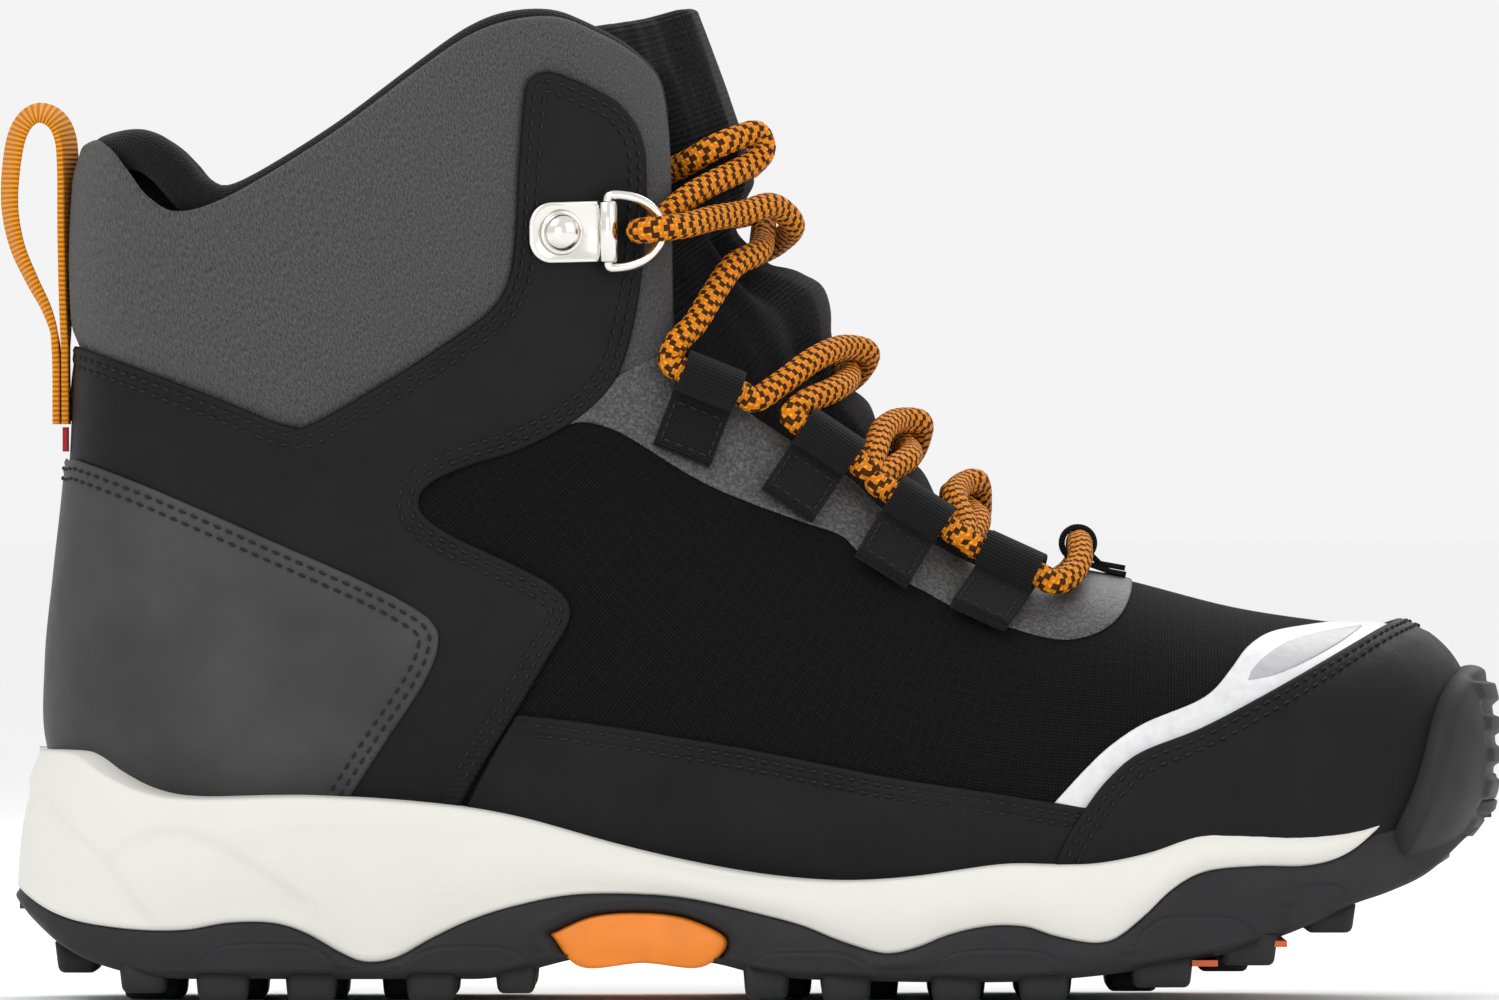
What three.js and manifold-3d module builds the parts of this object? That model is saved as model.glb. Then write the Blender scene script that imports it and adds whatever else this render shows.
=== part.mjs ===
// A right hiking boot, laced, built over a foot-shaped form and exported as one THREE.Group of named meshes.
// Millimetres. +X points to the toe, +Z up, -Y to the outer (lateral) side of the foot.
// The origin is on the ground under the middle of the boot's bounding box, cords left out.
import * as THREE from "three";
import { mergeVertices } from "three/addons/utils/BufferGeometryUtils.js";
import Module from "manifold-3d";

const wasm = await Module();
wasm.setup();

// ---------------------------------------------------------------- driving dimensions
const BOOT_LENGTH = 290; // heel to toe of the sole
const BALL_WIDTH = 98; // the upper's width across the ball of the foot
const SHAFT_HEIGHT = 195; // ground to the top of the tongue
const TOE_SWING = 6; // how far the toe turns towards the inner side

const LAYER_GAP = 0.3; // air between two layers of the upper
const BASE_THICK = 0.9; // mesh and collar fabric
const OVERLAY_THICK = 1.0; // coated leather overlays
const FILM_THICK = 0.5; // welded film round the lacing
const CAP_THICK = 1.0; // toe cap and heel overlay, on top of the other overlays
const STIFFENER_THICK = 1.4; // heel counter and toe puff
const LINING_THICK = 1.0;
const COLLAR_FOAM = 6.4; // foam thickness in the padded collar
const BOARD_THICK = 1.8; // insole board
const FOOTBED_THICK = 4.0;
const TONGUE_THICK = 7.0;

const RUBBER_WALL = 4.5; // the outsole's wall round the midsole
const MIDSOLE_BULGE = 1.6; // how far the foam stands out over the rubber
const BUMPER_THICK = 3.6; // rubber over the toe
const LUG_BEVEL = 1.2;

const LACE_DIAMETER = 5.0;
const LACE_CLEARANCE = 0.6; // round the lace inside a webbing loop
const AGLET_LENGTH = 20;
const WEBBING_THICK = 1.2;
const LOOP_LENGTH = 12.0; // of a webbing loop along its lace
const LOOP_TAB = 11.0; // stitched tab below a webbing loop
const PULL_WIDTH = 12.0; // heel pull webbing
const PULL_THICK = 1.5;

const PLATE_WIDTH = 12.0; // ring plate
const PLATE_LENGTH = 15.0;
const PLATE_THICK = 1.0;
const RIVET_HEAD = 8.6; // diameter
const RIVET_SHANK = 4.0; // diameter
const RING_WIRE = 2.0; // diameter
const RING_SIDE_GAP = 0.2; // on each side, between the plate's knuckle and the ring
const RING_REACH = 11.6; // from the bar's centre to the outside of the bow
const RING_CLEARANCE = 0.25; // round the bar in its knuckle

// ---------------------------------------------------------------- pattern grading
// Outlines are drawn on the base pattern and graded to the size above, as a pattern cutter does.
const PATTERN = { length: 290, width: 98, height: 195 };
const grade = {
  x: BOOT_LENGTH / PATTERN.length,
  y: BALL_WIDTH / PATTERN.width,
  z: SHAFT_HEIGHT / PATTERN.height,
};
const graded = (points) => points.map(([x, z]) => [x * grade.x, z * grade.z]);

// The form's fan of sections, from the toe to the top of the shaft: the front or top point (x, z), the bottom
// or back point (x, z), the half width, where along the section it is widest, and the two fullness exponents.
const SECTIONS = [
  [285.5, 50.0, 285.5, 50.0, 0.0, 0.6, 2.1, 2.4],
  [284.2, 59.5, 284.2, 41.5, 13.5, 0.6, 2.1, 2.5],
  [279.5, 67.8, 279.5, 35.0, 25.5, 0.62, 2.1, 2.8],
  [271.0, 72.8, 271.0, 30.0, 35.0, 0.64, 2.1, 3.2],
  [257.0, 74.2, 257.0, 25.5, 43.0, 0.66, 2.1, 3.6],
  [239.0, 77.0, 239.0, 22.0, 47.5, 0.68, 2.1, 4.0],
  [219.5, 82.0, 217.0, 18.0, 49.0, 0.68, 2.1, 4.0],
  [205.0, 85.2, 192.0, 15.5, 47.5, 0.68, 2.1, 4.0],
  [190.5, 92.0, 165.0, 15.5, 44.5, 0.66, 2.1, 4.0],
  [176.5, 105.5, 137.0, 19.0, 41.5, 0.63, 2.1, 4.0],
  [166.5, 117.5, 108.0, 22.5, 39.0, 0.6, 2.1, 3.8],
  [160.0, 128.0, 75.0, 26.0, 37.0, 0.57, 2.1, 3.4],
  [156.0, 138.5, 42.0, 29.0, 35.0, 0.54, 2.1, 3.0],
  [150.5, 147.5, 17.0, 35.0, 34.0, 0.5, 2.1, 2.8],
  [145.5, 155.0, 8.0, 49.0, 33.5, 0.47, 2.2, 2.6],
  [142.5, 162.0, 7.3, 66.0, 33.5, 0.46, 2.2, 2.6],
  [140.0, 169.0, 9.0, 84.0, 34.0, 0.45, 2.2, 2.6],
  [137.7, 176.0, 11.0, 103.0, 35.0, 0.45, 2.2, 2.6],
  [135.5, 182.5, 11.8, 122.0, 36.0, 0.45, 2.2, 2.6],
  [133.3, 189.0, 11.8, 142.0, 37.0, 0.45, 2.2, 2.6],
  [131.2, 195.0, 13.0, 163.0, 38.0, 0.45, 2.2, 2.6],
  [129.5, 201.0, 15.0, 182.0, 38.5, 0.45, 2.2, 2.6],
].map(([fx, fz, bx, bz, w, ...rest]) => [
  fx * grade.x, fz * grade.z, bx * grade.x, bz * grade.z, w * grade.y, ...rest,
]);
const TOP = SECTIONS.length - 1;

// Side outlines, each a closed list of (x, z).
const COLLAR_TOP = graded([
  [12.5, 167], [15, 168.5], [19.5, 166.5], [27, 157], [33, 154.5], [43, 158], [62, 169.5], [81, 183.5],
  [96, 191.5],
  [107, 192.5], [119, 187], [126, 180.5], [128.5, 170], [129, 150],
]);
const LINING_TOP = graded([
  [13, 169.5], [20, 171], [28.5, 168], [36, 161], [43, 160], [62, 171], [81, 185], [96, 193],
  [107, 194], [119, 188.5],
  [127, 181.5], [129.5, 170], [129.7, 129],
]);
// The seam between collar and vamp, hidden by the quarter overlay but for its last stretch.
const COLLAR_SEAM = graded([
  [0, 121], [26, 114.5], [55, 105], [78, 112], [100, 124], [110, 121], [129, 127],
]);
const QUARTER_TOP = graded([
  [0, 132], [12, 128.5], [25.5, 123.5], [41.5, 117.5], [52, 113], [57, 112.5], [75, 122.5], [90.5, 133],
  [96, 138],
  [98, 146], [99, 163], [100.5, 179],
]);
const QUARTER_FRONT = graded([
  [103, 182], [108, 181], [116, 177], [121.5, 171.5], [123.5, 164], [123, 150], [121, 133], [118, 122],
  [110.5, 114.5],
  [100, 108], [89.5, 104.5], [81.5, 101], [79, 97.5], [83, 93], [96.5, 86], [106, 81], [109, 76.5],
  [106.5, 70],
  [98, 55.5], [85, 34],
]);
const HEEL_OVERLAY = graded([
  [-10, 109], [13, 106.5], [39, 95.5], [68, 82.5], [79, 76.5], [83.5, 71], [82.5, 66], [72, 49.5], [60, 31],
]);
const MUDGUARD_TOP = graded([
  [97.5, 56], [122, 53], [143.5, 49.5], [171, 44], [193.5, 40.5], [212, 38],
]);
const TOE_CAP = graded([
  [200, 20], [204, 28], [209.5, 38.5], [219.5, 48], [232, 53], [245.5, 59.5], [259.5, 67], [272, 74],
  [276, 82],
]);
const TRIM_TOP = graded([
  [201, 37], [209.5, 46], [221, 54.5], [231, 58.5], [237.5, 65], [242, 70], [250, 73], [263, 74.6], [266, 80],
]);
const FILM_LOW = graded([
  [111.5, 113.5], [121, 110], [132.5, 102.5], [150, 95], [163, 90.5], [165, 86.5], [178.5, 80], [190, 74.5],
  [204, 70.5], [212.5, 72], [217.5, 76.5], [219, 84], [220, 95],
]);
const THROAT = graded([
  [129.8, 230], [129.8, 127], [143, 115.5], [163.5, 102], [180.5, 89], [192, 83.5], [202, 80.5],
  [207, 82], [212, 100],
  [230, 230],
]);
const BUMPER = graded([
  [283.5, 65], [279.5, 61.5], [276.5, 56], [274, 47], [271.5, 40], [266, 30], [300, 20], [300, 65],
]);

// Stations of the sole from heel to toe: x, half width, underside, cup floor, top of the rubber wall, top of the foam.
const SOLE = [
  [0.6, 5.0, 17.0, 20.5, 21.5, 48.5], [3.0, 16.5, 14.5, 17.5, 19.5, 48.0],
  [8.0, 25.0, 10.5, 14.0, 17.0, 47.0],
  [16.0, 31.5, 6.8, 11.0, 14.8, 43.5], [28.0, 36.0, 4.6, 9.0, 14.0, 40.0], [45.0, 38.5, 4.4, 8.8, 15.8, 39.6],
  [57.0, 39.0, 4.4, 8.8, 13.4, 40.0], [70.0, 39.0, 4.4, 8.8, 11.8, 39.6], [82.0, 38.5, 4.4, 9.2, 12.8, 38.6],
  [95.0, 38.5, 4.8, 11.0, 17.6, 36.6], [110.0, 39.0, 8.4, 14.0, 21.0, 33.0],
  [123.0, 40.0, 10.0, 15.2, 21.2, 29.4],
  [137.0, 42.0, 7.4, 12.4, 19.4, 26.2], [152.0, 45.0, 4.6, 9.0, 15.6, 24.2],
  [170.0, 48.5, 4.2, 8.6, 11.4, 24.0],
  [190.0, 51.5, 4.0, 8.6, 14.8, 26.6], [209.0, 53.0, 5.0, 9.4, 12.6, 26.8],
  [224.0, 52.0, 7.0, 11.4, 19.6, 29.8],
  [238.0, 49.5, 9.6, 14.2, 26.2, 33.8], [252.0, 45.5, 14.0, 18.8, 26.6, 33.8],
  [262.0, 40.5, 18.4, 24.0, 29.6, 35.2],
  [270.0, 34.5, 21.0, 30.0, 36.0, 37.2], [278.0, 27.0, 24.6, 35.0, 38.0, 39.0],
  [285.0, 17.5, 30.5, 38.0, 42.0, 43.0],
  [290.0, 6.0, 38.0, 42.0, 46.0, 47.0],
].map(([x, w, ...z]) => [x * grade.x, w * grade.y, ...z.map((v) => v * grade.z)]);
const MIDSOLE_END = 21; // the last station that has foam
const HEEL_RAKE = 4.0; // how far the foam leans in from its foot to its top at the heel

// Lugs under the sole: x from, x to, height of the tread face, and share of the half width from, to.
const LUGS = [
  [8, 16, 5.2, 0.0, 0.62], [21, 30, 1.6, 0.5, 0.97], [21, 33, 0, 0, 0.36], [36, 46, 0, 0.56, 0.99],
  [38, 49, 0, 0, 0.4], [53.5, 63, 0, 0.52, 0.99], [54, 65, 0, 0, 0.4], [77, 86.5, 0, 0.56, 0.99],
  [72, 82, 0, 0, 0.42], [94.5, 102, 1.6, 0.5, 0.97], [143, 151.5, 0.6, 0.56, 0.99], [146, 156, 0.4, 0, 0.4],
  [158, 167.5, 0, 0.52, 0.99], [162, 173, 0, 0, 0.38], [179.5, 189, 0, 0.56, 0.99], [179, 190, 0, 0, 0.4],
  [196.5, 206, 0.4, 0.52, 0.99], [196, 207, 0.4, 0, 0.38], [219.5, 229, 2.8, 0.6, 0.98],
  [214, 224, 1.6, 0, 0.4],
  [236, 243, 6.6, 0.5, 0.98], [232, 242, 5.4, 0, 0.36], [250, 258, 12.2, 0, 0.7],
].map(([x0, x1, z, y0, y1]) => [x0 * grade.x, x1 * grade.x, z * grade.z, y0, y1]);

// Webbing loops: the side point (x, z) where the tab is sewn and the lace's direction there.
const WEBBING_LOOPS = [
  { at: [133.9, 116.0], along: [12.5, -5] },
  { at: [155.9, 103.9], along: [10.5, -7] },
  { at: [173.3, 90.5], along: [9.5, -6] },
  { at: [192.3, 79.5], along: [11, -5] },
];

// The lace's route as [x, y, z], y outwards from the boot's middle line. It runs through loop n from its
// upper end to its lower end, then over the tongue to the upper end of loop n + 1 on the other side.
const LACE_IN_LOOPS = [
  [[130.7, 32.3, 123.5], [141.9, 31.5, 119.1]],
  [[154.5, 29.7, 112.6], [164.5, 29.5, 106.0]],
  [[171.5, 29.8, 99.8], [182.6, 29.4, 92.8]],
  [[189.8, 28.1, 88.4], [200.6, 29.4, 83.4]],
];
const LACE_CROSSINGS = [
  {
    climb: [[144.6, 31.0, 117.7], [149.5, 27.0, 120.5], [156.5, 18.8, 125.6], [160.7, 7.5, 126.9]],
    cross: [162.5, 0, 124.3],
    fall: [[163.4, 6.8, 122.3], [160.6, 18.5, 119.8], [154.6, 26.6, 117.0], [152.2, 29.3, 114.4]],
    lift: [4.6, 0, 2.7],
  },
  {
    climb: [[166.9, 29.3, 104.1], [168.3, 24.8, 107.0], [170.0, 15.8, 111.6], [171.5, 6.2, 112.1]],
    cross: [173.4, 0, 109.8],
    fall: [[175.2, 6.2, 107.9], [175.0, 16.2, 106.2], [170.6, 25.8, 103.3], [168.8, 29.2, 101.5]],
    lift: [4.1, 0, 3.5],
  },
  {
    climb: [[185.4, 28.9, 91.0], [186.2, 24.6, 93.2], [184.2, 15.2, 98.4], [184.0, 5.8, 99.2]],
    cross: [185.0, 0, 97.7],
    fall: [[187.6, 5.8, 95.7], [188.9, 15.2, 94.0], [187.6, 23.8, 91.2], [187.0, 27.8, 89.6]],
    lift: [3.7, 0, 3.9],
  },
];
// From the lower end of loop 4 round through the front loop, which lies across the middle line.
const LACE_FRONT = [
  [203.4, 28.8, 82.0], [206.6, 25.0, 83.2], [208.7, 18.5, 86.2], [208.9, 12.0, 88.8], [208.9, 6.0, 89.7],
];
// From the upper end of loop 1 up to the crossing under the rings, and from there to the other side's ring.
const LACE_TO_TOP = [
  [128.5, 31.9, 125.0], [129.6, 30.8, 128.6], [133.2, 28.4, 132.6], [136.5, 25.0, 138.0],
  [140.7, 19.0, 144.0],
  [145.2, 11.0, 146.6],
];
const LACE_TOP_CROSSING = { cross: [146.4, 0, 149.2], lift: [5.9, 0, 3.3] };
const LACE_TO_RING = [[146.4, 8.0, 154.8], [142.4, 17.0, 154.4], [136.4, 26.0, 153.2], [131.4, 33.0, 151.8]];
// Round the ring's bow from outside to inside, up to a bight over the tongue, and back down into the boot.
const LACE_TAIL = [
  [127.4, 36.2, 151.2], [124.0, 36.6, 150.8], [122.3, 34.0, 150.7], [122.7, 31.0, 150.8],
  [124.6, 28.9, 151.2],
  [127.6, 27.2, 153.8], [131.5, 23.5, 157.2], [136.5, 18.5, 160.2], [141.0, 13.5, 162.4], [144.6, 9.5, 164.6],
  [146.6, 7.5, 167.3], [145.4, 7.5, 170.2], [141.2, 10.6, 169.2], [137.0, 13.5, 167.4], [133.2, 13.4, 165.2],
  [129.6, 10.6, 163.4], [124.5, 9.6, 161.6], [119.0, 10.4, 160.0], [113.0, 12.6, 158.5],
];

// The heel pull's middle line, from its sewn foot out to the top and back down along the heel.
const PULL_LINE = graded([
  [7.4, 113], [7.2, 128], [5.6, 135], [2.4, 141.5], [-0.6, 148.5], [-2.0, 157], [-1.2, 167], [0.6, 172.2],
  [3.6, 174.4], [7.0, 173.2], [9.0, 169.5], [9.5, 163], [9.3, 150], [9.1, 130], [9.2, 113],
]);

// ---------------------------------------------------------------- small geometry helpers
const vec = (x, y, z) => new THREE.Vector3(x, y, z);
// How far the middle line of the boot leans to the inner side at x.
const swing = (x) => TOE_SWING * Math.max(0, (x - 0.3 * BOOT_LENGTH) / (0.7 * BOOT_LENGTH)) ** 2;

// Rows of numbers read as a Catmull-Rom spline at u, a real row number.
function splineRow(rows, u) {
  const last = rows.length - 1;
  const i = Math.min(Math.floor(Math.max(u, 0)), last - 1);
  const f = Math.min(u, last) - i;
  return rows[i].map((b, k) => {
    const c = rows[i + 1][k];
    const a = i > 0 ? rows[i - 1][k] : 2 * b - c;
    const d = i + 2 <= last ? rows[i + 2][k] : 2 * c - b;
    return 0.5 * (2 * b + (c - a) * f + (2 * a - 5 * b + 4 * c - d) * f * f + (3 * b - a - 3 * c + d) * f ** 3);
  });
}

// A closed solid from a list of positions and quads or triangles, as a manifold.
// A closed solid from points and faces of three or four corners, listed all outwards or all inwards.
function solidFrom(positions, faces) {
  const triangles = faces.flatMap((f) => (f.length === 4 ? [[f[0], f[1], f[2]], [f[0], f[2], f[3]]] : [f]));
  const [a, b, c] = [new THREE.Vector3(), new THREE.Vector3(), new THREE.Vector3()];
  const volume = triangles.reduce((sum, [i, j, k]) => {
    a.fromArray(positions[i]);
    return sum + a.dot(b.fromArray(positions[j]).cross(c.fromArray(positions[k])));
  }, 0);
  if (volume < 0) triangles.forEach((triangle) => triangle.reverse());
  const geometry = new THREE.BufferGeometry()
    .setAttribute("position", new THREE.BufferAttribute(new Float32Array(positions.flat()), 3))
    .setIndex(triangles.flat());
  return toSolid(geometry);
}

function toSolid(geometry) {
  const bare = geometry.clone();
  for (const name of Object.keys(bare.attributes)) if (name !== "position") bare.deleteAttribute(name);
  const merged = mergeVertices(bare, 1e-4);
  const made = new wasm.Manifold(
    new wasm.Mesh({
      numProp: 3,
      vertProperties: merged.attributes.position.array,
      triVerts: new Uint32Array(merged.index.array),
    }),
  );
  if (made.volume() < 0) throw new Error("a shape is inside out");
  return made;
}

function toGeometry(solid) {
  const mesh = solid.getMesh();
  const positions = new Float32Array(mesh.numVert * 3);
  for (let i = 0; i < mesh.numVert; i++) {
    positions.set(mesh.vertProperties.subarray(i * mesh.numProp, i * mesh.numProp + 3), i * 3);
  }
  const geometry = new THREE.BufferGeometry()
    .setAttribute("position", new THREE.BufferAttribute(positions, 3))
    .setIndex(new THREE.BufferAttribute(new Uint32Array(mesh.triVerts), 1));
  geometry.computeVertexNormals();
  return geometry;
}

// The largest body of a cut, without the slivers that a coarse lattice leaves.
function mainBody(solid) {
  const bodies = solid.decompose();
  return bodies.reduce((best, b) => (b.volume() > best.volume() ? b : best), bodies[0]);
}

// Rings of [x, y, z], all with the same count and closed on themselves, joined and capped by triangulated ends.
function loft(rings) {
  const n = rings[0].length;
  const faces = [];
  for (let i = 0; i + 1 < rings.length; i++) {
    for (let j = 0; j < n; j++) {
      const k = (j + 1) % n;
      faces.push([i * n + j, i * n + k, (i + 1) * n + k, (i + 1) * n + j]);
    }
  }
  const flat = (ring) => ring.map(([, y, z]) => new THREE.Vector2(y, z));
  const cap = THREE.ShapeUtils.triangulateShape(flat(rings[0]), []);
  const end = (rings.length - 1) * n;
  for (const [a, b, c] of cap) {
    faces.push([a, c, b]);
    faces.push([end + a, end + b, end + c]);
  }
  return solidFrom(rings.flat(), faces);
}

// A side outline carried straight across the boot from y0 to y1.
function sidePrism(outline, y0, y1) {
  const shape = new THREE.Shape(outline.map(([x, z]) => new THREE.Vector2(x, z)));
  const geometry = new THREE.ExtrudeGeometry(shape, { depth: y1 - y0, bevelEnabled: false });
  geometry.rotateX(Math.PI / 2); // the outline's plane becomes XZ, and the depth runs to -Y
  geometry.translate(0, y1, 0);
  return toSolid(geometry);
}

// An outline moved outwards by a distance, each corner along the middle of its two sides' normals.
function grown(outline, distance) {
  const area = THREE.ShapeUtils.area(outline.map(([x, z]) => new THREE.Vector2(x, z)));
  const turn = Math.sign(area);
  const unit = ([x, z]) => [x / Math.hypot(x, z), z / Math.hypot(x, z)];
  return outline.map(([x, z], i) => {
    const before = outline[(i + outline.length - 1) % outline.length];
    const after = outline[(i + 1) % outline.length];
    const a = unit([x - before[0], z - before[1]]);
    const b = unit([after[0] - x, after[1] - z]);
    const share = distance / (1 + a[0] * b[0] + a[1] * b[1]);
    return [x + turn * (a[1] + b[1]) * share, z - turn * (a[0] + b[0]) * share];
  });
}

// ---------------------------------------------------------------- the form
// Half of section u from the front or top to the bottom or back, as count + 1 points [x, y, z] evenly spaced.
function halfSection(u, count) {
  const [fx, fz, bx, bz, w, widest, fullFront, fullBack] = splineRow(SECTIONS, u);
  const dense = [];
  const steps = 60;
  for (let i = 0; i <= 2 * steps; i++) {
    const front = i <= steps;
    const angle = ((front ? i : 2 * steps - i) / steps) * (Math.PI / 2);
    const power = 2 / (front ? fullFront : fullBack);
    const across = w * Math.sin(angle) ** power;
    const along = Math.cos(angle) ** power;
    const h = front ? widest * (1 - along) : 1 - (1 - widest) * (1 - along);
    dense.push([fx + (bx - fx) * h, across, fz + (bz - fz) * h]);
  }
  const lengths = [0];
  for (let i = 1; i < dense.length; i++) {
    lengths.push(lengths[i - 1] + Math.hypot(...dense[i].map((v, k) => v - dense[i - 1][k])));
  }
  const at = (distance) => {
    let i = 1;
    while (i < dense.length - 1 && lengths[i] < distance) i++;
    const span = lengths[i] - lengths[i - 1] || 1;
    const f = Math.min(1, Math.max(0, (distance - lengths[i - 1]) / span));
    return dense[i].map((v, k) => dense[i - 1][k] + (v - dense[i - 1][k]) * f);
  };
  const total = lengths[lengths.length - 1];
  return {
    total,
    at,
    points: Array.from({ length: count + 1 }, (_, i) => at((total * i) / count)),
  };
}

// The unit normal of the form at section u and distance s from the ridge, for the +Y half.
function normalAt(u, s) {
  const du = 0.05;
  const here = halfSection(u, 1);
  const share = s / here.total;
  const before = halfSection(Math.max(u - du, 0.02), 1);
  const after = halfSection(Math.min(u + du, TOP), 1);
  const along = vec(...after.at(share * after.total)).sub(vec(...before.at(share * before.total)));
  const step = 0.6;
  const low = here.at(Math.max(0, s - step));
  const high = here.at(Math.min(here.total, s + step));
  const down = vec(...high).sub(vec(...low));
  if (s <= step || s >= here.total - step) down.set(0, s <= step ? 1 : -1, 0);
  return along.cross(down).normalize().negate();
}

// One lattice of points and normals serves every layer, so that the facets of two layers stay parallel.
const HALF_STEPS = 8;
const PADDING_TAPER = [0.32, 0.5, 1]; // share of the full padding at the ridge and at the next lattice rows
const LATTICE_U = [0.45, ...Array.from({ length: TOP }, (_, i) => i + 1)];
const lattice = LATTICE_U.map((u) => {
  const { points, total } = halfSection(u, HALF_STEPS);
  const half = points.map((p, i) => ({ p, n: normalAt(u, (total * i) / HALF_STEPS) }));
  const other = half.slice(1, -1).reverse();
  return [...half, ...other.map(({ p, n }) => ({ p: [p[0], -p[1], p[2]], n: vec(n.x, -n.y, n.z) }))];
});
const formCache = new Map();

// The whole form, grown by offset, as one closed solid. A padded form shrinks less near its front ridge.
function form(offset, padded = false) {
  const key = `${offset} ${padded}`;
  if (formCache.has(key)) return formCache.get(key);
  const n = lattice[0].length;
  const thin = (j) => (padded ? PADDING_TAPER[Math.min(j, n - j, PADDING_TAPER.length - 1)] : 1);
  const positions = lattice.flatMap((ring) =>
    ring.map(({ p, n: v }, j) => vec(...p).addScaledVector(v, offset * thin(j)).toArray()));
  const faces = [];
  for (let i = 0; i + 1 < lattice.length; i++) {
    for (let j = 0; j < n; j++) {
      const k = (j + 1) % n;
      faces.push([i * n + j, i * n + k, (i + 1) * n + k, (i + 1) * n + j]);
    }
  }
  const tip = splineRow(SECTIONS, 0);
  positions.push([tip[0] + offset, 0, tip[1]]);
  const top = splineRow(SECTIONS, TOP);
  positions.push([(top[0] + top[2]) / 2, 0, (top[1] + top[3]) / 2]);
  const [tipIndex, topIndex, last] = [positions.length - 2, positions.length - 1, (lattice.length - 1) * n];
  for (let j = 0; j < n; j++) {
    const k = (j + 1) % n;
    faces.push([tipIndex, k, j]);
    faces.push([topIndex, last + j, last + k]);
  }
  const made = solidFrom(positions, faces);
  formCache.set(key, made);
  return made;
}
const layer = (inner, outer) => form(outer).subtract(form(inner));
const paddedLayer = (inner, outer) => form(outer, true).subtract(form(inner, true));

// Half width of the form at a side point (x, z), with the section and share that it lies on.
function sideWidth(x, z) {
  const beside = (u) => {
    const [fx, fz, bx, bz] = splineRow(SECTIONS, u);
    return (bx - fx) * (z - fz) - (bz - fz) * (x - fx);
  };
  let [low, high] = [0.3, TOP];
  const sign = Math.sign(beside(low));
  for (let i = 0; i < 40; i++) {
    const mid = (low + high) / 2;
    if (Math.sign(beside(mid)) === sign) low = mid;
    else high = mid;
  }
  const [fx, fz, bx, bz, w, widest, fullFront, fullBack] = splineRow(SECTIONS, low);
  const h = ((x - fx) * (bx - fx) + (z - fz) * (bz - fz)) / ((bx - fx) ** 2 + (bz - fz) ** 2);
  if (h <= 0 || h >= 1) return 0;
  const [part, power] = h < widest ? [1 - h / widest, fullFront] : [(h - widest) / (1 - widest), fullBack];
  return w * (1 - part ** power) ** (1 / power);
}

// A right-handed frame on the form at side point (x, z): side is 1 inside and -1 outside, and (ax, az) is
// where its first axis points in the side view. The third axis is the outward normal.
function sideFrame(x, z, side, offset, ax, az) {
  const step = 0.5;
  const slopeX = (sideWidth(x + step, z) - sideWidth(x - step, z)) / (2 * step);
  const slopeZ = (sideWidth(x, z + step) - sideWidth(x, z - step)) / (2 * step);
  const out = vec(-slopeX, side, -slopeZ).normalize();
  const first = vec(ax, side * (ax * slopeX + az * slopeZ), az).normalize();
  const second = out.clone().cross(first);
  const origin = vec(x, side * sideWidth(x, z), z).addScaledVector(out, offset);
  origin.y += swing(origin.x);
  return { origin, first, second, out };
}

// ---------------------------------------------------------------- layer offsets
// From the skin of the mesh, outwards above zero and inwards below it.
const BASE = [-BASE_THICK, 0];
const OVERLAY = [LAYER_GAP, LAYER_GAP + OVERLAY_THICK];
const FILM = [LAYER_GAP, LAYER_GAP + FILM_THICK];
const CAP = [OVERLAY[1] + LAYER_GAP, OVERLAY[1] + LAYER_GAP + CAP_THICK];
const STIFFENER = [-BASE_THICK - LAYER_GAP - STIFFENER_THICK, -BASE_THICK - LAYER_GAP];
const LINING = [STIFFENER[0] - LAYER_GAP - LINING_THICK, STIFFENER[0] - LAYER_GAP];
const FOAM = [-BASE_THICK - LAYER_GAP - COLLAR_FOAM, -BASE_THICK - LAYER_GAP];
const COLLAR_LINING = [FOAM[0] - LAYER_GAP - LINING_THICK, FOAM[0] - LAYER_GAP];
const BOARD = [LINING[0] - LAYER_GAP - BOARD_THICK, LINING[0] - LAYER_GAP];
const FOOTBED = [BOARD[0] - LAYER_GAP - FOOTBED_THICK, BOARD[0] - LAYER_GAP];
const SOLE_FIT = CAP[1] + LAYER_GAP; // the sole is hollowed to this offset of the form

const FAR = 400; // past every side of the boot
const SEAM_GAP = 0.4; // between two panels edge to edge
const boot = new THREE.Group();
boot.name = "hiking_boot";

// ---------------------------------------------------------------- materials
const material = (color, roughness, metalness = 0) => new THREE.MeshStandardMaterial({ color, roughness, metalness });
const MATERIALS = {
  rubber: material(0x232323, 0.75),
  foam: material(0xd9d8d2, 0.7),
  orange: material(0xe8731a, 0.45),
  board: material(0x8a7a62, 0.9),
  stiffener: material(0xb8b4a8, 0.8),
  footbed: material(0x3a3a3c, 0.95),
  lining: material(0x141414, 0.95),
  mesh: material(0x171717, 0.9),
  collar: material(0x4a4a4b, 0.9),
  leather: material(0x1b1b1c, 0.7),
  heel: material(0x454546, 0.6),
  film: material(0x4d4d4e, 0.6),
  reflective: material(0xe6e6e6, 0.4),
  webbing: material(0x1a1a1a, 0.9),
  lace: material(0xd9822b, 0.8),
  metal: material(0xc9c6bd, 0.25, 1),
  label: material(0xb01020, 0.8),
};

// A solid in the boot's frame before its middle line leans inwards.
function add(name, solid, finish) {
  const geometry = toGeometry(mainBody(solid));
  const position = geometry.attributes.position;
  for (let i = 0; i < position.count; i++) position.setY(i, position.getY(i) + swing(position.getX(i)));
  const mesh = new THREE.Mesh(geometry, finish);
  mesh.name = name;
  boot.add(mesh);
  return mesh;
}

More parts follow.
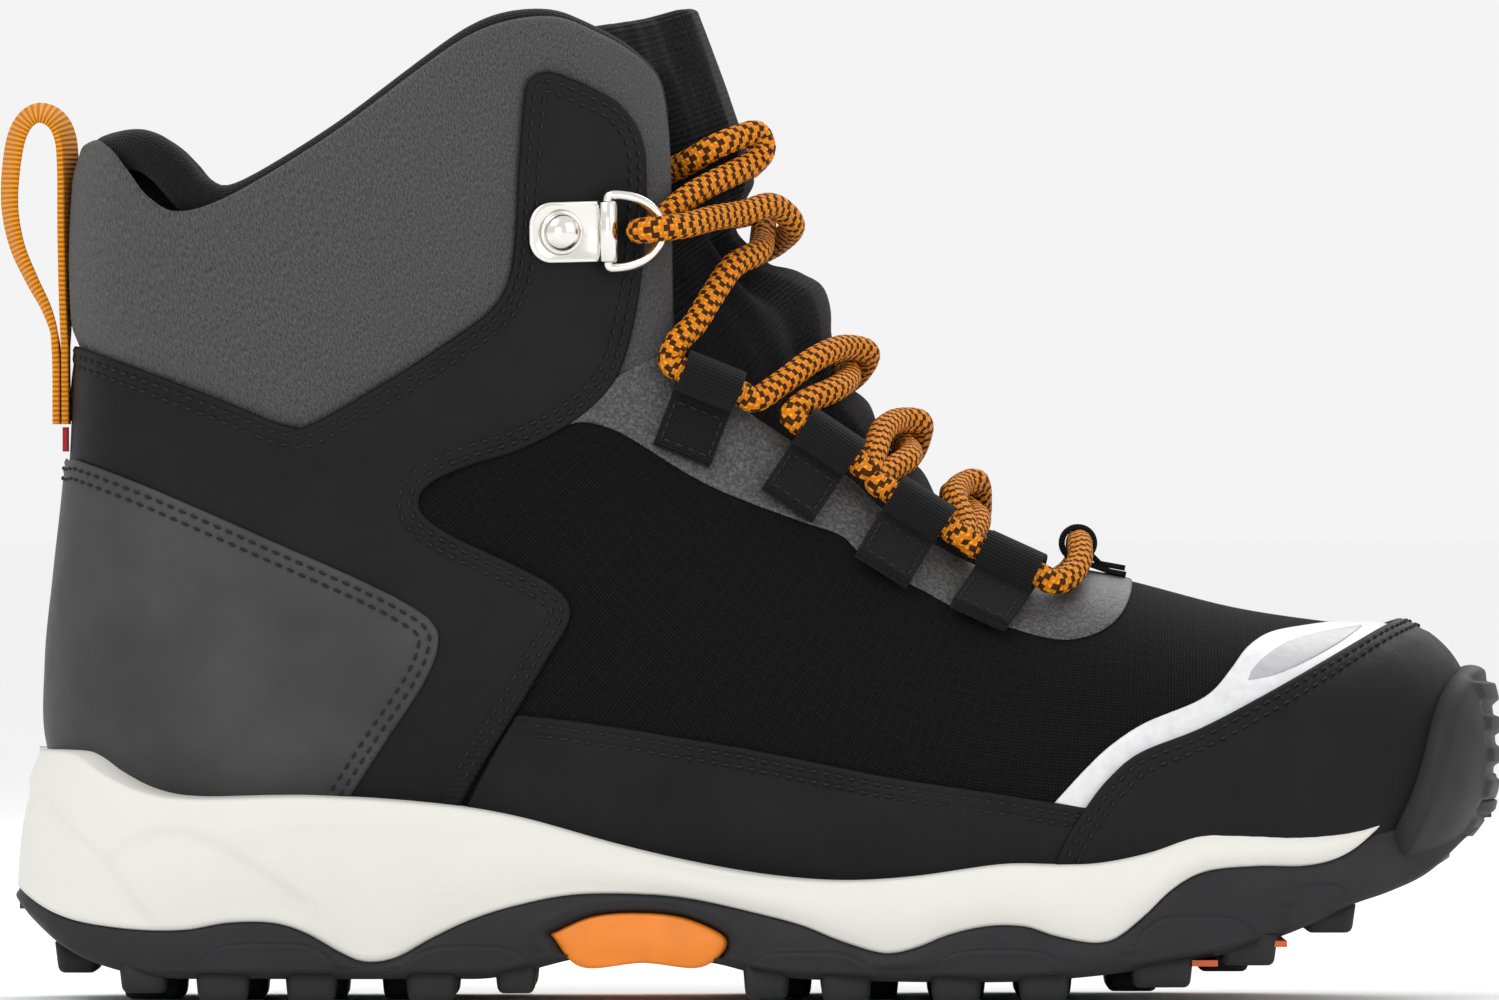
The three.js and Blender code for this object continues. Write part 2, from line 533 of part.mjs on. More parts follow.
// A solid that keeps its shape, placed by a frame from sideFrame.
function addOn(frame, name, solid, finish) {
  const mesh = new THREE.Mesh(toGeometry(mainBody(solid)), finish);
  mesh.name = name;
  mesh.quaternion.setFromRotationMatrix(new THREE.Matrix4().makeBasis(frame.first, frame.second, frame.out));
  mesh.position.copy(frame.origin);
  boot.add(mesh);
  return mesh;
}

const SIDES = [
  { name: "lateral", sign: -1, low: -FAR, high: -SEAM_GAP / 2 },
  { name: "medial", sign: 1, low: SEAM_GAP / 2, high: FAR },
];
const shifted = (outline, dx, dz) => outline.map(([x, z]) => [x + dx, z + dz]);

// ---------------------------------------------------------------- rings and their plates
// Made in the plate's own frame: a runs forward from the rivet, b across the plate, c out from its underside.
const RIVET_AT = [106.5 * grade.x, 150.5 * grade.z];
const PLATE_BACK = -6.5; // the plate's rear edge
const BAR_AT = PLATE_LENGTH + PLATE_BACK + 0.5;
const KNUCKLE_WALL = 0.8;
const BORE = RING_WIRE / 2 + RING_CLEARANCE;
const RING_WIDTH = PLATE_WIDTH + 2 * (RING_WIRE + RING_SIDE_GAP); // across the D
const BAR_UP = BORE + KNUCKLE_WALL;
const RING_REST_TILT = THREE.MathUtils.degToRad(12); // the lace behind the ring keeps it off the collar
const RIVET_FIT = 0.3; // round the shank in every layer that it passes
const WASHER_THICK = 1.0;
const plateFrames = SIDES.map((side) => sideFrame(...RIVET_AT, side.sign, OVERLAY[1] + LAYER_GAP, 1, 0.03));
const placeIn = (frame, solid) => {
  const matrix = new THREE.Matrix4().makeBasis(frame.first, frame.second, frame.out).setPosition(frame.origin);
  return toSolid(toGeometry(solid).applyMatrix4(matrix));
};
// A cylinder along b or c with its middle at a, b, c.
function cylinder(axis, radius, length, a, b, c, sides = 12) {
  const geometry = new THREE.CylinderGeometry(radius, radius, length, sides);
  if (axis === "c") geometry.rotateX(Math.PI / 2);
  return toSolid(geometry.translate(a, b, c));
}
const shankSpace = cylinder("c", RIVET_SHANK / 2 + RIVET_FIT, 30, 0, 0, 0);
const WASHER_SUNK = 0.7; // below the curved fabric's lowest point under it
const washerLow = -LAYER_GAP - OVERLAY_THICK - LAYER_GAP - BASE_THICK - WASHER_SUNK - WASHER_THICK;
const washerSpace = cylinder("c", RIVET_HEAD / 2 + LAYER_GAP, 8, 0, 0, washerLow + 1.5);
const layerCuts = plateFrames.map((frame) => placeIn(frame, shankSpace));
const foamCuts = plateFrames.map((frame) => placeIn(frame, washerSpace));
const withoutRivets = (solid) => layerCuts.reduce((left, cut) => left.subtract(cut), solid);

function ringPlate() {
  const [back, half, corner] = [PLATE_BACK, PLATE_WIDTH / 2, 2];
  const shape = new THREE.Shape();
  shape.moveTo(BAR_AT, -half);
  shape.lineTo(BAR_AT, half);
  shape.lineTo(back + corner, half);
  shape.absarc(back + corner, half - corner, corner, Math.PI / 2, Math.PI, false);
  shape.absarc(back + corner, corner - half, corner, Math.PI, 1.5 * Math.PI, false);
  const plateShape = { depth: PLATE_THICK, bevelEnabled: false, curveSegments: 4 };
  const plate = toSolid(new THREE.ExtrudeGeometry(shape, plateShape));
  const knuckle = cylinder("b", BAR_UP, PLATE_WIDTH, BAR_AT, 0, BAR_UP);
  const bore = cylinder("b", BORE, PLATE_WIDTH + 2, BAR_AT, 0, BAR_UP);
  return plate.add(knuckle).subtract(bore).subtract(shankSpace);
}

// A D of wire: a straight bar through the knuckle and a bow that starts and ends square to it.
function ring() {
  const wire = RING_WIRE / 2;
  const half = RING_WIDTH / 2 - wire;
  const reach = RING_REACH - wire;
  const bow = new THREE.CatmullRomCurve3(
    Array.from({ length: 15 }, (_, i) => {
      const angle = -Math.PI / 2 + (Math.PI * i) / 14;
      return vec(reach * Math.max(0, Math.cos(angle)) ** 0.8, half * Math.sin(angle), 0);
    }),
  );
  const section = new THREE.Shape().absarc(0, 0, wire, 0, 2 * Math.PI, false);
  const bowSolid = toSolid(new THREE.ExtrudeGeometry(section, {
    steps: 14, curveSegments: 4, extrudePath: bow, bevelEnabled: false,
  }));
  const bar = cylinder("b", wire, 2 * half + 2 * wire, 0, 0, 0);
  const made = toGeometry(bowSolid.add(bar));
  made.rotateY(-RING_REST_TILT);
  made.translate(BAR_AT, 0, BAR_UP);
  return toSolid(made);
}

// A domed head on the plate, its shank, and the end that is turned over inside the washer.
function rivet() {
  const shank = RIVET_SHANK / 2;
  const head = RIVET_HEAD / 2;
  const seat = PLATE_THICK + LAYER_GAP;
  const end = washerLow - LAYER_GAP;
  const DOME = 2.4;
  const DOME_STEPS = 4;
  const dome = Array.from({ length: DOME_STEPS + 1 }, (_, i) => {
    const angle = (i / DOME_STEPS) * (Math.PI / 2);
    return new THREE.Vector2(head * Math.cos(angle), seat + 0.4 + DOME * Math.sin(angle));
  });
  const profile = [
    [0, end - 0.8], [shank + 1, end - 0.8], [shank + 1, end], [shank, end], [shank, seat], [head, seat],
  ].map(([r, c]) => new THREE.Vector2(r, c));
  dome[DOME_STEPS].x = 0;
  const geometry = new THREE.LatheGeometry([...profile, ...dome], 14);
  return toSolid(geometry.rotateX(Math.PI / 2));
}

function addRings() {
  SIDES.forEach((side, i) => {
    addOn(plateFrames[i], `ring_plate_${side.name}`, ringPlate(), MATERIALS.metal);
    addOn(plateFrames[i], `rivet_${side.name}`, rivet(), MATERIALS.metal);
    const washer = cylinder("c", RIVET_HEAD / 2, WASHER_THICK, 0, 0, washerLow + WASHER_THICK / 2);
    addOn(plateFrames[i], `rivet_washer_${side.name}`, washer.subtract(shankSpace), MATERIALS.metal);
    addOn(plateFrames[i], `lace_ring_${side.name}`, ring(), MATERIALS.metal);
  });
}

// ---------------------------------------------------------------- webbing, lace and heel pull
const LOOP_STANDOFF = 0.5; // between the film and a flat tab on its curve
const TUNNEL = LACE_DIAMETER / 2 + LACE_CLEARANCE; // inner radius of a webbing loop
const TUNNEL_OUT = TUNNEL + WEBBING_THICK;

// A tunnel of webbing and its two-ply tab, in a frame with a along the lace, b up to the throat, c outwards.
function webbingLoop(tab) {
  const ply = 2 * WEBBING_THICK;
  const start = Math.PI + Math.asin((TUNNEL_OUT - ply) / TUNNEL_OUT);
  const shape = new THREE.Shape();
  shape.moveTo(-tab, 0);
  shape.lineTo(TUNNEL_OUT, 0);
  shape.absarc(TUNNEL_OUT, TUNNEL_OUT, TUNNEL_OUT, -Math.PI / 2, start, false);
  shape.lineTo(-tab, ply);
  const hole = new THREE.Path();
  hole.absarc(TUNNEL_OUT, TUNNEL_OUT, TUNNEL, 0, 2 * Math.PI, true);
  shape.holes.push(hole);
  const geometry = new THREE.ExtrudeGeometry(shape, { depth: LOOP_LENGTH, curveSegments: 6, bevelEnabled: false });
  geometry.translate(0, 0, -LOOP_LENGTH / 2);
  const turn = new THREE.Matrix4().makeBasis(vec(0, 1, 0), vec(0, 0, 1), vec(1, 0, 0));
  return toSolid(geometry.applyMatrix4(turn));
}

function addWebbing() {
  for (const side of SIDES) {
    WEBBING_LOOPS.forEach(({ at, along }, i) => {
      const [x, z] = graded([at])[0];
      const direction = graded([along])[0].map((v) => -side.sign * v);
      const frame = sideFrame(x, z, side.sign, FILM[1] + LOOP_STANDOFF, ...direction);
      addOn(frame, `lace_loop_${side.name}_${i + 1}`, webbingLoop(LOOP_TAB), MATERIALS.webbing);
    });
  }
  const FRONT_LOOP_SECTION = 6.5; // the section of the form on whose ridge it is sewn
  const [x, , z] = halfSection(FRONT_LOOP_SECTION, 1).at(0);
  const out = normalAt(FRONT_LOOP_SECTION, 0);
  const frame = { origin: vec(x, swing(x), z).addScaledVector(out, FILM[1] + LAYER_GAP), out };
  frame.first = vec(0, 1, 0);
  frame.second = out.clone().cross(frame.first);
  addOn(frame, "lace_loop_front", webbingLoop(LOOP_TAB * 0.55), MATERIALS.webbing);
}

// A curve that is stepped from point to point of its route rather than by even lengths.
class Route extends THREE.CatmullRomCurve3 {
  getPointAt(share, target) {
    return this.getPoint(share, target);
  }

  getTangentAt(share, target) {
    return this.getTangent(share, target);
  }
}

function cordAlong(points) {
  const section = new THREE.Shape();
  const sides = 8;
  for (let i = 0; i < sides; i++) {
    const angle = (i / sides) * 2 * Math.PI;
    const radius = LACE_DIAMETER / 2;
    section[i ? "lineTo" : "moveTo"](radius * Math.cos(angle), radius * Math.sin(angle));
  }
  const route = new Route(points.map(([x, y, z]) => vec(x, y, z)), false, "centripetal");
  return toSolid(new THREE.ExtrudeGeometry(section, {
    steps: points.length - 1, extrudePath: route, bevelEnabled: false,
  }));
}

const onSide = (points, sign) => points.map(([x, y, z]) => [x, sign * y, z]);
const raised = ([x, y, z], lift, share) => [x + lift[0] * share, y, z + lift[2] * share];
const between = (a, b, share) => a.map((v, k) => v + (b[k] - v) * share);

// Over the tongue, from the lower end of loop n (from 0) on one side to the upper end of loop n + 1 opposite.
function crossing(n, sign, over) {
  const { climb, cross, fall, lift } = LACE_CROSSINGS[n];
  const up = onSide(climb, sign);
  const down = onSide([...fall], -sign);
  const share = over ? 1 : 0;
  up[up.length - 1] = raised(up[up.length - 1], lift, share * 0.45);
  down[0] = raised(down[0], lift, share * 0.45);
  return [...up, raised(cross, lift, share), ...down];
}

const lateral = -1;
const medial = 1;
const loopMiddle = (n, sign) => onSide([between(...LACE_IN_LOOPS[n], 0.5)], sign)[0];
const MEETING_GAP = 0.3; // between the ends of two cord pieces inside a loop

// The middle stretch, from the first loop on the inner side to the first loop on the outer side.
function laceRoute() {
  const through = (n, sign) => onSide(LACE_IN_LOOPS[n], sign);
  const back = (points) => [...points].reverse();
  const first = between(loopMiddle(0, medial), through(0, medial)[1], MEETING_GAP / LOOP_LENGTH);
  const last = between(loopMiddle(0, lateral), through(0, lateral)[1], MEETING_GAP / LOOP_LENGTH);
  return [
    first, through(0, medial)[1], ...crossing(0, medial, false), ...through(1, lateral),
    ...crossing(1, lateral, true), ...through(2, medial), ...crossing(2, medial, false), ...through(3, lateral),
    ...onSide(LACE_FRONT, lateral), [208.9, 0, 89.7], ...back(onSide(LACE_FRONT, medial)),
    ...back(through(3, medial)), ...back(crossing(2, lateral, true)), ...back(through(2, lateral)),
    ...back(crossing(1, medial, false)), ...back(through(1, medial)), ...back(crossing(0, lateral, true)),
    through(0, lateral)[1], last,
  ];
}

// From the first loop on one side to the ring on the other (sign), and on to the end tucked into the boot.
function tailRoute(sign) {
  const over = sign === lateral ? 1 : 0;
  const [upper] = onSide([LACE_IN_LOOPS[0][0]], -sign);
  const { cross, lift } = LACE_TOP_CROSSING;
  const toTop = onSide(LACE_TO_TOP, -sign);
  toTop[toTop.length - 1] = raised(toTop[toTop.length - 1], lift, over * 0.7);
  const toRing = onSide(LACE_TO_RING, sign);
  toRing[0] = raised(toRing[0], lift, over * 0.35);
  return [
    between(loopMiddle(0, -sign), upper, MEETING_GAP / LOOP_LENGTH), upper, ...toTop, raised(cross, lift, over),
    ...toRing, ...onSide(LACE_TAIL, sign),
  ];
}

function addLace() {
  const leaning = (points) => points.map(([x, y, z]) => [x, y + swing(x), z]);
  const cords = [
    ["lace", laceRoute()], ["lace_tail_lateral", tailRoute(lateral)], ["lace_tail_medial", tailRoute(medial)],
  ];
  for (const [name, points] of cords) {
    const mesh = new THREE.Mesh(toGeometry(cordAlong(leaning(points))), MATERIALS.lace);
    mesh.name = name;
    boot.add(mesh);
  }
  for (const side of SIDES) {
    const points = leaning(tailRoute(side.sign)).map((p) => vec(...p));
    const end = points[points.length - 1];
    const direction = end.clone().sub(points[points.length - 2]).normalize();
    const geometry = new THREE.CylinderGeometry(LACE_DIAMETER * 0.4, LACE_DIAMETER * 0.42, AGLET_LENGTH, 12);
    const mesh = new THREE.Mesh(geometry, MATERIALS.webbing);
    mesh.name = `aglet_${side.name}`;
    mesh.quaternion.setFromUnitVectors(vec(0, 1, 0), direction);
    mesh.position.copy(end).addScaledVector(direction, AGLET_LENGTH / 2 + MEETING_GAP);
    boot.add(mesh);
  }
}

// A band whose middle line folds back beside itself; its two feet are sewn together under a small label.
function addPull() {
  const side = (offset) => PULL_LINE.map(([x, z], i) => {
    const a = PULL_LINE[Math.max(0, i - 1)];
    const b = PULL_LINE[Math.min(PULL_LINE.length - 1, i + 1)];
    const length = Math.hypot(b[0] - a[0], b[1] - a[1]);
    return [x - ((b[1] - a[1]) / length) * offset, z + ((b[0] - a[0]) / length) * offset];
  });
  const SEWN = graded([[0, 128]])[0][1]; // below this height the two plies are one
  const [outside, inside] = [side(PULL_THICK / 2), side(-PULL_THICK / 2)];
  const band = sidePrism([...outside, ...inside.reverse()], -PULL_WIDTH / 2, PULL_WIDTH / 2);
  const [behind, low] = PULL_LINE[0];
  const foot = [[behind, SEWN], [9.2, SEWN], [9.2, low], [behind, low]];
  add("heel_pull", band.add(sidePrism(foot, -PULL_WIDTH / 2, PULL_WIDTH / 2)), MATERIALS.orange);
  const label = graded([[8.6, 107.6], [8.6, 112.4], [9.6, 112.4], [9.6, 107.6]]);
  add("heel_label", sidePrism(label, -4.5, 4.5), MATERIALS.label);
}

// ---------------------------------------------------------------- upper
const throat = sidePrism(THROAT, -FAR, FAR);
const belowSeam = [...COLLAR_SEAM, [FAR, 127 * grade.z], [FAR, -50], [-50, -50], [-50, COLLAR_SEAM[0][1]]];
const aboveSeam = (top) => [...top, ...shifted([...COLLAR_SEAM].reverse(), 0, SEAM_GAP)];
const belowHeel = [[85 * grade.x, -50], [-50, -50], [-50, QUARTER_TOP[0][1]]];
const quarterOutline = [...QUARTER_TOP, ...QUARTER_FRONT, ...belowHeel];

// The base is sewn up from the vamp, the two quarters behind it and the sock that closes it underfoot.
const VAMP_SEAM = graded([[70, 230], [72, 97], [77, 70], [80, 50], [78, -50]]);
const LASTING_HEIGHT = 5; // of the sock's edge over the lowest line of the form
const underfoot = (margin) => [
  ...SECTIONS.slice(1, 15).map(([, , x, z]) => [x, z + margin * grade.z]),
  [-50, 60 * grade.z], [-50, -50], [FAR, -50], [FAR, 44 * grade.z],
];

function addUpperBase() {
  const base = layer(...BASE);
  const below = (side) => base.intersect(sidePrism(belowSeam, side.low, side.high));
  const sock = sidePrism(underfoot(LASTING_HEIGHT), -FAR, FAR);
  add("sock", base.intersect(sock), MATERIALS.board);
  const overSock = sidePrism(underfoot(LASTING_HEIGHT + SEAM_GAP), -FAR, FAR);
  const inFront = [...VAMP_SEAM, [FAR, -50], [FAR, 230 * grade.z]];
  const vamp = below({ low: -FAR, high: FAR }).intersect(sidePrism(inFront, -FAR, FAR));
  add("vamp_mesh", vamp.subtract(overSock).subtract(throat), MATERIALS.mesh);
  const behindSeam = sidePrism(shifted(inFront, -SEAM_GAP, 0), -FAR, FAR);
  for (const side of SIDES) {
    add(`quarter_mesh_${side.name}`, below(side).subtract(overSock).subtract(behindSeam), MATERIALS.mesh);
    const collar = base.intersect(sidePrism(aboveSeam(COLLAR_TOP), side.low, side.high));
    add(`collar_${side.name}`, withoutRivets(collar), MATERIALS.collar);
  }
}

// The foot lining meets the collar's lining along a line below the padding.
const LINING_SEAM = graded([[-50, 104], [118, 104], [130.5, 127]]);
const FOAM_AREA = graded([
  [-20, 126], [-20, 160], [14, 161], [27, 152], [33, 150], [42, 153], [62, 164.5], [81, 178.5],
  [96, 186], [107, 186.5],
  [116, 181], [121.5, 174], [122, 140], [118, 131], [100, 127], [78, 115.5], [55, 108.5], [26, 118],
]);

function addLining() {
  const lower = [...LINING_SEAM, [FAR, LINING_SEAM[2][1]], [FAR, -50], [-50, -50]];
  const footLining = layer(...LINING).intersect(sidePrism(lower, -FAR, FAR)).subtract(throat);
  add("foot_lining", footLining, MATERIALS.lining);
  const upper = [...LINING_TOP, ...shifted([...LINING_SEAM].reverse(), 0, SEAM_GAP)];
  const collar = paddedLayer(...COLLAR_LINING).intersect(sidePrism(upper, -FAR, FAR));
  add("collar_lining", collar.subtract(throat), MATERIALS.lining);
  const padding = form(FOAM[1]).subtract(form(FOAM[0], true));
  const foam = padding.intersect(sidePrism(FOAM_AREA, -FAR, FAR));
  add("collar_foam", foamCuts.reduce((left, cut) => left.subtract(cut), foam), MATERIALS.stiffener);
}

function addStiffeners() {
  const counter = graded([[-20, 38], [-20, 96], [20, 94], [52, 78], [62, 60], [60, 44], [52, 38]]);
  add("heel_counter", layer(...STIFFENER).intersect(sidePrism(counter, -FAR, FAR)), MATERIALS.stiffener);
  const puff = graded([[236, 36], [240, 56], [258, 90], [320, 90], [320, 36]]);
  add("toe_puff", layer(...STIFFENER).intersect(sidePrism(puff, -FAR, FAR)), MATERIALS.stiffener);
}

function addOverlays() {
  for (const side of SIDES) {
    const quarter = layer(...OVERLAY).intersect(sidePrism(quarterOutline, side.low, side.high));
    add(`quarter_overlay_${side.name}`, withoutRivets(quarter), MATERIALS.leather);
    const notch = sidePrism(shifted(quarterOutline, SEAM_GAP, 0), -FAR, FAR);
    const underBall = [[230 * grade.x, 36 * grade.z], [230 * grade.x, -50], [60 * grade.x, -50]];
    const guardOutline = [...MUDGUARD_TOP, ...underBall];
    const guard = layer(...OVERLAY).intersect(sidePrism(guardOutline, side.low, side.high)).subtract(notch);
    add(`mudguard_${side.name}`, guard, MATERIALS.leather);
    const trimOutline = [...TRIM_TOP, ...graded([[300, 80], [262, 60], [230, 42]])];
    const underGuard = sidePrism(shifted(guardOutline, 0, SEAM_GAP), -FAR, FAR);
    const trim = layer(...OVERLAY).intersect(sidePrism(trimOutline, side.low, side.high));
    add(`toe_trim_${side.name}`, trim.subtract(underGuard), MATERIALS.reflective);
  }
  const filmOutline = [...FILM_LOW, ...graded([[150, 150], [131, 127], [113, 118.5]])];
  const behind = sidePrism(shifted(quarterOutline, SEAM_GAP, 0), -FAR, FAR);
  const film = layer(...FILM).intersect(sidePrism(filmOutline, -FAR, FAR)).subtract(throat).subtract(behind);
  add("eyestay_film", film, MATERIALS.film);
  const cap = [...TOE_CAP, [FAR, 100 * grade.z], [FAR, -50], [200 * grade.x, -50]];
  add("toe_cap", layer(...CAP).intersect(sidePrism(cap, -FAR, FAR)), MATERIALS.leather);
  const heel = [...HEEL_OVERLAY, [60 * grade.x, -50], [-50, -50], [-50, HEEL_OVERLAY[0][1]]];
  add("heel_overlay", layer(...CAP).intersect(sidePrism(heel, -FAR, FAR)), MATERIALS.heel);
}

// The insole board and footbed fill the bottom of the foot's cavity.
function addInsole() {
  const BOARD_EDGE = 10; // heights of the two pieces' edges over the lowest line of the form
  const FOOTBED_EDGE = 15;
  const board = layer(...BOARD).intersect(sidePrism(underfoot(BOARD_EDGE), -FAR, FAR));
  add("insole_board", board, MATERIALS.board);
  const footbed = layer(...FOOTBED).intersect(sidePrism(underfoot(FOOTBED_EDGE), -FAR, FAR));
  add("footbed", footbed, MATERIALS.footbed);
}

// A closed pad over the ridge between sections u0 and u1, half as wide as reach, both faces given by (s, u).
function ridgePad(u0, u1, steps, reach, outer, inner) {
  const across = 8;
  const rows = Array.from({ length: steps + 1 }, (_, i) => {
    const u = u0 + ((u1 - u0) * i) / steps;
    const half = halfSection(u, 1);
    const row = (offset) => Array.from({ length: 2 * across + 1 }, (_, j) => {
      const side = (j - across) / across;
      const s = Math.abs(side) * reach(u);
      const p = vec(...half.at(s)).addScaledVector(normalAt(u, s), offset(s, u));
      return [p.x, Math.sign(side) * p.y, p.z];
    });
    return [...row(outer), ...row(inner).reverse()];
  });
  return loftFree(rows);
}

// As loft, with each end closed by a strip between the two halves of its ring.
function loftFree(rings) {
  const n = rings[0].length;
  const faces = [];
  for (let i = 0; i + 1 < rings.length; i++) {
    for (let j = 0; j < n; j++) {
      const k = (j + 1) % n;
      faces.push([i * n + j, i * n + k, (i + 1) * n + k, (i + 1) * n + j]);
    }
  }
  const end = (rings.length - 1) * n;
  for (let j = 0; j + 1 < n / 2; j++) {
    const k = n - 1 - j;
    faces.push([j + 1, j, k, k - 1]);
    faces.push([end + j, end + j + 1, end + k - 1, end + k]);
  }
  return solidFrom(rings.flat(), faces);
}

// Piecewise straight through [[at, value], ...], level beyond both ends.
function straightThrough(points, at) {
  if (at <= points[0][0]) return points[0][1];
  for (let i = 1; i < points.length; i++) {
    const [[a, from], [b, to]] = [points[i - 1], points[i]];
    if (at <= b) return from + ((to - from) * (at - a)) / (b - a);
  }
  return points[points.length - 1][1];
}

// The tongue's face sinks below the linings towards its edges; the lace presses its middle down, and the
// lace's ends are tucked in past its edges at the height of the bight.
const TONGUE_MIDDLE = [
  [7.15, LINING[0] - 1.4], [7.7, -2.6], [12.2, -2.6], [12.9, -5.6], [13.8, -5.6], [14.8, 1.2], [16, 2.2],
];
const TUCK_AREA = [[13.8, 0], [14.8, 1], [17.6, 1], [18.6, 0]];
const COLLAR_AREA = [[10.2, 0], [11.2, 1]];
function tongueFace(s, u) {
  const middle = straightThrough(TONGUE_MIDDLE, u);
  const underLining = LINING[0] - 1.9;
  const low = straightThrough([[0, middle], [12, middle - 0.6], [17, underLining], [36, underLining - 0.4]], s);
  const underCollar = COLLAR_LINING[0] - 0.6;
  const high = straightThrough([[0, middle], [7, middle - 0.6], [12, Math.min(middle, 0) - 4.6], [17, -6.4],
    [22, -8], [30, underCollar], [36, underCollar - 0.4]], s);
  const underLace = underCollar - LACE_DIAMETER - LAYER_GAP;
  const tucked = straightThrough([[0, middle], [7, middle - 0.8], [10, -2.6], [12, -4.2], [18, underLace]], s);
  const [tuck, collar] = [straightThrough(TUCK_AREA, u), straightThrough(COLLAR_AREA, u)];
  const edge = low + (high - low) * collar;
  return edge + (tucked - edge) * tuck;
}

function addTongue() {
  const TONGUE_FRONT = 6.75; // sections between which the tongue runs
  const TONGUE_TOP = 20;
  const REACH = [[6.7, 23], [9, 30], [11, 36], [13.8, 36], [14.6, 12], [17.8, 12], [18.8, 32]];
  const reach = (u) => straightThrough(REACH, u) * grade.y;
  const thickness = (s, u) => TONGUE_THICK * (1 - s / 70) * straightThrough([[6.7, 0.4], [9, 1]], u);
  const inner = (s, u) => tongueFace(s, u) - thickness(s, u);
  add("tongue", ridgePad(TONGUE_FRONT, TONGUE_TOP, 20, reach, tongueFace, inner), MATERIALS.mesh);
}

// ---------------------------------------------------------------- sole
function soleRing(row, kind) {
  const [x, w, under, floor, wall, top] = row;
  const inside = Math.max(1.5, w - RUBBER_WALL);
  const gap = LAYER_GAP;
  const half = kind === "foam"
    ? [
      [0, floor], [inside - gap, floor],
      [inside - gap, Math.max(wall, floor + 0.5)], [w, Math.max(wall, floor + 0.5)],
      [w + MIDSOLE_BULGE, (wall * 2 + top) / 3], [w + MIDSOLE_BULGE * 0.4, (wall + top * 3) / 4],
      [w - 1.2, top], [0, top],
    ]
    : [
      [0, under], [w * 0.9, under], [w, under + 1.6], [w + 0.6, (under + wall) / 2],
      [w + 0.2, wall - gap], [inside, wall - gap], [inside, floor - gap], [0, floor - gap],
    ];
  const rake = (z) => HEEL_RAKE * Math.max(0, 1 - x / 60) * Math.max(0, (z - wall) / (top - wall));
  const place = (y, z) => [x + (kind === "foam" ? rake(z) : 0), y, z];
  return [
    ...half.map(([y, z]) => place(y, z)),
    ...half.slice(1, -1).reverse().map(([y, z]) => place(-y, z)),
  ];
}

function halfWidthAt(x) {
  const i = Math.max(0, SOLE.findIndex((row) => row[0] > x) - 1);
  const [a, b] = [SOLE[i], SOLE[i + 1]];
  const f = (x - a[0]) / (b[0] - a[0]);
  return { width: a[1] + (b[1] - a[1]) * f, under: a[2] + (b[2] - a[2]) * f };
}

// One lug: a block that narrows to its tread face, from y0 to y1 and from x0 to x1.
function lug(x0, x1, y0, y1, face) {
  const deep = 1.6; // how far it is sunk into the rubber
  const middle = halfWidthAt((x0 + x1) / 2).under;
  const ring = (x, inset) => [
    [x, y0 + inset, face], [x, y1 - inset, face], [x, y1, middle + deep], [x, y0, middle + deep],
  ];
  return loft([ring(x0 + 0.4, LUG_BEVEL), ring(x1 - 0.4, LUG_BEVEL)]);
}

function addSole() {
  const hollow = form(SOLE_FIT);
  const foam = loft(SOLE.slice(0, MIDSOLE_END).map((row) => soleRing(row, "foam"))).subtract(hollow);
  let rubber = loft(SOLE.map((row) => soleRing(row, "rubber")));
  for (const [x0, x1, face, from, to] of LUGS) {
    const { width } = halfWidthAt((x0 + x1) / 2);
    if (from === 0) {
      rubber = rubber.add(lug(x0, x1, -to * width, to * width, face));
      continue;
    }
    rubber = rubber.add(lug(x0, x1, from * width, to * width, face));
    rubber = rubber.add(lug(x0, x1, -to * width, -from * width, face));
  }
  const bumper = form(SOLE_FIT + BUMPER_THICK).intersect(sidePrism(BUMPER, -FAR, FAR));
  rubber = rubber.add(bumper).subtract(hollow);
  const shank = archShank();
  rubber = rubber.subtract(shank.window);
  add("midsole", foam.subtract(shank.window), MATERIALS.foam);
  add("outsole", rubber, MATERIALS.rubber);
  add("arch_shank", shank.body, MATERIALS.orange);
  const inlay = (x0, x1) => {
    const { width, under } = halfWidthAt((x0 + x1) / 2);
    const low = under - 1.5;
    const top = under - LAYER_GAP;
    const ring = (x) => [[x, -width, low], [x, width, low], [x, width, top], [x, -width, top]];
    return loft([ring(x0), ring(x1)]);
  };
  add("tread_inlay_rear", inlay(230.2 * grade.x, 235.2 * grade.x).subtract(rubber), MATERIALS.orange);
  add("tread_inlay_front", inlay(244.4 * grade.x, 248.8 * grade.x).subtract(rubber), MATERIALS.orange);
}

// The orange shank lies across the arch in a window of the rubber; the window is the shank grown by a gap.
function archShank() {
  const outline = graded([
    [105, 13.2], [113, 16.6], [122.5, 17.4], [132, 16.2], [139.5, 12], [134.5, 6], [111, 6],
  ]);
  const { width } = halfWidthAt(outline[2][0]);
  const recess = 0.6; // the shank's ends lie this far inside the rubber's sides
  return {
    body: sidePrism(outline, recess - width, width - recess),
    window: sidePrism(grown(outline, LAYER_GAP + 0.1), -FAR, FAR),
  };
}

addUpperBase();
addLining();
addStiffeners();
addOverlays();
addInsole();
addTongue();
addSole();
addRings();
addWebbing();
addLace();
addPull();

// The origin: on the ground under the middle of the bounding box of everything but the cords.
const CORDS = ["lace", "lace_tail_lateral", "lace_tail_medial", "aglet_lateral", "aglet_medial"];
const bounds = new THREE.Box3();
boot.updateMatrixWorld(true);
for (const mesh of boot.children) if (!CORDS.includes(mesh.name)) bounds.expandByObject(mesh, true);
const middle = bounds.getCenter(vec(0, 0, 0));
boot.position.set(-middle.x, -middle.y, -bounds.min.z);

export default boot;
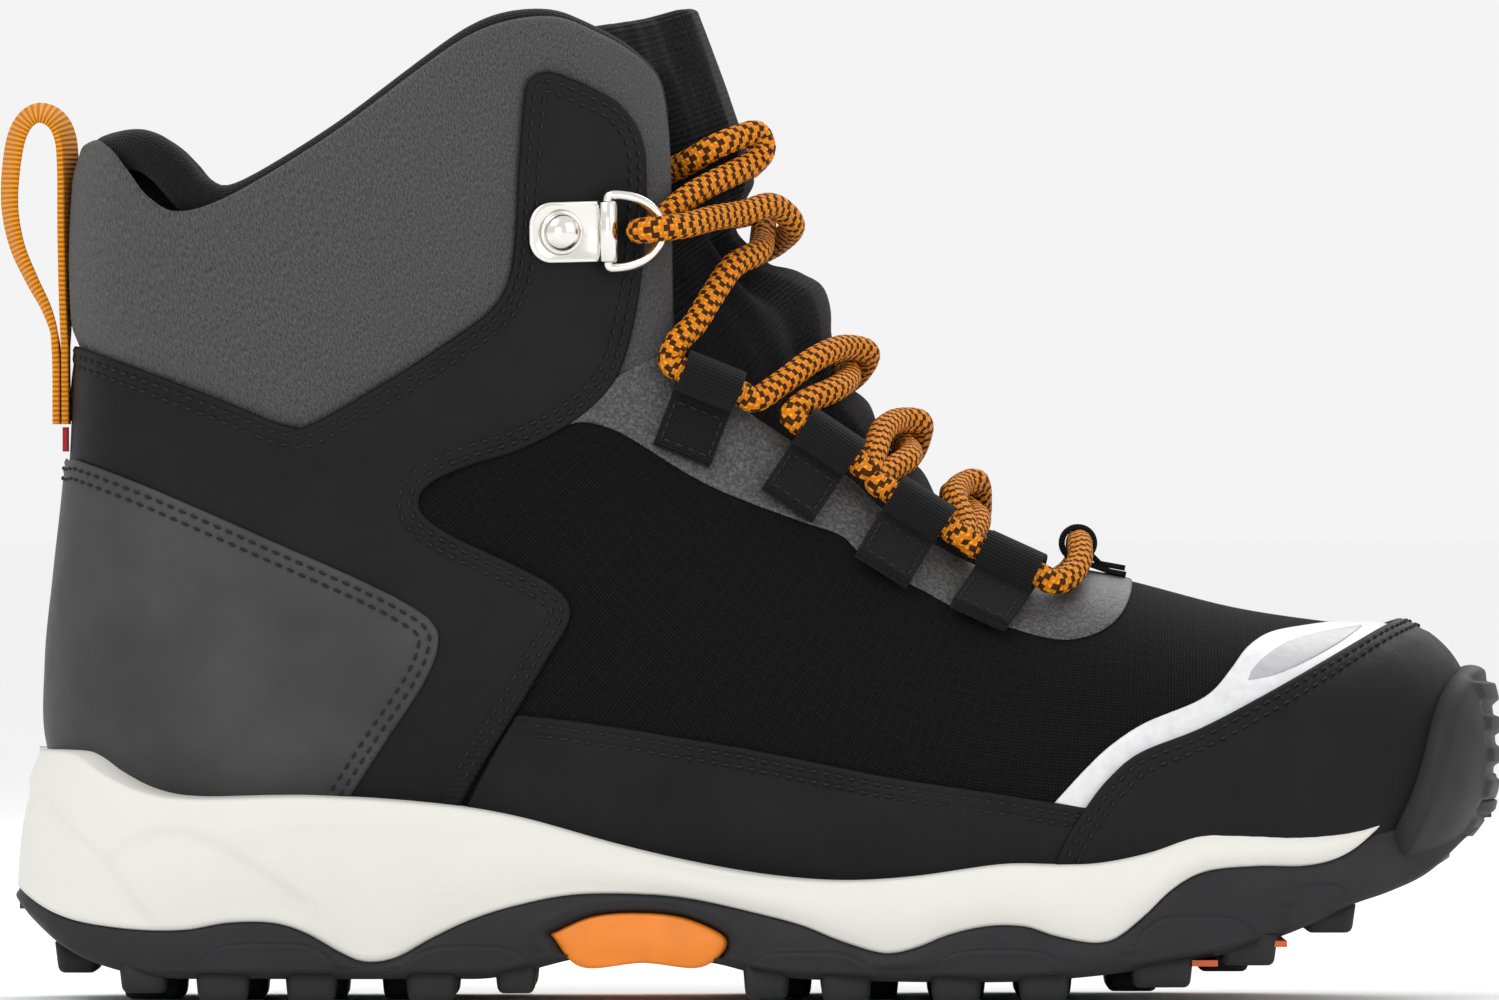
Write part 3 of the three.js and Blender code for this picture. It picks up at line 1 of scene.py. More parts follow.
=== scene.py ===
"""The looks of a laced right hiking boot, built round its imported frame.

Everything is worked out on one foot-shaped form: a fan of sections from the toe to the top of the shaft.
A place on the form is (u, v): u counts sections, and v is the share of the way round a section, 0 on the
ridge (shin, instep, toe), 1 on the keel (sole, heel) and 2 on the ridge again, the inner side first.
Pattern sizes are millimetres with +X to the toe and the middle line straight; to_row() leans and places them.
"""

import math
import os

import bpy
import numpy as np
from bpy.props import FloatProperty, FloatVectorProperty, PointerProperty
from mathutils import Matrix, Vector, geometry


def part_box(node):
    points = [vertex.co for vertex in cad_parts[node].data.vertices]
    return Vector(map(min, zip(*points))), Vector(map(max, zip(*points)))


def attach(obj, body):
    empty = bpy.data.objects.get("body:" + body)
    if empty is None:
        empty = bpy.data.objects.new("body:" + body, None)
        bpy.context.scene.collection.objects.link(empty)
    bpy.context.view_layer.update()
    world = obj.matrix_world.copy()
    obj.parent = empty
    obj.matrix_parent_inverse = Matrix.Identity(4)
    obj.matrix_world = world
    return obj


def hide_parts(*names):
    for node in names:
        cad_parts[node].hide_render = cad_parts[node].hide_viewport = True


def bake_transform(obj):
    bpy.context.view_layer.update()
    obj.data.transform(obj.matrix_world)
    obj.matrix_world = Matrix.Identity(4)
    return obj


bl_info = {
    "name": "Hiking boot",
    "version": (1, 0, 0),
    "blender": (4, 5, 0),
    "location": "3D View > Sidebar > Boot",
    "description": "Builds a laced hiking boot from sewn panels, webbing, lace, foam and rubber",
    "category": "Object",
}

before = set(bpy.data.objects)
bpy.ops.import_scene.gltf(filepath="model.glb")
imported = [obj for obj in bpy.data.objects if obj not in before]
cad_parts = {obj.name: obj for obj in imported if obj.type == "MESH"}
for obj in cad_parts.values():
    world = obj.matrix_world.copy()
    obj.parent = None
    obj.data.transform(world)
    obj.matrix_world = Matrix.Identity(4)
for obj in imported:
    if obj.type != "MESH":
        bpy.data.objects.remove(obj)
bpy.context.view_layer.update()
MM = 0.001
COARSE = 1.0  # panels are cut coarser while trying things out

# ---------------------------------------------------------------- the form
# Front or top point (x, z), bottom or back point (x, z), half width, where it is widest, fullness exponents.
SECTIONS = np.array([
    [285.5, 50.0, 285.5, 50.0, 0.0, 0.6, 2.1, 2.4], [284.2, 59.5, 284.2, 41.5, 13.5, 0.6, 2.1, 2.5],
    [279.5, 67.8, 279.5, 35.0, 25.5, 0.62, 2.1, 2.8], [271.0, 72.8, 271.0, 30.0, 35.0, 0.64, 2.1, 3.2],
    [257.0, 74.2, 257.0, 25.5, 43.0, 0.66, 2.1, 3.6], [239.0, 77.0, 239.0, 22.0, 47.5, 0.68, 2.1, 4.0],
    [219.5, 82.0, 217.0, 18.0, 49.0, 0.68, 2.1, 4.0], [205.0, 85.2, 192.0, 15.5, 47.5, 0.68, 2.1, 4.0],
    [190.5, 92.0, 165.0, 15.5, 44.5, 0.66, 2.1, 4.0], [176.5, 105.5, 137.0, 19.0, 41.5, 0.63, 2.1, 4.0],
    [166.5, 117.5, 108.0, 22.5, 39.0, 0.6, 2.1, 3.8], [160.0, 128.0, 75.0, 26.0, 37.0, 0.57, 2.1, 3.4],
    [156.0, 138.5, 42.0, 29.0, 35.0, 0.54, 2.1, 3.0], [150.5, 147.5, 17.0, 35.0, 34.0, 0.5, 2.1, 2.8],
    [145.5, 155.0, 8.0, 49.0, 33.5, 0.47, 2.2, 2.6], [142.5, 162.0, 7.3, 66.0, 33.5, 0.46, 2.2, 2.6],
    [140.0, 169.0, 9.0, 84.0, 34.0, 0.45, 2.2, 2.6], [137.7, 176.0, 11.0, 103.0, 35.0, 0.45, 2.2, 2.6],
    [135.5, 182.5, 11.8, 122.0, 36.0, 0.45, 2.2, 2.6], [133.3, 189.0, 11.8, 142.0, 37.0, 0.45, 2.2, 2.6],
    [131.2, 195.0, 13.0, 163.0, 38.0, 0.45, 2.2, 2.6], [129.5, 201.0, 15.0, 182.0, 38.5, 0.45, 2.2, 2.6],
])
TOP = len(SECTIONS) - 1
BOOT_LENGTH = 290.0
TOE_SWING = 6.0


def swing(x):
    """How far the middle line leans to the inner side at x: the square of the way past the heel third."""
    return TOE_SWING * np.maximum(0.0, (x - 0.3 * BOOT_LENGTH) / (0.7 * BOOT_LENGTH)) ** 2


OUTSOLE_BACK = 0.6  # the pattern's x at the outsole's rear end
_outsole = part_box("outsole")
_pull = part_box("heel_pull")
SHIFT = np.array([_outsole[0][0] / MM - OUTSOLE_BACK, (_pull[0][1] + _pull[1][1]) / 2 / MM, 0.0])


def to_row(points, straight=True):
    """Pattern millimetres to the row frame in metres: lean the middle line, then shift to the origin."""
    placed = np.array(points, dtype=float)
    if straight:
        placed[..., 1] += swing(placed[..., 0])
    return (placed + SHIFT) * MM


def spline_rows(rows, u):
    """Rows read as a Catmull-Rom spline at real row numbers u."""
    last = len(rows) - 1
    u = np.clip(u, 0, last)
    i = np.clip(np.floor(u).astype(int), 0, last - 1)
    f = (u - i)[..., None]
    b = rows[i]
    c = rows[i + 1]
    a = np.where((i > 0)[..., None], rows[np.maximum(i - 1, 0)], 2 * b - c)
    d = np.where((i + 2 <= last)[..., None], rows[np.minimum(i + 2, last)], 2 * c - b)
    return 0.5 * (2 * b + (c - a) * f + (2 * a - 5 * b + 4 * c - d) * f**2 + (3 * b - a - 3 * c + d) * f**3)


def smooth_line(points, per=10):
    """A line through given points, rounded as a Catmull-Rom spline with so many steps a span."""
    points = np.array(points, dtype=float)
    return spline_rows(points, np.linspace(0, len(points) - 1, per * (len(points) - 1) + 1))


def measured(line):
    """Distance along a line at each of its points."""
    steps = np.linalg.norm(np.diff(line, axis=0), axis=-1)
    return np.concatenate([[0.0], np.cumsum(steps)])


def respaced(line, spacing, count=None):
    """A line's own points again at even distances."""
    run = measured(line)
    count = count or max(2, int(round(run[-1] / spacing)) + 1)
    at = np.linspace(0, run[-1], count)
    return np.stack([np.interp(at, run, column) for column in np.asarray(line).T], axis=-1)


U_STEP = 1 / 16
HALF = 128  # steps of v from ridge to keel


def _tables():
    """The form's points, outward normals, half girths and depth shares on a fine (u, v) lattice.

    Each half section is a superellipse whose two quarters have their own fullness; its points are spread
    evenly by length. Normals are the cross product of the two directions of the lattice.
    """
    u = np.arange(0.02, TOP + 1e-6, U_STEP)
    fx, fz, bx, bz, w, widest, full_front, full_back = spline_rows(SECTIONS, u).T[:, :, None]
    quarter = np.linspace(0, math.pi / 2, 61)
    angle = np.concatenate([quarter, quarter[-2::-1]])[None, :]
    front = (np.arange(angle.size) <= 60)[None, :]
    power = 2 / np.where(front, full_front, full_back)
    across = w * np.abs(np.sin(angle)) ** power
    along = np.abs(np.cos(angle)) ** power
    depth = np.where(front, widest * (1 - along), 1 - (1 - widest) * (1 - along))
    dense = np.stack([fx + (bx - fx) * depth, across, fz + (bz - fz) * depth], axis=-1)
    run = np.concatenate(
        [np.zeros((len(u), 1)), np.cumsum(np.linalg.norm(np.diff(dense, axis=1), axis=-1), axis=1)], axis=1)
    share = np.linspace(0, 1, HALF + 1)
    half = np.stack([[np.interp(share * r[-1], r, d[:, k]) for r, d in zip(run, dense)] for k in range(3)],
                    -1)
    depth = np.broadcast_to(depth, run.shape)
    depths = np.stack([np.interp(share * r[-1], r, d) for r, d in zip(run, depth)])
    other = half[:, -2::-1] * [1, -1, 1]
    points = np.concatenate([half, other], axis=1)
    ring = points[:, :-1]
    down = np.roll(ring, -1, axis=1) - np.roll(ring, 1, axis=1)
    back = np.gradient(ring, axis=0)
    normal = np.cross(down, back)
    middle = ring.mean(axis=1, keepdims=True)
    flip = np.sign(np.sum(normal * (ring - middle), axis=-1).sum())
    normal *= flip / np.maximum(np.linalg.norm(normal, axis=-1, keepdims=True), 1e-9)
    normal = np.concatenate([normal, normal[:, :1]], axis=1)
    return u, points, normal, run[:, -1], depths


U_ROWS, POINTS, NORMALS, GIRTHS, DEPTHS = _tables()
BACK_RUN = np.interp(np.arange(TOP + 1), U_ROWS, measured(POINTS[:, 60]))


def sampled(table, u, v):
    """A lattice table read between its points."""
    fu = np.clip((u - U_ROWS[0]) / U_STEP, 0, len(U_ROWS) - 1.001)
    fv = np.mod(v, 2.0) * HALF
    i = fu.astype(int)
    j = np.minimum(fv.astype(int), 2 * HALF - 1)
    a = (fu - i)[..., None]
    b = (fv - j)[..., None]
    low = table[i, j] * (1 - b) + table[i, j + 1] * b
    high = table[i + 1, j] * (1 - b) + table[i + 1, j + 1] * b
    return low * (1 - a) + high * a


def normal_at(u, v):
    """The form's outward unit normal at (u, v)."""
    n = sampled(NORMALS, u, v)
    return n / np.maximum(np.linalg.norm(n, axis=-1, keepdims=True), 1e-9)


def on_form(u, v, offset=0.0):
    """The form's point at (u, v), moved outwards by an offset."""
    return sampled(POINTS, u, v) + normal_at(u, v) * np.asarray(offset)[..., None]


def side_uv(x, z):
    """(u, v) of the inner side's point seen at (x, z) from the side.

    The section through the point is found by halving; how deep the point lies in it gives v.
    """
    x = np.asarray(x, dtype=float)
    z = np.asarray(z, dtype=float)

    def beside(u):
        fx, fz, bx, bz = np.moveaxis(spline_rows(SECTIONS[:, :4], u), -1, 0)
        return (bx - fx) * (z - fz) - (bz - fz) * (x - fx)

    low = np.full(x.shape, 0.3)
    high = np.full(x.shape, float(TOP))
    sign = np.sign(beside(low))
    for _ in range(30):
        mid = (low + high) / 2
        same = np.sign(beside(mid)) == sign
        low = np.where(same, mid, low)
        high = np.where(same, high, mid)
    fx, fz, bx, bz = np.moveaxis(spline_rows(SECTIONS[:, :4], low), -1, 0)
    deep = ((x - fx) * (bx - fx) + (z - fz) * (bz - fz)) / ((bx - fx) ** 2 + (bz - fz) ** 2)
    rows = DEPTHS[np.clip(((low - U_ROWS[0]) / U_STEP).round().astype(int), 0, len(U_ROWS) - 1)]
    j = np.clip((rows < deep[..., None]).sum(-1), 1, HALF)
    before = np.take_along_axis(rows, (j - 1)[..., None], -1)[..., 0]
    after = np.take_along_axis(rows, j[..., None], -1)[..., 0]
    part = np.clip((deep - before) / np.maximum(after - before, 1e-9), 0, 1)
    return np.stack([low, np.clip((j - 1 + part) / HALF, 0, 1)], axis=-1)


def traced(points, per=10):
    """A side outline through given (x, z) points, laid on the form's inner side as (u, v)."""
    line = smooth_line(points, per)
    return side_uv(line[:, 0], line[:, 1])


def over_ridge(line):
    """The outer side's copy of a line, for a panel that runs over the ridge."""
    return line * [1, -1]


def round_keel(line):
    """The outer side's copy of a line, for a panel that runs round the heel."""
    return np.stack([line[:, 0], 2 - line[:, 1]], axis=-1)


# ---------------------------------------------------------------- meshes
def build(name, points, faces, finish, uv=None, body="root", straight=True, smooth=True):
    """A mesh object from pattern points and faces, placed in the row frame and riding on a body."""
    mesh = bpy.data.meshes.new(name)
    faces = faces if isinstance(faces, list) else faces.tolist()
    mesh.from_pydata(to_row(points, straight).tolist(), [], faces)
    if uv is not None:
        corners = np.empty(len(mesh.loops), dtype=np.int32)
        mesh.loops.foreach_get("vertex_index", corners)
        layer = mesh.uv_layers.new(name="UVMap")
        layer.data.foreach_set("uv", np.asarray(uv, dtype=np.float32)[corners].ravel())
    mesh.polygons.foreach_set("use_smooth", np.full(len(mesh.polygons), smooth))
    mesh.materials.append(finish)
    obj = bpy.data.objects.new(name, mesh)
    bpy.context.scene.collection.objects.link(obj)
    if body:
        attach(obj, body)
    return obj


def grid_faces(rows, columns, wrap=False):
    """Quads of a lattice of points stored row by row; wrap joins the last column to the first."""
    i = np.arange(rows - 1)[:, None]
    j = np.arange(columns if wrap else columns - 1)[None, :]
    k = (j + 1) % columns
    quads = np.stack(np.broadcast_arrays(i * columns + j, i * columns + k, (i + 1) * columns + k,
                                         (i + 1) * columns + j), axis=-1)
    return quads.reshape(-1, 4)


def thicken(obj, thickness):
    """Gives a sheet its wall, inwards from its outer face."""
    wall = obj.modifiers.new("wall", "SOLIDIFY")
    wall.thickness = thickness * MM
    wall.offset = -1
    wall.use_even_offset = False
    return obj


def inside(points, loop):
    """Which points lie inside a closed loop, by counting the loop's sides that cross to their right."""
    x, y = points[:, 0:1], points[:, 1:2]
    x0, y0 = loop[:, 0], loop[:, 1]
    x1, y1 = np.roll(x0, -1), np.roll(y0, -1)
    crosses = (y0 > y) != (y1 > y)
    rise = np.where(y1 == y0, 1e-12, y1 - y0)
    return (crosses & (x < x0 + (y - y0) * (x1 - x0) / rise)).sum(axis=1) % 2 == 1


def distance_to(points, line):
    """Each point's distance to the nearest side of a line, in space."""
    a = line[:-1]
    d = line[1:] - a
    out = []
    for part in np.array_split(points, max(1, len(points) * len(a) // 400000)):
        gap = part[:, None, :] - a[None]
        share = np.clip((gap * d).sum(-1) / np.maximum((d * d).sum(-1), 1e-12), 0, 1)
        out.append(np.linalg.norm(gap - share[..., None] * d, axis=-1).min(axis=1))
    return np.concatenate(out)


def inset(line, distance, turn, closed=False):
    """A line moved sideways over the form by a distance: turn 1 is to its left as seen in (u, v)."""
    u, v = line[:, 0], line[:, 1]
    p = on_form(u, v)
    if closed:
        t = np.roll(p, -1, axis=0) - np.roll(p, 1, axis=0)
    else:
        t = np.gradient(p, axis=0)
    small = 0.03
    along_u = (on_form(np.minimum(u + small, TOP), v) - on_form(np.maximum(u - small, 0), v)) / (2 * small)
    along_v = (on_form(u, v + small) - on_form(u, v - small)) / (2 * small)
    n = np.cross(along_u, along_v)
    side = np.cross(n, t)
    side *= turn * distance / np.maximum(np.linalg.norm(side, axis=-1, keepdims=True), 1e-9)
    uu = (along_u * along_u).sum(-1)
    vv = (along_v * along_v).sum(-1)
    uv = (along_u * along_v).sum(-1)
    su = (side * along_u).sum(-1)
    sv = (side * along_v).sum(-1)
    det = np.maximum(uu * vv - uv * uv, 1e-9)
    return np.stack([u + (su * vv - sv * uv) / det, v + (sv * uu - su * uv) / det], axis=-1)


def cloth_uv(u, v):
    """Millimetres along the boot and round it, so that a weave keeps its size on the form."""
    v = np.where(v > 1, 2 - v, v)
    return np.stack([np.interp(u, np.arange(TOP + 1), BACK_RUN), v * np.interp(u, U_ROWS, GIRTHS)], axis=-1)


EDGE_ROWS = (0.25, 0.7)
SEWN_ROWS = (1.3, 1.8, 2.3, 3.3, 3.8, 4.3)


def panel(name, loop, finish, offset, thickness, spacing=1.7, rows=EDGE_ROWS, relief=None):
    """A panel cut from cloth or leather and laid on the form.

    The loop is its edge in (u, v). Rows of points follow the edge inside, a lattice fills the rest, and
    the points are joined as triangles. A point stands off the form by offset + thickness, less a roll at
    the edge, plus relief(u, v, points, distance from the edge).
    """
    spacing *= COARSE
    around = np.concatenate([loop, loop[:1]])
    solid = on_form(around[:, 0], around[:, 1])
    run = measured(solid)
    at = np.linspace(0, run[-1], int(run[-1] / (0.75 * spacing)))[:-1]
    edge = np.stack([np.interp(at, run, around[:, k]) for k in (0, 1)], axis=-1)
    ring = on_form(*np.concatenate([edge, edge[:1]]).T)
    x, y = edge.T
    turn = 1 if (x * np.roll(y, -1) - np.roll(x, -1) * y).sum() > 0 else -1
    kept = [edge]
    reach = [np.zeros(len(edge))]
    for distance in rows:
        moved = inset(edge, distance, turn, closed=True)
        near = distance_to(on_form(*moved.T), ring)
        good = inside(moved, edge) & (near > 0.85 * distance)
        kept.append(moved[good])
        reach.append(near[good])
    low, high = edge.min(axis=0), edge.max(axis=0)
    mid = (low + high) / 2
    step_u = np.linalg.norm(on_form(mid[0:1] + 0.5, mid[1:2]) - on_form(mid[0:1] - 0.5, mid[1:2]))
    step_v = np.interp(mid[0], U_ROWS, GIRTHS)
    du, dv = spacing / step_u, spacing / step_v
    lattice = np.stack(np.meshgrid(np.arange(low[0], high[0], du), np.arange(low[1], high[1], dv),
                                   indexing="ij"), -1)
    lattice[1::2, :, 1] += dv / 2
    lattice = lattice.reshape(-1, 2)
    lattice = lattice[inside(lattice, edge)]
    near = distance_to(on_form(*lattice.T), ring)
    far = near > rows[-1] + 0.6 * spacing
    kept.append(lattice[far])
    reach.append(near[far])
    flat = np.concatenate(kept)
    reach = np.concatenate(reach)
    scale = np.array([step_u, step_v])
    sides = [(i, (i + 1) % len(edge)) for i in range(len(edge))]
    flat_points = [Vector(p) for p in (flat * scale).tolist()]
    cut = geometry.delaunay_2d_cdt(flat_points, sides, [], 1, 1e-6, True)
    source = np.array([ids[0] if ids else 0 for ids in cut[3]])
    uv = np.array([tuple(p) for p in cut[0]]) / scale
    reach = reach[source]
    faces = np.array([f for f in cut[2] if len(f) == 3])
    faces = faces[inside(uv[faces].mean(axis=1), edge)]
    u, v = uv.T
    roll = 0.45 * thickness * np.clip(1 - reach / 0.7, 0, 1) ** 2
    height = offset + thickness - roll
    if relief is not None:
        height = height + relief(u, v, on_form(u, v), reach)
    points = on_form(u, v, height)
    a, b, c = (points[faces[:, k]] for k in range(3))
    outward = (np.cross(b - a, c - a) * normal_at(*uv[faces[:, 0]].T)).sum()
    if outward < 0:
        faces = faces[:, ::-1]
    obj = build(name, points, faces, finish, uv=cloth_uv(u, v))
    return thicken(obj, thickness)


STITCH_PITCH = 2.5
STITCH_LENGTH = 1.75
STITCH_RADIUS = 0.27


def stitch_points(centres, along, out):
    """Every stitch of a seam: a bead drawn out along the seam whose two ends dive into the panel.

    The middle line falls with the fourth power of the way to each end; the thickness is that of an ellipse.
    """
    way = np.linspace(-1, 1, 6)
    turn = np.linspace(0, 2 * math.pi, 6, endpoint=False)
    thick = STITCH_RADIUS * np.sqrt(np.clip(1.06 - way**2, 0.03, 1))
    sink = 0.12 - 0.5 * way**4
    across = np.cross(out, along)
    a = (way * STITCH_LENGTH / 2)[None, :, None, None] * along[:, None, None, :]
    b = (thick[:, None] * np.cos(turn))[None, :, :, None] * across[:, None, None, :]
    c = (thick[:, None] * np.sin(turn) + sink[:, None])[None, :, :, None] * out[:, None, None, :]
    return (centres[:, None, None, :] + a + b + c).reshape(len(centres), -1, 3)


def bead_faces(count):
    """Faces of so many six-by-six beads, their ends closed."""
    one = grid_faces(6, 6, wrap=True).tolist() + [list(range(6))[::-1], list(range(30, 36))]
    return [[k + 36 * n for k in f] for n in range(count) for f in one]


def stitches(name, seams, finish, offset):
    """Rows of stitches along seams given as lines in (u, v), standing on a panel's face."""
    centres, along, out = [], [], []
    for line in seams:
        p = on_form(line[:, 0], line[:, 1])
        run = measured(p)
        at = np.arange(STITCH_PITCH / 2, run[-1], STITCH_PITCH)
        u, v = (np.interp(at, run, line[:, k]) for k in (0, 1))
        ahead = np.interp(at + 0.3, run, line[:, 0]), np.interp(at + 0.3, run, line[:, 1])
        n = normal_at(u, v)
        here = on_form(u, v, offset)
        t = on_form(*ahead, offset) - here
        t -= n * (t * n).sum(-1, keepdims=True)
        centres.append(here)
        along.append(t / np.maximum(np.linalg.norm(t, axis=-1, keepdims=True), 1e-9))
        out.append(n)
    centres = np.concatenate(centres)
    points = stitch_points(centres, np.concatenate(along), np.concatenate(out))
    return build(name, points.reshape(-1, 3), bead_faces(len(centres)), finish)


def frames_along(path, first):
    """Square frames carried along a path without twist, from a first sideways direction."""
    tangents = np.gradient(path, axis=0)
    tangents /= np.maximum(np.linalg.norm(tangents, axis=-1, keepdims=True), 1e-9)
    sides = np.empty_like(path)
    side = np.array(first, dtype=float)
    for i, t in enumerate(tangents):
        side = side - t * side.dot(t)
        side = side / np.linalg.norm(side)
        sides[i] = side
    return tangents, sides, np.cross(tangents, sides)


def carried(path, profile, first, turn=0.0):
    """A profile of (side, up) points carried along a path; turn is its twist in radians at each step."""
    _, sides, ups = frames_along(path, first)
    turn = np.broadcast_to(np.asarray(turn, dtype=float), len(path))[:, None]
    right = sides * np.cos(turn) + ups * np.sin(turn)
    over = -sides * np.sin(turn) + ups * np.cos(turn)
    profile = np.asarray(profile)
    if profile.ndim == 2:
        profile = np.broadcast_to(profile, (len(path), *profile.shape))
    return (path[:, None, :] + profile[..., 0:1] * right[:, None, :] + profile[..., 1:2] * over[:, None, :])


def tube_faces(rows, columns):
    """A tube's quads and its two flat ends."""
    faces = grid_faces(rows, columns, wrap=True).tolist()
    last = (rows - 1) * columns
    return faces + [list(range(columns))[::-1], list(range(last, last + columns))]


def circle(radius, sides):
    """Points round a circle."""
    turn = np.linspace(0, 2 * math.pi, sides, endpoint=False)
    return np.stack([radius * np.cos(turn), radius * np.sin(turn)], axis=-1)


def turned(name, profile, finish, place, sides=48):
    """A profile of (radius, height) spun round its axis and placed by a function of its points."""
    profile = np.asarray(profile, dtype=float)
    turn = np.linspace(0, 2 * math.pi, sides, endpoint=False)
    points = np.stack([profile[:, 0:1] * np.cos(turn), profile[:, 0:1] * np.sin(turn),
                       np.broadcast_to(profile[:, 1:2], (len(profile), sides))], axis=-1).reshape(-1, 3)
    faces = tube_faces(len(profile), sides)
    return build(name, place(points), faces, finish, straight=False)


# ---------------------------------------------------------------- finishes
class Finish:
    """A surface finish being made: a Principled shader, and the small sums of patterns that feed it."""

    def __init__(self, name, colour, roughness, metallic=0.0, sheen=0.0, specular=0.5):
        self.material = bpy.data.materials.new(name)
        self.material.use_nodes = True
        self.tree = self.material.node_tree
        self.shader = self.tree.nodes["Principled BSDF"]
        self.set("Base Color", (*colour, 1))
        self.set("Roughness", roughness)
        self.set("Metallic", metallic)
        self.set("Specular IOR Level", specular)
        self.set("Sheen Weight", sheen)
        self.last_bump = None

    def set(self, socket, value):
        if hasattr(value, "is_output"):
            self.tree.links.new(value, self.shader.inputs[socket])
        else:
            self.shader.inputs[socket].default_value = value

    def node(self, kind, inputs=(), **settings):
        made = self.tree.nodes.new(kind)
        for key, value in settings.items():
            setattr(made, key, value)
        for key, value in dict(inputs).items():
            if hasattr(value, "is_output"):
                self.tree.links.new(value, made.inputs[key])
            elif value is not None:
                made.inputs[key].default_value = value
        return made

    def place(self, source="UV", scale=(1, 1, 1)):
        """The piece's own UV, in millimetres, or its object coordinates, in metres, scaled."""
        where = self.node("ShaderNodeTexCoord").outputs[source]
        return self.node("ShaderNodeMapping", {"Vector": where, "Scale": scale}).outputs["Vector"]

    def split(self, vector):
        parts = self.node("ShaderNodeSeparateXYZ", {"Vector": vector})
        return parts.outputs[0], parts.outputs[1]

    def join(self, x, y):
        return self.node("ShaderNodeCombineXYZ", {0: x, 1: y}).outputs[0]

    def sum(self, operation, a, b=None, c=None, clamp=False):
        made = self.node("ShaderNodeMath", {0: a, 1: b, 2: c}, operation=operation, use_clamp=clamp)
        return made.outputs[0]

    def noise(self, vector, scale, detail=2.0, rough=0.5):
        settings = {"Vector": vector, "Scale": scale, "Detail": detail, "Roughness": rough}
        return self.node("ShaderNodeTexNoise", settings).outputs["Fac"]

    def cells(self, vector, scale, output="Distance"):
        return self.node("ShaderNodeTexVoronoi", {"Vector": vector, "Scale": scale}).outputs[output]

    def ramp(self, factor, *stops):
        """Colours or greys met at places along the factor."""
        made = self.node("ShaderNodeValToRGB", {"Fac": factor})
        ramp = made.color_ramp
        while len(ramp.elements) < len(stops):
            ramp.elements.new(0.5)
        for element, (at, colour) in zip(ramp.elements, stops):
            element.position = at
            element.color = (*colour, 1) if isinstance(colour, tuple) else (colour, colour, colour, 1)
        return made.outputs["Color"]

    def mix(self, factor, a, b):
        colour = [(*c, 1) if isinstance(c, tuple) else c for c in (a, b)]
        made = self.node("ShaderNodeMix", data_type="RGBA")
        for index, value in ((0, factor), (6, colour[0]), (7, colour[1])):
            if hasattr(value, "is_output"):
                self.tree.links.new(value, made.inputs[index])
            else:
                made.inputs[index].default_value = value
        return made.outputs[2]

    def bump(self, height, distance, strength=1.0):
        """Relief so many metres deep, over what was there before."""
        settings = {"Height": height, "Distance": distance, "Strength": strength, "Normal": self.last_bump}
        self.last_bump = self.node("ShaderNodeBump", settings).outputs[0]
        self.set("Normal", self.last_bump)

    def waves(self, x, pitch, phase=0.0):
        """A sine from 0 to 1 of one coordinate."""
        turned_on = self.sum("MULTIPLY_ADD", x, 2 * math.pi / pitch, phase)
        return self.sum("MULTIPLY_ADD", self.sum("SINE", turned_on), 0.5, 0.5)


def shade(colour, factor):
    """A colour made lighter or darker."""
    return tuple(min(1.0, c * factor) for c in colour)


def leather(name, colour, roughness):
    """Coated leather: fine pebbles, faint cloudy wear in colour and gloss."""
    f = Finish(name, colour, roughness, specular=0.14)
    where = f.place("Object")
    clouds = f.noise(where, 45.0, 3.0)
    f.set("Base Color", f.mix(f.ramp(clouds, (0.35, 0.0), (0.7, 1.0)), shade(colour, 0.86),
                              shade(colour, 1.22)))
    f.set("Roughness", f.sum("MULTIPLY_ADD", f.noise(where, 160.0), 0.22, roughness - 0.11))
    f.bump(f.cells(where, 1500.0), 0.00006, 0.55)
    f.bump(f.noise(where, 700.0, 3.0), 0.00005, 0.5)
    return f.material


def ripstop(name, colour):
    """Plain weave with a raised thread every few ends; its colour follows the threads' height, a painted
    highlight on the crowns and painted shade in the hollows, times a random tone.
    """
    f = Finish(name, colour, 0.85, sheen=0.02, specular=0.1)
    where = f.place()
    wobble = f.noise(where, 0.35, 2.0)
    x, y = f.split(where)
    x = f.sum("MULTIPLY_ADD", wobble, 0.5, x)
    y = f.sum("MULTIPLY_ADD", wobble, 0.5, y)
    weave = f.sum("MULTIPLY", f.waves(x, 0.62), f.waves(y, 0.62))
    cord = f.sum("MAXIMUM", f.sum("POWER", f.waves(x, 2.3), 10.0), f.sum("POWER", f.waves(y, 2.3), 10.0))
    height = f.sum("MULTIPLY_ADD", cord, 0.18, weave)
    # painted highlight and shade: the weave's colour runs from dark in the hollows to light on the threads'
    # crowns, times a random tone
    tone_and_painted_shade = f.sum("MULTIPLY", f.noise(where, 1.3, 3.0), height)
    f.set("Base Color", f.mix(f.ramp(tone_and_painted_shade, (0.05, 0.0), (0.75, 1.0)), shade(colour, 0.35),
                              shade(colour, 2.6)))
    f.bump(height, 0.00022, 0.9)
    return f.material


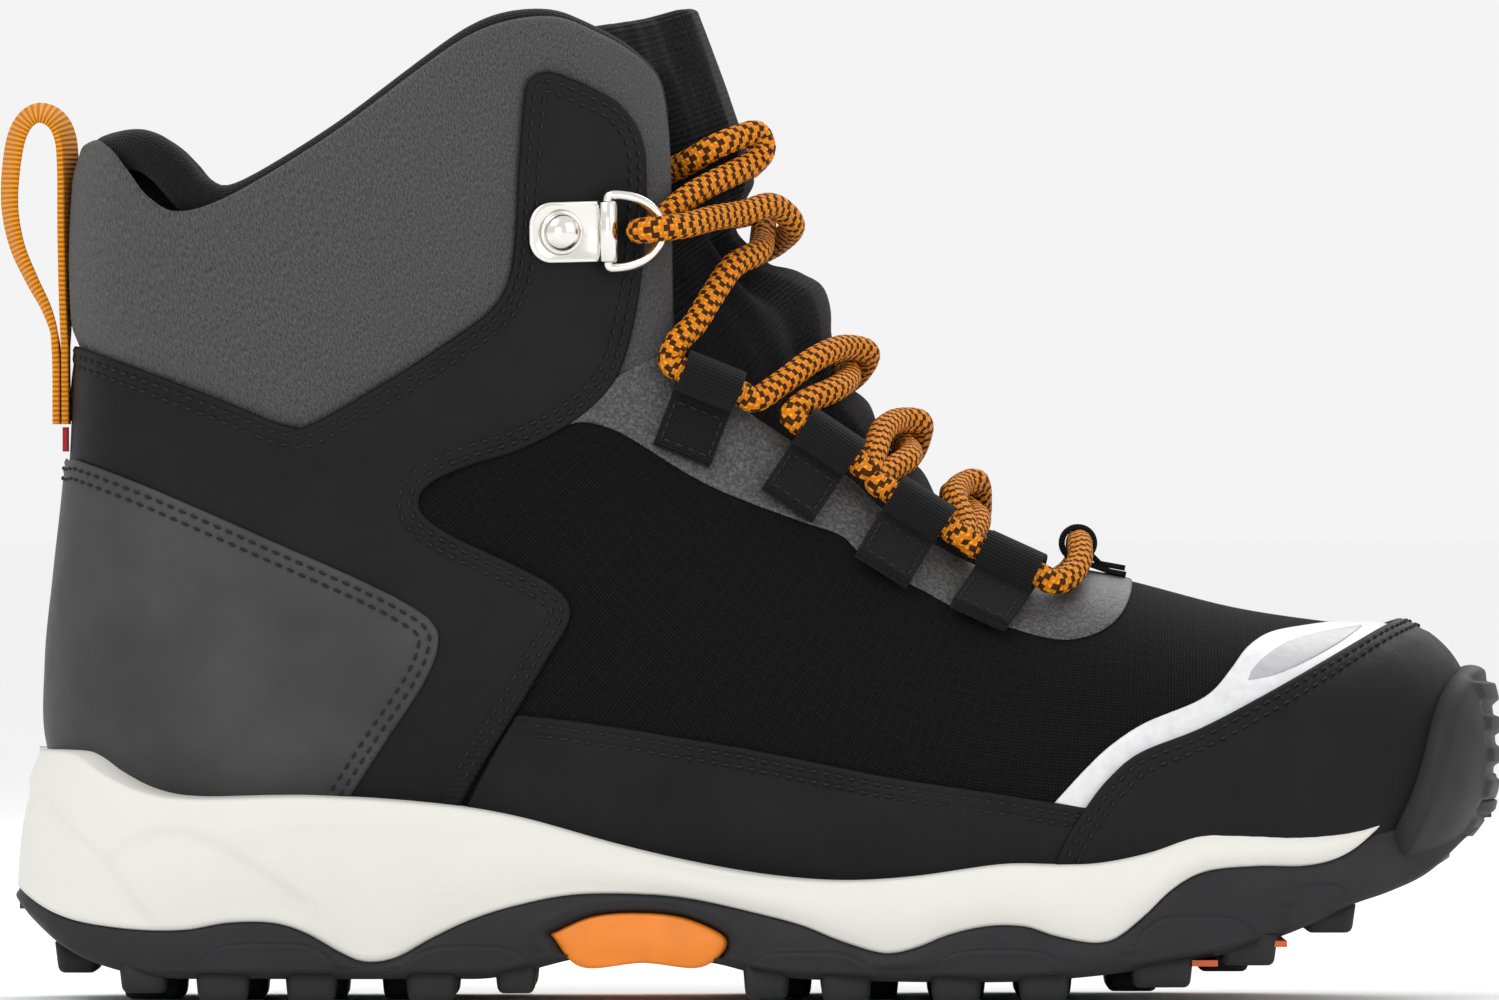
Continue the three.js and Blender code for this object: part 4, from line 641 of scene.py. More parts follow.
def knit(name, colour, pitch, light, dark, ribs=0.0):
    """Fine jersey: columns of stitches that lean left and right in turn, with lighter and darker yarn."""
    f = Finish(name, colour, 0.9, sheen=0.1, specular=0.12)
    x, y = f.split(f.place())
    lean = f.sum("ABSOLUTE", f.sum("MULTIPLY_ADD", f.sum("FRACT", f.sum("DIVIDE", y, pitch)), 2.0, -1.0))
    rows = f.waves(f.sum("MULTIPLY_ADD", lean, 0.45 * pitch, x), 0.8 * pitch)
    columns = f.sum("SINE", f.sum("MULTIPLY", lean, math.pi))
    height = f.sum("MULTIPLY", f.sum("MULTIPLY_ADD", rows, 0.5, 0.5),
                   f.sum("MULTIPLY_ADD", columns, 0.6, 0.4))
    yarn = f.noise(f.join(f.sum("MULTIPLY", x, 1.1), f.sum("MULTIPLY", y, 3.2)), 1.0, 3.0, 0.7)
    f.set("Base Color", f.mix(f.ramp(yarn, (0.34, 0.0), (0.68, 1.0)), shade(colour, dark),
                              shade(colour, light)))
    f.bump(height, 0.00022, 0.8)
    if ribs:
        f.bump(f.waves(x, ribs), 0.0005, 0.7)
    return f.material


def speckled_film(name, colour):
    """Welded film over mesh: a fine light speckle and the weave showing through."""
    f = Finish(name, colour, 0.5, specular=0.4)
    where = f.place("Object")
    specks = f.ramp(f.noise(where, 1500.0, 2.0, 0.7), (0.42, 0.0), (0.68, 1.0))
    f.set("Base Color", f.mix(specks, shade(colour, 0.62), shade(colour, 1.9)))
    f.bump(f.noise(where, 1100.0, 2.0), 0.00008, 0.6)
    f.bump(f.noise(where, 120.0, 2.0), 0.0006, 0.35)
    return f.material


def webbing(name, colour, pitch=0.62):
    """Ribbed tape: round ribs side by side, each crossed by its fine weft, coloured by their height as
    painted shade in the grooves and a painted highlight on the crowns.
    """
    f = Finish(name, colour, 0.82, sheen=0.04, specular=0.15)
    along, over = f.split(f.place())
    rib = f.waves(over, pitch)
    weft = f.waves(f.sum("MULTIPLY_ADD", rib, 0.25, along), 0.5)
    height = f.sum("MULTIPLY", f.sum("MULTIPLY_ADD", weft, 0.35, 0.65), rib)
    # painted shade and highlight: darker in the grooves between the ribs, lighter on their crowns
    f.set("Base Color", f.mix(height, shade(colour, 0.45), shade(colour, 1.35)))
    f.bump(height, 0.0003, 0.9)
    return f.material


def warmer(colour):
    """A colour a little nearer to yellow, for the lace's painted highlight."""
    red, green, blue = colour
    return red, green * 1.5, blue


def braid(name, light, dark):
    """Round braid: zigzag rows of dark and light yarns, stepped yarn by yarn and bulging in each; the light
    yarns carry a painted highlight, lighter and warmer on each bulge's crown, and painted shade between the
    bulges.
    """
    f = Finish(name, light, 0.7, specular=0.15)
    along, around = f.split(f.place())
    plait, yarn = 6.0, 0.7
    cell = f.sum("DIVIDE", f.sum("ROUND", f.sum("MULTIPLY", around, 2 * plait)), 2 * plait)
    zig = f.sum("PINGPONG", f.sum("MULTIPLY", cell, plait), 1.0)
    lean = f.sum("PINGPONG", f.sum("MULTIPLY", around, plait), 1.0)
    step = f.sum("MULTIPLY_ADD", zig, 0.62, f.sum("DIVIDE", along, 2.4))
    band = f.sum("FRACT", step)
    dark_yarn = f.sum("LESS_THAN", band, 0.43)
    bulge = f.sum("MULTIPLY", f.waves(f.sum("MULTIPLY_ADD", lean, 0.5, along), yarn),
                  f.waves(around, 0.5 / plait))
    fuzz = f.noise(f.join(f.sum("MULTIPLY", along, 3.0), f.sum("MULTIPLY", around, 60.0)), 1.0, 3.0)
    # painted highlight and shade: the light yarn is lighter and warmer on each bulge's crown and darker
    # between the bulges
    light_yarn_painted_highlight = f.mix(bulge, shade(light, 0.75), shade(warmer(light), 1.3))
    deep = f.mix(fuzz, shade(dark, 0.7), shade(light, 0.12))
    f.set("Base Color", f.mix(dark_yarn, light_yarn_painted_highlight, deep))
    f.bump(bulge, 0.0003, 0.9)
    return f.material


def rubber(name, colour):
    """Moulded rubber: matte with a fine spark-eroded grain and faint scuffs."""
    f = Finish(name, colour, 0.6, specular=0.2)
    where = f.place("Object")
    f.set("Roughness", f.sum("MULTIPLY_ADD", f.noise(where, 90.0, 4.0), 0.3, 0.42))
    f.set("Base Color", f.mix(f.noise(where, 60.0, 4.0), shade(colour, 0.8), shade(colour, 1.3)))
    f.bump(f.noise(where, 2200.0, 2.0), 0.00004, 0.7)
    return f.material


def foam(name, colour):
    """Moulded foam: satin, faintly cloudy, with a soft skin."""
    f = Finish(name, colour, 0.55, specular=0.35)
    f.set("Subsurface Weight", 0.08)
    f.set("Subsurface Radius", (0.004, 0.004, 0.003))
    where = f.place("Object")
    f.set("Base Color", f.mix(f.noise(where, 30.0, 3.0), shade(colour, 0.95), shade(colour, 1.04)))
    f.set("Roughness", f.sum("MULTIPLY_ADD", f.noise(where, 200.0, 2.0), 0.2, 0.45))
    f.bump(f.noise(where, 900.0, 3.0), 0.00005, 0.5)
    return f.material


def polished(name, colour):
    """Nickel plate: bright, with faint hairlines in its gloss."""
    f = Finish(name, colour, 0.16, metallic=1.0)
    where = f.place("Object", (60, 900, 900))
    f.set("Roughness", f.sum("MULTIPLY_ADD", f.noise(where, 2.0, 3.0), 0.16, 0.07))
    f.bump(f.noise(f.place("Object"), 260.0, 2.0), 0.00006, 0.25)
    return f.material


def plain_moulded(name, colour, roughness, grain=900.0):
    """A small moulded or pressed piece with a grain of its own."""
    f = Finish(name, colour, roughness)
    where = f.place("Object")
    f.set("Base Color", f.mix(f.noise(where, grain / 4, 3.0), shade(colour, 0.8), shade(colour, 1.2)))
    f.bump(f.noise(where, grain, 3.0), 0.00008, 0.6)
    return f.material


BLACK = (0.0065, 0.0065, 0.007)
FINISHES = {}


def make_finishes(colours):
    """Every finish of the boot, from the few colours that a user may change."""
    orange = tuple(colours.accent)
    grey = tuple(colours.grey)
    black = tuple(colours.black)
    FINISHES.update(
        leather=leather("coated_leather", shade(black, 1.25), 0.56),
        heel=leather("grey_leather", shade(grey, 0.82), 0.5),
        mesh=ripstop("ripstop_mesh", black),
        collar=knit("collar_knit", grey, 0.75, 1.8, 0.6),
        tongue=knit("tongue_knit", shade(black, 1.1), 0.8, 2.2, 0.5, ribs=1.1),
        lining=knit("spacer_lining", shade(black, 0.9), 1.5, 1.8, 0.4),
        film=speckled_film("welded_film", shade(grey, 0.92)),
        tape=webbing("loop_webbing", shade(black, 1.3)),
        pull=webbing("pull_webbing", shade(orange, 1.25), 0.95),
        lace=braid("lace_braid", orange, shade(black, 1.2)),
        rubber=rubber("sole_rubber", shade(black, 3.2)),
        foam=foam("midsole_foam", tuple(colours.foam)),
        shank=plain_moulded("orange_shank", shade(orange, 0.95), 0.32, 500.0),
        inlay=plain_moulded("orange_inlay", shade((orange[0] * 0.8, orange[1] * 0.45, orange[2]), 0.8), 0.4,
                            500.0),
        reflective=plain_moulded("reflective_film", (0.7, 0.7, 0.71), 0.3, 1800.0),
        lens=plain_moulded("reflective_lens", (0.42, 0.42, 0.43), 0.35, 1800.0),
        nickel=polished("nickel", (0.78, 0.76, 0.72)),
        thread=plain_moulded("thread", shade(black, 0.45), 0.75, 3000.0),
        thread_grey=plain_moulded("grey_thread", shade(grey, 1.0), 0.6, 3000.0),
        aglet=plain_moulded("aglet_film", shade(black, 1.4), 0.2, 300.0),
        label=plain_moulded("woven_label", (0.42, 0.008, 0.018), 0.7, 2500.0),
        board=plain_moulded("pressed_board", (0.35, 0.27, 0.17), 0.85, 1200.0),
        stiffener=plain_moulded("stiffener", (0.5, 0.48, 0.43), 0.8, 900.0),
        footbed=plain_moulded("footbed_nap", (0.03, 0.03, 0.033), 0.95, 2000.0),
        sock=plain_moulded("sock_felt", (0.42, 0.4, 0.36), 0.95, 1500.0),
    )


# ---------------------------------------------------------------- the upper's outlines, (x, z) from the side
COLLAR_TOP = [(8, 166), (12.5, 167.5), (15.5, 168.8), (19.5, 166.8), (23.5, 162.2), (27.5, 157.2),
              (33, 154.6), (43, 158), (62, 169.5), (81, 183.5), (90, 189.3), (98, 192), (106, 192.6),
              (113, 190.2), (120.5, 186.3), (125.6, 181.6), (127.6, 175), (128.8, 164), (129.1, 150),
              (129.2, 127.4)]
LINING_TOP = [(8, 169), (13, 170.3), (19.5, 171.2), (24, 170.4), (28.5, 168), (32.5, 164.5), (36.5, 160.8),
              (43, 160.2), (62, 171), (81, 185), (90, 190.8), (98, 193.6), (107, 194.1), (114, 191.8),
              (121.5, 187.6), (127, 182.4), (129, 176), (129.8, 164), (129.9, 150)]
COLLAR_SEAM = [(129.2, 127.4), (120, 122.6), (110, 117.6), (98, 117), (78, 108), (55, 101), (26, 110),
               (0, 117)]
QUARTER_TOP = [(4, 131.5), (12, 128.5), (25.5, 123.5), (41.5, 117.3), (50, 113.8), (54, 112.6), (58.5, 113),
               (75, 122.5), (89, 131.8), (94, 136), (96.8, 141.5), (98, 150), (98.6, 163), (99.6, 176)]
FINGER_TOP = [(100.4, 179.6), (102.6, 181.5), (106.5, 181.3), (116, 177), (120, 173.4), (122.4, 169)]
QUARTER_FRONT = [(123.3, 163), (123.2, 152), (122.4, 141), (120.6, 130.5), (118, 122.5), (113.6, 116.8),
                 (107, 111.8), (98, 107.4), (89.5, 104.8), (82.2, 101.6), (79.4, 98.6), (80.2, 95), (86, 91),
                 (97, 85.8), (105, 81.6), (108.6, 78), (108.6, 74), (104.6, 67), (98, 55.8), (91.5, 45.6),
                 (84.5, 33)]
HEEL_TOP = [(0, 109.5), (10.5, 106.9), (24.5, 101.6), (39, 95.3), (53.5, 88.8), (68, 82.3), (77.6, 77.4),
            (82.2, 73.8), (83.2, 69.4), (80.2, 61.8), (72, 49.5), (62, 34.5)]
MUDGUARD_TOP = [(98.4, 56.2), (109, 55), (122, 53), (143.5, 49.5), (171, 44), (193.5, 40.6), (212, 37.6)]
TOE_CAP_TOP = [(199, 17), (203.6, 27.4), (206, 32.4), (209.8, 38.4), (214, 43.6), (220, 48.4), (232, 53),
               (245.5, 59.6), (259.5, 67), (268, 71.4), (274, 74), (279, 78)]
TRIM_TOP = [(203.2, 38.8), (209.5, 45.6), (214.5, 50.2), (221, 54.4), (230.5, 58.2), (234.6, 60.8),
            (238.2, 65), (241.4, 69), (246, 71.8), (253, 73.1), (262, 74.1), (268.5, 74.6)]
LENS_LOW = [(241.3, 62.4), (246.5, 63.4), (252.5, 65.8), (259.5, 69.4), (264.4, 72.6)]
LENS_TOP = [(264.4, 72.9), (256, 71.6), (249.6, 69.8), (244.6, 66.8), (242, 64.2)]
FILM_LOW = [(106, 112), (111, 113.2), (116, 112.2), (121, 109.8), (132.5, 102.6), (142, 98.2), (154, 93.7),
            (161.6, 91), (164.6, 88.2), (168, 85.4), (178.5, 79.9), (184.5, 76.6), (191, 74.2), (199, 71.4),
            (205.5, 70.3), (211.5, 71.6), (216, 74.6), (218.6, 79), (219.4, 84), (220, 92)]
THROAT = [(129.9, 127.6), (132.6, 123.6), (143, 115.5), (153, 108.9), (163.5, 102), (171, 95), (180.5, 89),
          (190, 84.3), (200, 80.9), (205, 81.4), (207.6, 86), (208, 92)]
# Where the foam's top edge meets the upper, and where the foam ends on the rubber.
FEATHER = [(0, 49), (6.5, 48.6), (9.5, 47.4), (14, 44.5), (22.5, 41), (33.5, 39.6), (58, 40), (81.5, 38.6),
           (98.5, 36), (118, 30.6), (133, 27), (147, 24.6), (161, 23.6), (175, 24.4), (192.5, 26.8),
           (204, 26.8), (212.5, 27.2), (222, 29.2), (232, 32.8), (240, 33.8), (252, 33.8), (262, 35.2),
           (268.5, 36.6), (291, 40)]
RUBBER_TOP = [(-1, 23), (0.5, 21.5), (5.5, 18), (12, 15.5), (23.5, 14), (33.5, 14), (42, 15.4), (50.5, 15.4),
              (57, 13.5), (64, 9.6), (69, 7.8), (75, 8.7), (82, 12.5), (89.5, 16), (98, 18.7), (109.5, 20.9),
              (123, 21), (133, 20), (144.5, 17.5), (154, 15), (161, 12.2), (168, 10), (172, 9.7), (177, 11),
              (183, 13.4), (190.5, 15), (197.5, 14.9), (203, 13.2), (208.5, 12), (212.5, 11.8), (216, 13),
              (221, 17), (226.5, 22.2), (233, 25.6), (243, 26.6), (252.5, 26.6), (259.5, 28.2), (265, 32),
              (268.5, 36.2), (272, 41), (276, 49), (282, 55), (291, 58)]


def height_on(outline, x):
    """The height of an outline at x, rounded as a spline."""
    line = smooth_line(outline)
    return np.interp(x, line[:, 0], line[:, 1])


def below_feather(x0, x1, deep=6.0, count=40):
    """The hidden lower edge of the upper, a little under the foam's top edge, from x0 to x1."""
    x = np.linspace(x0, x1, count)
    return side_uv(x, height_on(FEATHER, x) - deep)


# ---------------------------------------------------------------- sizes and colours a user may change
class BootSizes(bpy.types.PropertyGroup):
    """Sizes of the soft and sewn detail, in metres."""

    base_thickness: FloatProperty(name="Base fabric", description="Thickness of mesh and knit",
                                  default=0.9 * MM, unit="LENGTH")
    overlay_thickness: FloatProperty(name="Overlay", description="Thickness of the coated leather overlays",
                                     default=1.0 * MM, unit="LENGTH")
    collar_puff: FloatProperty(name="Collar puff", description="How far the collar's padding swells",
                               default=2.4 * MM, unit="LENGTH")
    tongue_puff: FloatProperty(name="Tongue puff", description="How far the tongue swells between the laces",
                               default=1.5 * MM, unit="LENGTH")
    lace_diameter: FloatProperty(name="Lace", description="Diameter of the round lace",
                                 default=5.0 * MM, unit="LENGTH")


class BootColours(bpy.types.PropertyGroup):
    """Colours of the boot's finishes."""

    accent: FloatVectorProperty(name="Accent", description="Lace, heel pull and shank", subtype="COLOR",
                                size=3, default=(0.86, 0.235, 0.012))
    grey: FloatVectorProperty(name="Grey", description="Collar knit, heel panel and film", subtype="COLOR",
                              size=3, default=(0.062, 0.062, 0.063))
    black: FloatVectorProperty(name="Black", description="Overlays, mesh, webbing and tongue",
                               subtype="COLOR", size=3, default=BLACK)
    foam: FloatVectorProperty(name="Foam", description="Midsole", subtype="COLOR",
                              size=3, default=(0.72, 0.71, 0.665))


def sizes():
    """The sizes that a user may change."""
    return bpy.context.scene.boot_sizes


LAYER_GAP = 0.3
CAP_AT = 1.6  # the height of what lies on the overlays
HEEL_AT = CAP_AT - 0.25
TOE_CAP_AT = CAP_AT - 0.3
STITCH_ROWS = (1.8, 3.8)


def sew(name, line, loop, offset, finish="thread", rows=STITCH_ROWS, trim=(0, 1)):
    """Rows of stitches beside an edge line, on the side where the panel cut by the loop lies."""
    turn = 1 if inside(inset(line, rows[0], 1), loop).mean() > 0.5 else -1
    run = measured(on_form(line[:, 0], line[:, 1]))
    keep = (run >= trim[0] * run[-1]) & (run <= trim[1] * run[-1])
    seams = [respaced_uv(inset(line[keep], row, turn), 0.6) for row in rows]
    return stitches(name, seams, FINISHES[finish], offset)


def respaced_uv(line, spacing):
    """A (u, v) line again at even distances on the form, without the loops that an inner corner makes."""
    p = on_form(line[:, 0], line[:, 1])
    ahead = np.diff(p, axis=0)
    straight = np.gradient(smooth_rows(p, 9), axis=0)[:-1]
    keep = np.concatenate([[True], (ahead * straight).sum(-1) > 0])
    line = line[keep]
    run = measured(on_form(line[:, 0], line[:, 1]))
    at = np.arange(0, run[-1], spacing)
    return np.stack([np.interp(at, run, line[:, k]) for k in (0, 1)], axis=-1)


def smooth_rows(rows, width):
    """Each row as the mean of its neighbours within a width."""
    pad = width // 2
    padded = np.concatenate([rows[:1].repeat(pad, 0), rows, rows[-1:].repeat(pad, 0)])
    total = np.cumsum(np.concatenate([np.zeros((1, rows.shape[1])), padded]), axis=0)
    return (total[width:] - total[:-width]) / width


def sewn_relief(lines, depth=0.28):
    """A shallow trough along each stitch row, and the swell of the leather between and beside them."""
    solid = [on_form(line[:, 0], line[:, 1]) for line in lines]

    def relief(u, v, points, reach):
        near = np.min([distance_to(points, line) for line in solid], axis=0)
        troughs = sum(np.exp(-(((near - row) / 0.45) ** 2)) for row in STITCH_ROWS)
        return 0.1 * np.exp(-(((near - 2.8) / 0.6) ** 2)) - depth * troughs

    return relief


def creases(u, v, strength=1.0):
    """The upper's slight waves where the foot flexes, at the ball and the ankle, and a faint one all over."""
    ball = np.exp(-(((u - 7.5) / 2.4) ** 2))
    ankle = np.exp(-(((u - 13.0) / 1.6) ** 2))
    side = np.sin(np.pi * np.clip(np.abs(np.where(v > 1, 2 - v, v)), 0, 1))
    waves = 0.45 * np.sin(2.1 * u + 3.0 * v + 0.4) * ball + 0.3 * np.sin(3.3 * u - 5.0 * v) * ankle
    return strength * side * (waves + 0.16 * np.sin(1.3 * u + 9.0 * v))


def flexed(u, v, points, reach):
    """The relief of a panel that only creases; a relief is always asked with these four values."""
    return creases(u, v)


def sewn_and_flexed(lines):
    """The relief of a panel that is sewn along lines and creases as well."""
    sewn = sewn_relief(lines)

    def relief(u, v, points, reach):
        return sewn(u, v, points, reach) + creases(u, v)

    return relief


def both_sides(make):
    """Calls make(side name, line mapper) for the inner and the outer side."""
    make("medial", lambda line: line)
    make("lateral", lambda line: round_keel(line))


class BuildVamp(bpy.types.Operator):
    """The woven base of the forefoot, its welded film and the quarters' base under the overlays"""

    bl_idname = "boot.vamp"
    bl_label = "Vamp"

    def execute(self, context):
        thick = sizes().base_thickness / MM
        throat = traced(THROAT)
        hidden = traced([(129, 126), (114, 116), (97, 112), (76, 101), (72, 88), (80, 64), (84, 44),
                         (88, 30)])
        low = below_feather(88, 270)
        low = low[low[:, 0] > 0.9]
        toe = np.array([[0.8, 0.72], [0.8, 0.3]])
        half = np.concatenate([throat[::-1], hidden, low, toe])
        loop = np.concatenate([half, over_ridge(half[::-1])])

        vamp = panel("vamp", loop, FINISHES["mesh"], -thick, thick, relief=flexed)
        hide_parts("vamp_mesh")
        self.film(throat)
        return {"FINISHED"}

    def film(self, throat):
        low = traced(FILM_LOW)
        low = low[: np.argmax(low[:, 1] < 0.004) or None]
        rear = traced([(129.6, 127.8), (121, 124), (108, 116.4)])
        half = np.concatenate([throat[::-1][throat[::-1][:, 1] > 0.0], rear[3:-3], low])
        loop = np.concatenate([half, over_ridge(half[::-1])])

        film = panel("film", loop, FINISHES["film"], offset=0.05, thickness=0.5, relief=flexed)
        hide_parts("eyestay_film")


class BuildOverlays(bpy.types.Operator):
    """The sewn leather overlays: quarters with their ankle strap, mudguards, heel panel and toe cap"""

    bl_idname = "boot.overlays"
    bl_label = "Overlays"

    def execute(self, context):
        both_sides(self.quarter)
        both_sides(self.mudguard)
        self.heel()
        self.toe_cap()
        both_sides(self.trim)
        return {"FINISHED"}

    def quarter(self, side, mapped):
        thick = sizes().overlay_thickness / MM
        edge = traced(QUARTER_TOP + FINGER_TOP + QUARTER_FRONT)
        edge = edge[np.argmax(edge[:, 1] < 0.996):]
        edge[0, 1] = 1.0
        low = below_feather(14, 84)[::-1]
        back = np.array([[14.2, 1.0], [15.0, 1.0]])
        loop = mapped(np.concatenate([edge, low, back]))
        seam = mapped(edge)
        made = panel(f"quarter_{side}", loop, FINISHES["leather"], LAYER_GAP, thick,
                     rows=EDGE_ROWS + SEWN_ROWS, relief=sewn_and_flexed([seam]))
        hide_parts(f"quarter_overlay_{side}", f"quarter_mesh_{side}")
        sew(f"quarter_stitches_{side}", seam, loop, LAYER_GAP + thick, trim=(0.012, 0.97))

    def mudguard(self, side, mapped):
        thick = sizes().overlay_thickness / MM
        edge = traced(MUDGUARD_TOP)
        rear = traced([(87.4, 36), (92.4, 45.8), (98.4, 56.2)])
        front = traced([(212, 37.6), (216, 30)])
        low = below_feather(88, 216)[::-1]
        loop = mapped(np.concatenate([rear[:-1], edge, front[1:], low]))
        seam = mapped(edge)
        made = panel(f"mudguard_{side}", loop, FINISHES["leather"], LAYER_GAP, thick,
                     rows=EDGE_ROWS + SEWN_ROWS, relief=sewn_and_flexed([seam]))
        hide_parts(f"mudguard_{side}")
        sew(f"mudguard_stitches_{side}", seam, loop, LAYER_GAP + thick, trim=(0.02, 0.99))

    def heel(self):
        thick = sizes().overlay_thickness / MM
        edge = traced(HEEL_TOP)
        edge = edge[np.argmax(edge[:, 1] < 0.997):]
        edge[0, 1] = 1.0
        low = below_feather(10, 61)[::-1]
        half = np.concatenate([edge, low])
        loop = np.concatenate([half, round_keel(half[::-1])])
        seam = np.concatenate([round_keel(edge[1:])[::-1], edge])
        made = panel("heel_panel", loop, FINISHES["heel"], HEEL_AT, thick,
                     rows=EDGE_ROWS + SEWN_ROWS, relief=sewn_relief([seam]))
        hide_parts("heel_overlay")
        sew("heel_stitches", seam, loop, HEEL_AT + thick, finish="thread",
            trim=(0.01, 0.99))

    def toe_cap(self):
        thick = sizes().overlay_thickness / MM
        edge = traced(TOE_CAP_TOP)
        edge = edge[: np.argmax(edge[:, 1] < 0.01) + 1]
        edge[-1, 1] = 0.0
        low = below_feather(203, 270)
        low = low[low[:, 0] > 0.9]
        toe = np.array([[0.8, 0.75], [0.7, 0.4], [0.7, 0.0]])
        half = np.concatenate([edge[::-1], low, toe])
        loop = np.concatenate([half, over_ridge(half[::-1])])
        seam = np.concatenate([edge, over_ridge(edge[:-1])[::-1]])
        made = panel("toe_cap_leather", loop, FINISHES["leather"], TOE_CAP_AT, thick,
                     rows=EDGE_ROWS + SEWN_ROWS, relief=sewn_relief([seam]))
        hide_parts("toe_cap")
        sew("toe_cap_stitches", seam, loop, TOE_CAP_AT + thick, trim=(0.01, 0.99))

    def trim(self, side, mapped):
        top = traced(TRIM_TOP)
        top[:, 1] = np.maximum(top[:, 1], 0.004)
        low = traced([(207, 32), (210.5, 36.8), (215, 42), (221, 46.6), (232, 51), (245.5, 57.6),
                      (259.5, 65), (268, 69.4), (273, 71.6)])[::-1]
        low[:, 1] = np.maximum(low[:, 1], 0.004)
        loop = np.concatenate([top, low])
        ridge = (lambda line: line) if side == "medial" else over_ridge
        made = panel(f"trim_{side}", ridge(loop), FINISHES["reflective"], offset=0.1,
                     thickness=0.5)
        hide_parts(f"toe_trim_{side}")
        lens = np.concatenate([traced(LENS_LOW), traced(LENS_TOP)])
        panel(f"trim_lens_{side}", ridge(lens), FINISHES["lens"], offset=0.5, thickness=0.3)


class BuildStage(bpy.types.Operator):
    """The camera, a pale floor and soft studio light"""

    bl_idname = "boot.stage"
    bl_label = "Stage"

    def execute(self, context):
        scene = bpy.context.scene
        camera = bpy.data.objects.new("camera", bpy.data.cameras.new("camera"))
        distance = 4.2
        camera.data.lens = camera.data.sensor_width * distance / VIEW_WIDTH
        camera.data.clip_end = 50.0
        camera.location = (VIEW_CENTRE[0], -distance, VIEW_CENTRE[1])
        camera.rotation_euler = (math.pi / 2, 0, 0)
        scene.collection.objects.link(camera)
        scene.camera = camera
        reach, under = 60.0, -0.0002
        points = np.array([[-reach, -reach, under], [reach, -reach, under], [reach, reach, under],
                           [-reach, reach, under]])
        floor = build("floor", points / MM - SHIFT, [[0, 1, 2, 3]], self.paper(), body=None, straight=False)
        world = bpy.data.worlds.new("studio")
        world.use_nodes = True
        world.node_tree.nodes["Background"].inputs[0].default_value = (1.0, 1.0, 1.0, 1)
        world.node_tree.nodes["Background"].inputs[1].default_value = 0.9
        scene.world = world
        scene.view_settings.view_transform = "Standard"
        self.light("key", (-0.9, -1.5, 1.9), 15, 1.5)
        self.light("fill", (1.6, -1.3, 0.8), 4, 1.4)
        self.light("back", (0.6, 1.3, 1.5), 12, 1.2)
        self.light("low", (0.0, -1.9, 0.25), 2.0, 0.9)
        return {"FINISHED"}

    def paper(self):
        f = Finish("paper", (0.98, 0.98, 0.98), 0.9)
        f.bump(f.noise(f.place("Object"), 300.0), 0.0001, 0.2)
        return f.material

    def light(self, name, where, power, size):
        lamp = bpy.data.objects.new(name, bpy.data.lights.new(name, "AREA"))
        lamp.data.energy = power
        lamp.data.size = size
        lamp.location = where
        aim = Vector((0, 0, 0.09)) - Vector(where)
        lamp.rotation_euler = aim.to_track_quat("-Z", "Y").to_euler()
        bpy.context.scene.collection.objects.link(lamp)


VIEW_WIDTH = 0.2957
VIEW_CENTRE = ((143.9 + SHIFT[0]) * MM, 98.05 * MM)


# ---------------------------------------------------------------- lace
# The lace's route as (x, y outwards, z): through loop n from its upper to its lower end, then the tongue.
LACE_IN_LOOPS = [
    [(130.7, 32.3, 123.5), (141.9, 31.5, 119.1)], [(154.5, 29.7, 112.6), (164.5, 29.5, 106.0)],
    [(171.5, 29.8, 99.8), (182.6, 29.4, 92.8)], [(189.8, 28.1, 88.4), (200.6, 29.4, 83.4)],
]
LACE_CROSSINGS = [
    {"climb": [(144.6, 31.0, 117.7), (149.5, 27.0, 120.5), (156.5, 18.8, 125.6), (160.7, 7.5, 126.9)],
     "cross": (162.5, 0, 124.3),
     "fall": [(163.4, 6.8, 122.3), (160.6, 18.5, 119.8), (154.6, 26.6, 117.0), (152.2, 29.3, 114.4)],
     "lift": (4.6, 0, 2.7)},
    {"climb": [(166.9, 29.3, 104.1), (168.3, 24.8, 107.0), (170.0, 15.8, 111.6), (171.5, 6.2, 112.1)],
     "cross": (173.4, 0, 109.8),
     "fall": [(175.2, 6.2, 107.9), (175.0, 16.2, 106.2), (170.6, 25.8, 103.3), (168.8, 29.2, 101.5)],
     "lift": (4.1, 0, 3.5)},
    {"climb": [(185.4, 28.9, 91.0), (186.2, 24.6, 93.2), (184.2, 15.2, 98.4), (184.0, 5.8, 99.2)],
     "cross": (185.0, 0, 97.7),
     "fall": [(187.6, 5.8, 95.7), (188.9, 15.2, 94.0), (187.6, 23.8, 91.2), (187.0, 27.8, 89.6)],
     "lift": (3.7, 0, 3.9)},
]
LACE_FRONT = [(203.4, 28.8, 82.0), (206.6, 25.0, 83.2), (208.7, 18.5, 86.2), (208.9, 12.0, 88.8),
              (208.9, 6.0, 89.7)]
LACE_FRONT_MIDDLE = (208.9, 0, 89.7)
LACE_TO_TOP = [(128.5, 31.9, 125.0), (129.6, 30.8, 128.6), (133.2, 28.4, 132.6), (136.5, 25.0, 138.0),
               (140.7, 19.0, 144.0), (145.2, 11.0, 146.6)]
LACE_TOP_CROSS = (146.4, 0, 149.2)
LACE_TOP_LIFT = (5.9, 0, 3.3)
LACE_TO_RING = [(146.4, 8.0, 154.8), (142.4, 17.0, 154.4), (136.4, 26.0, 153.2), (131.4, 33.0, 151.8)]
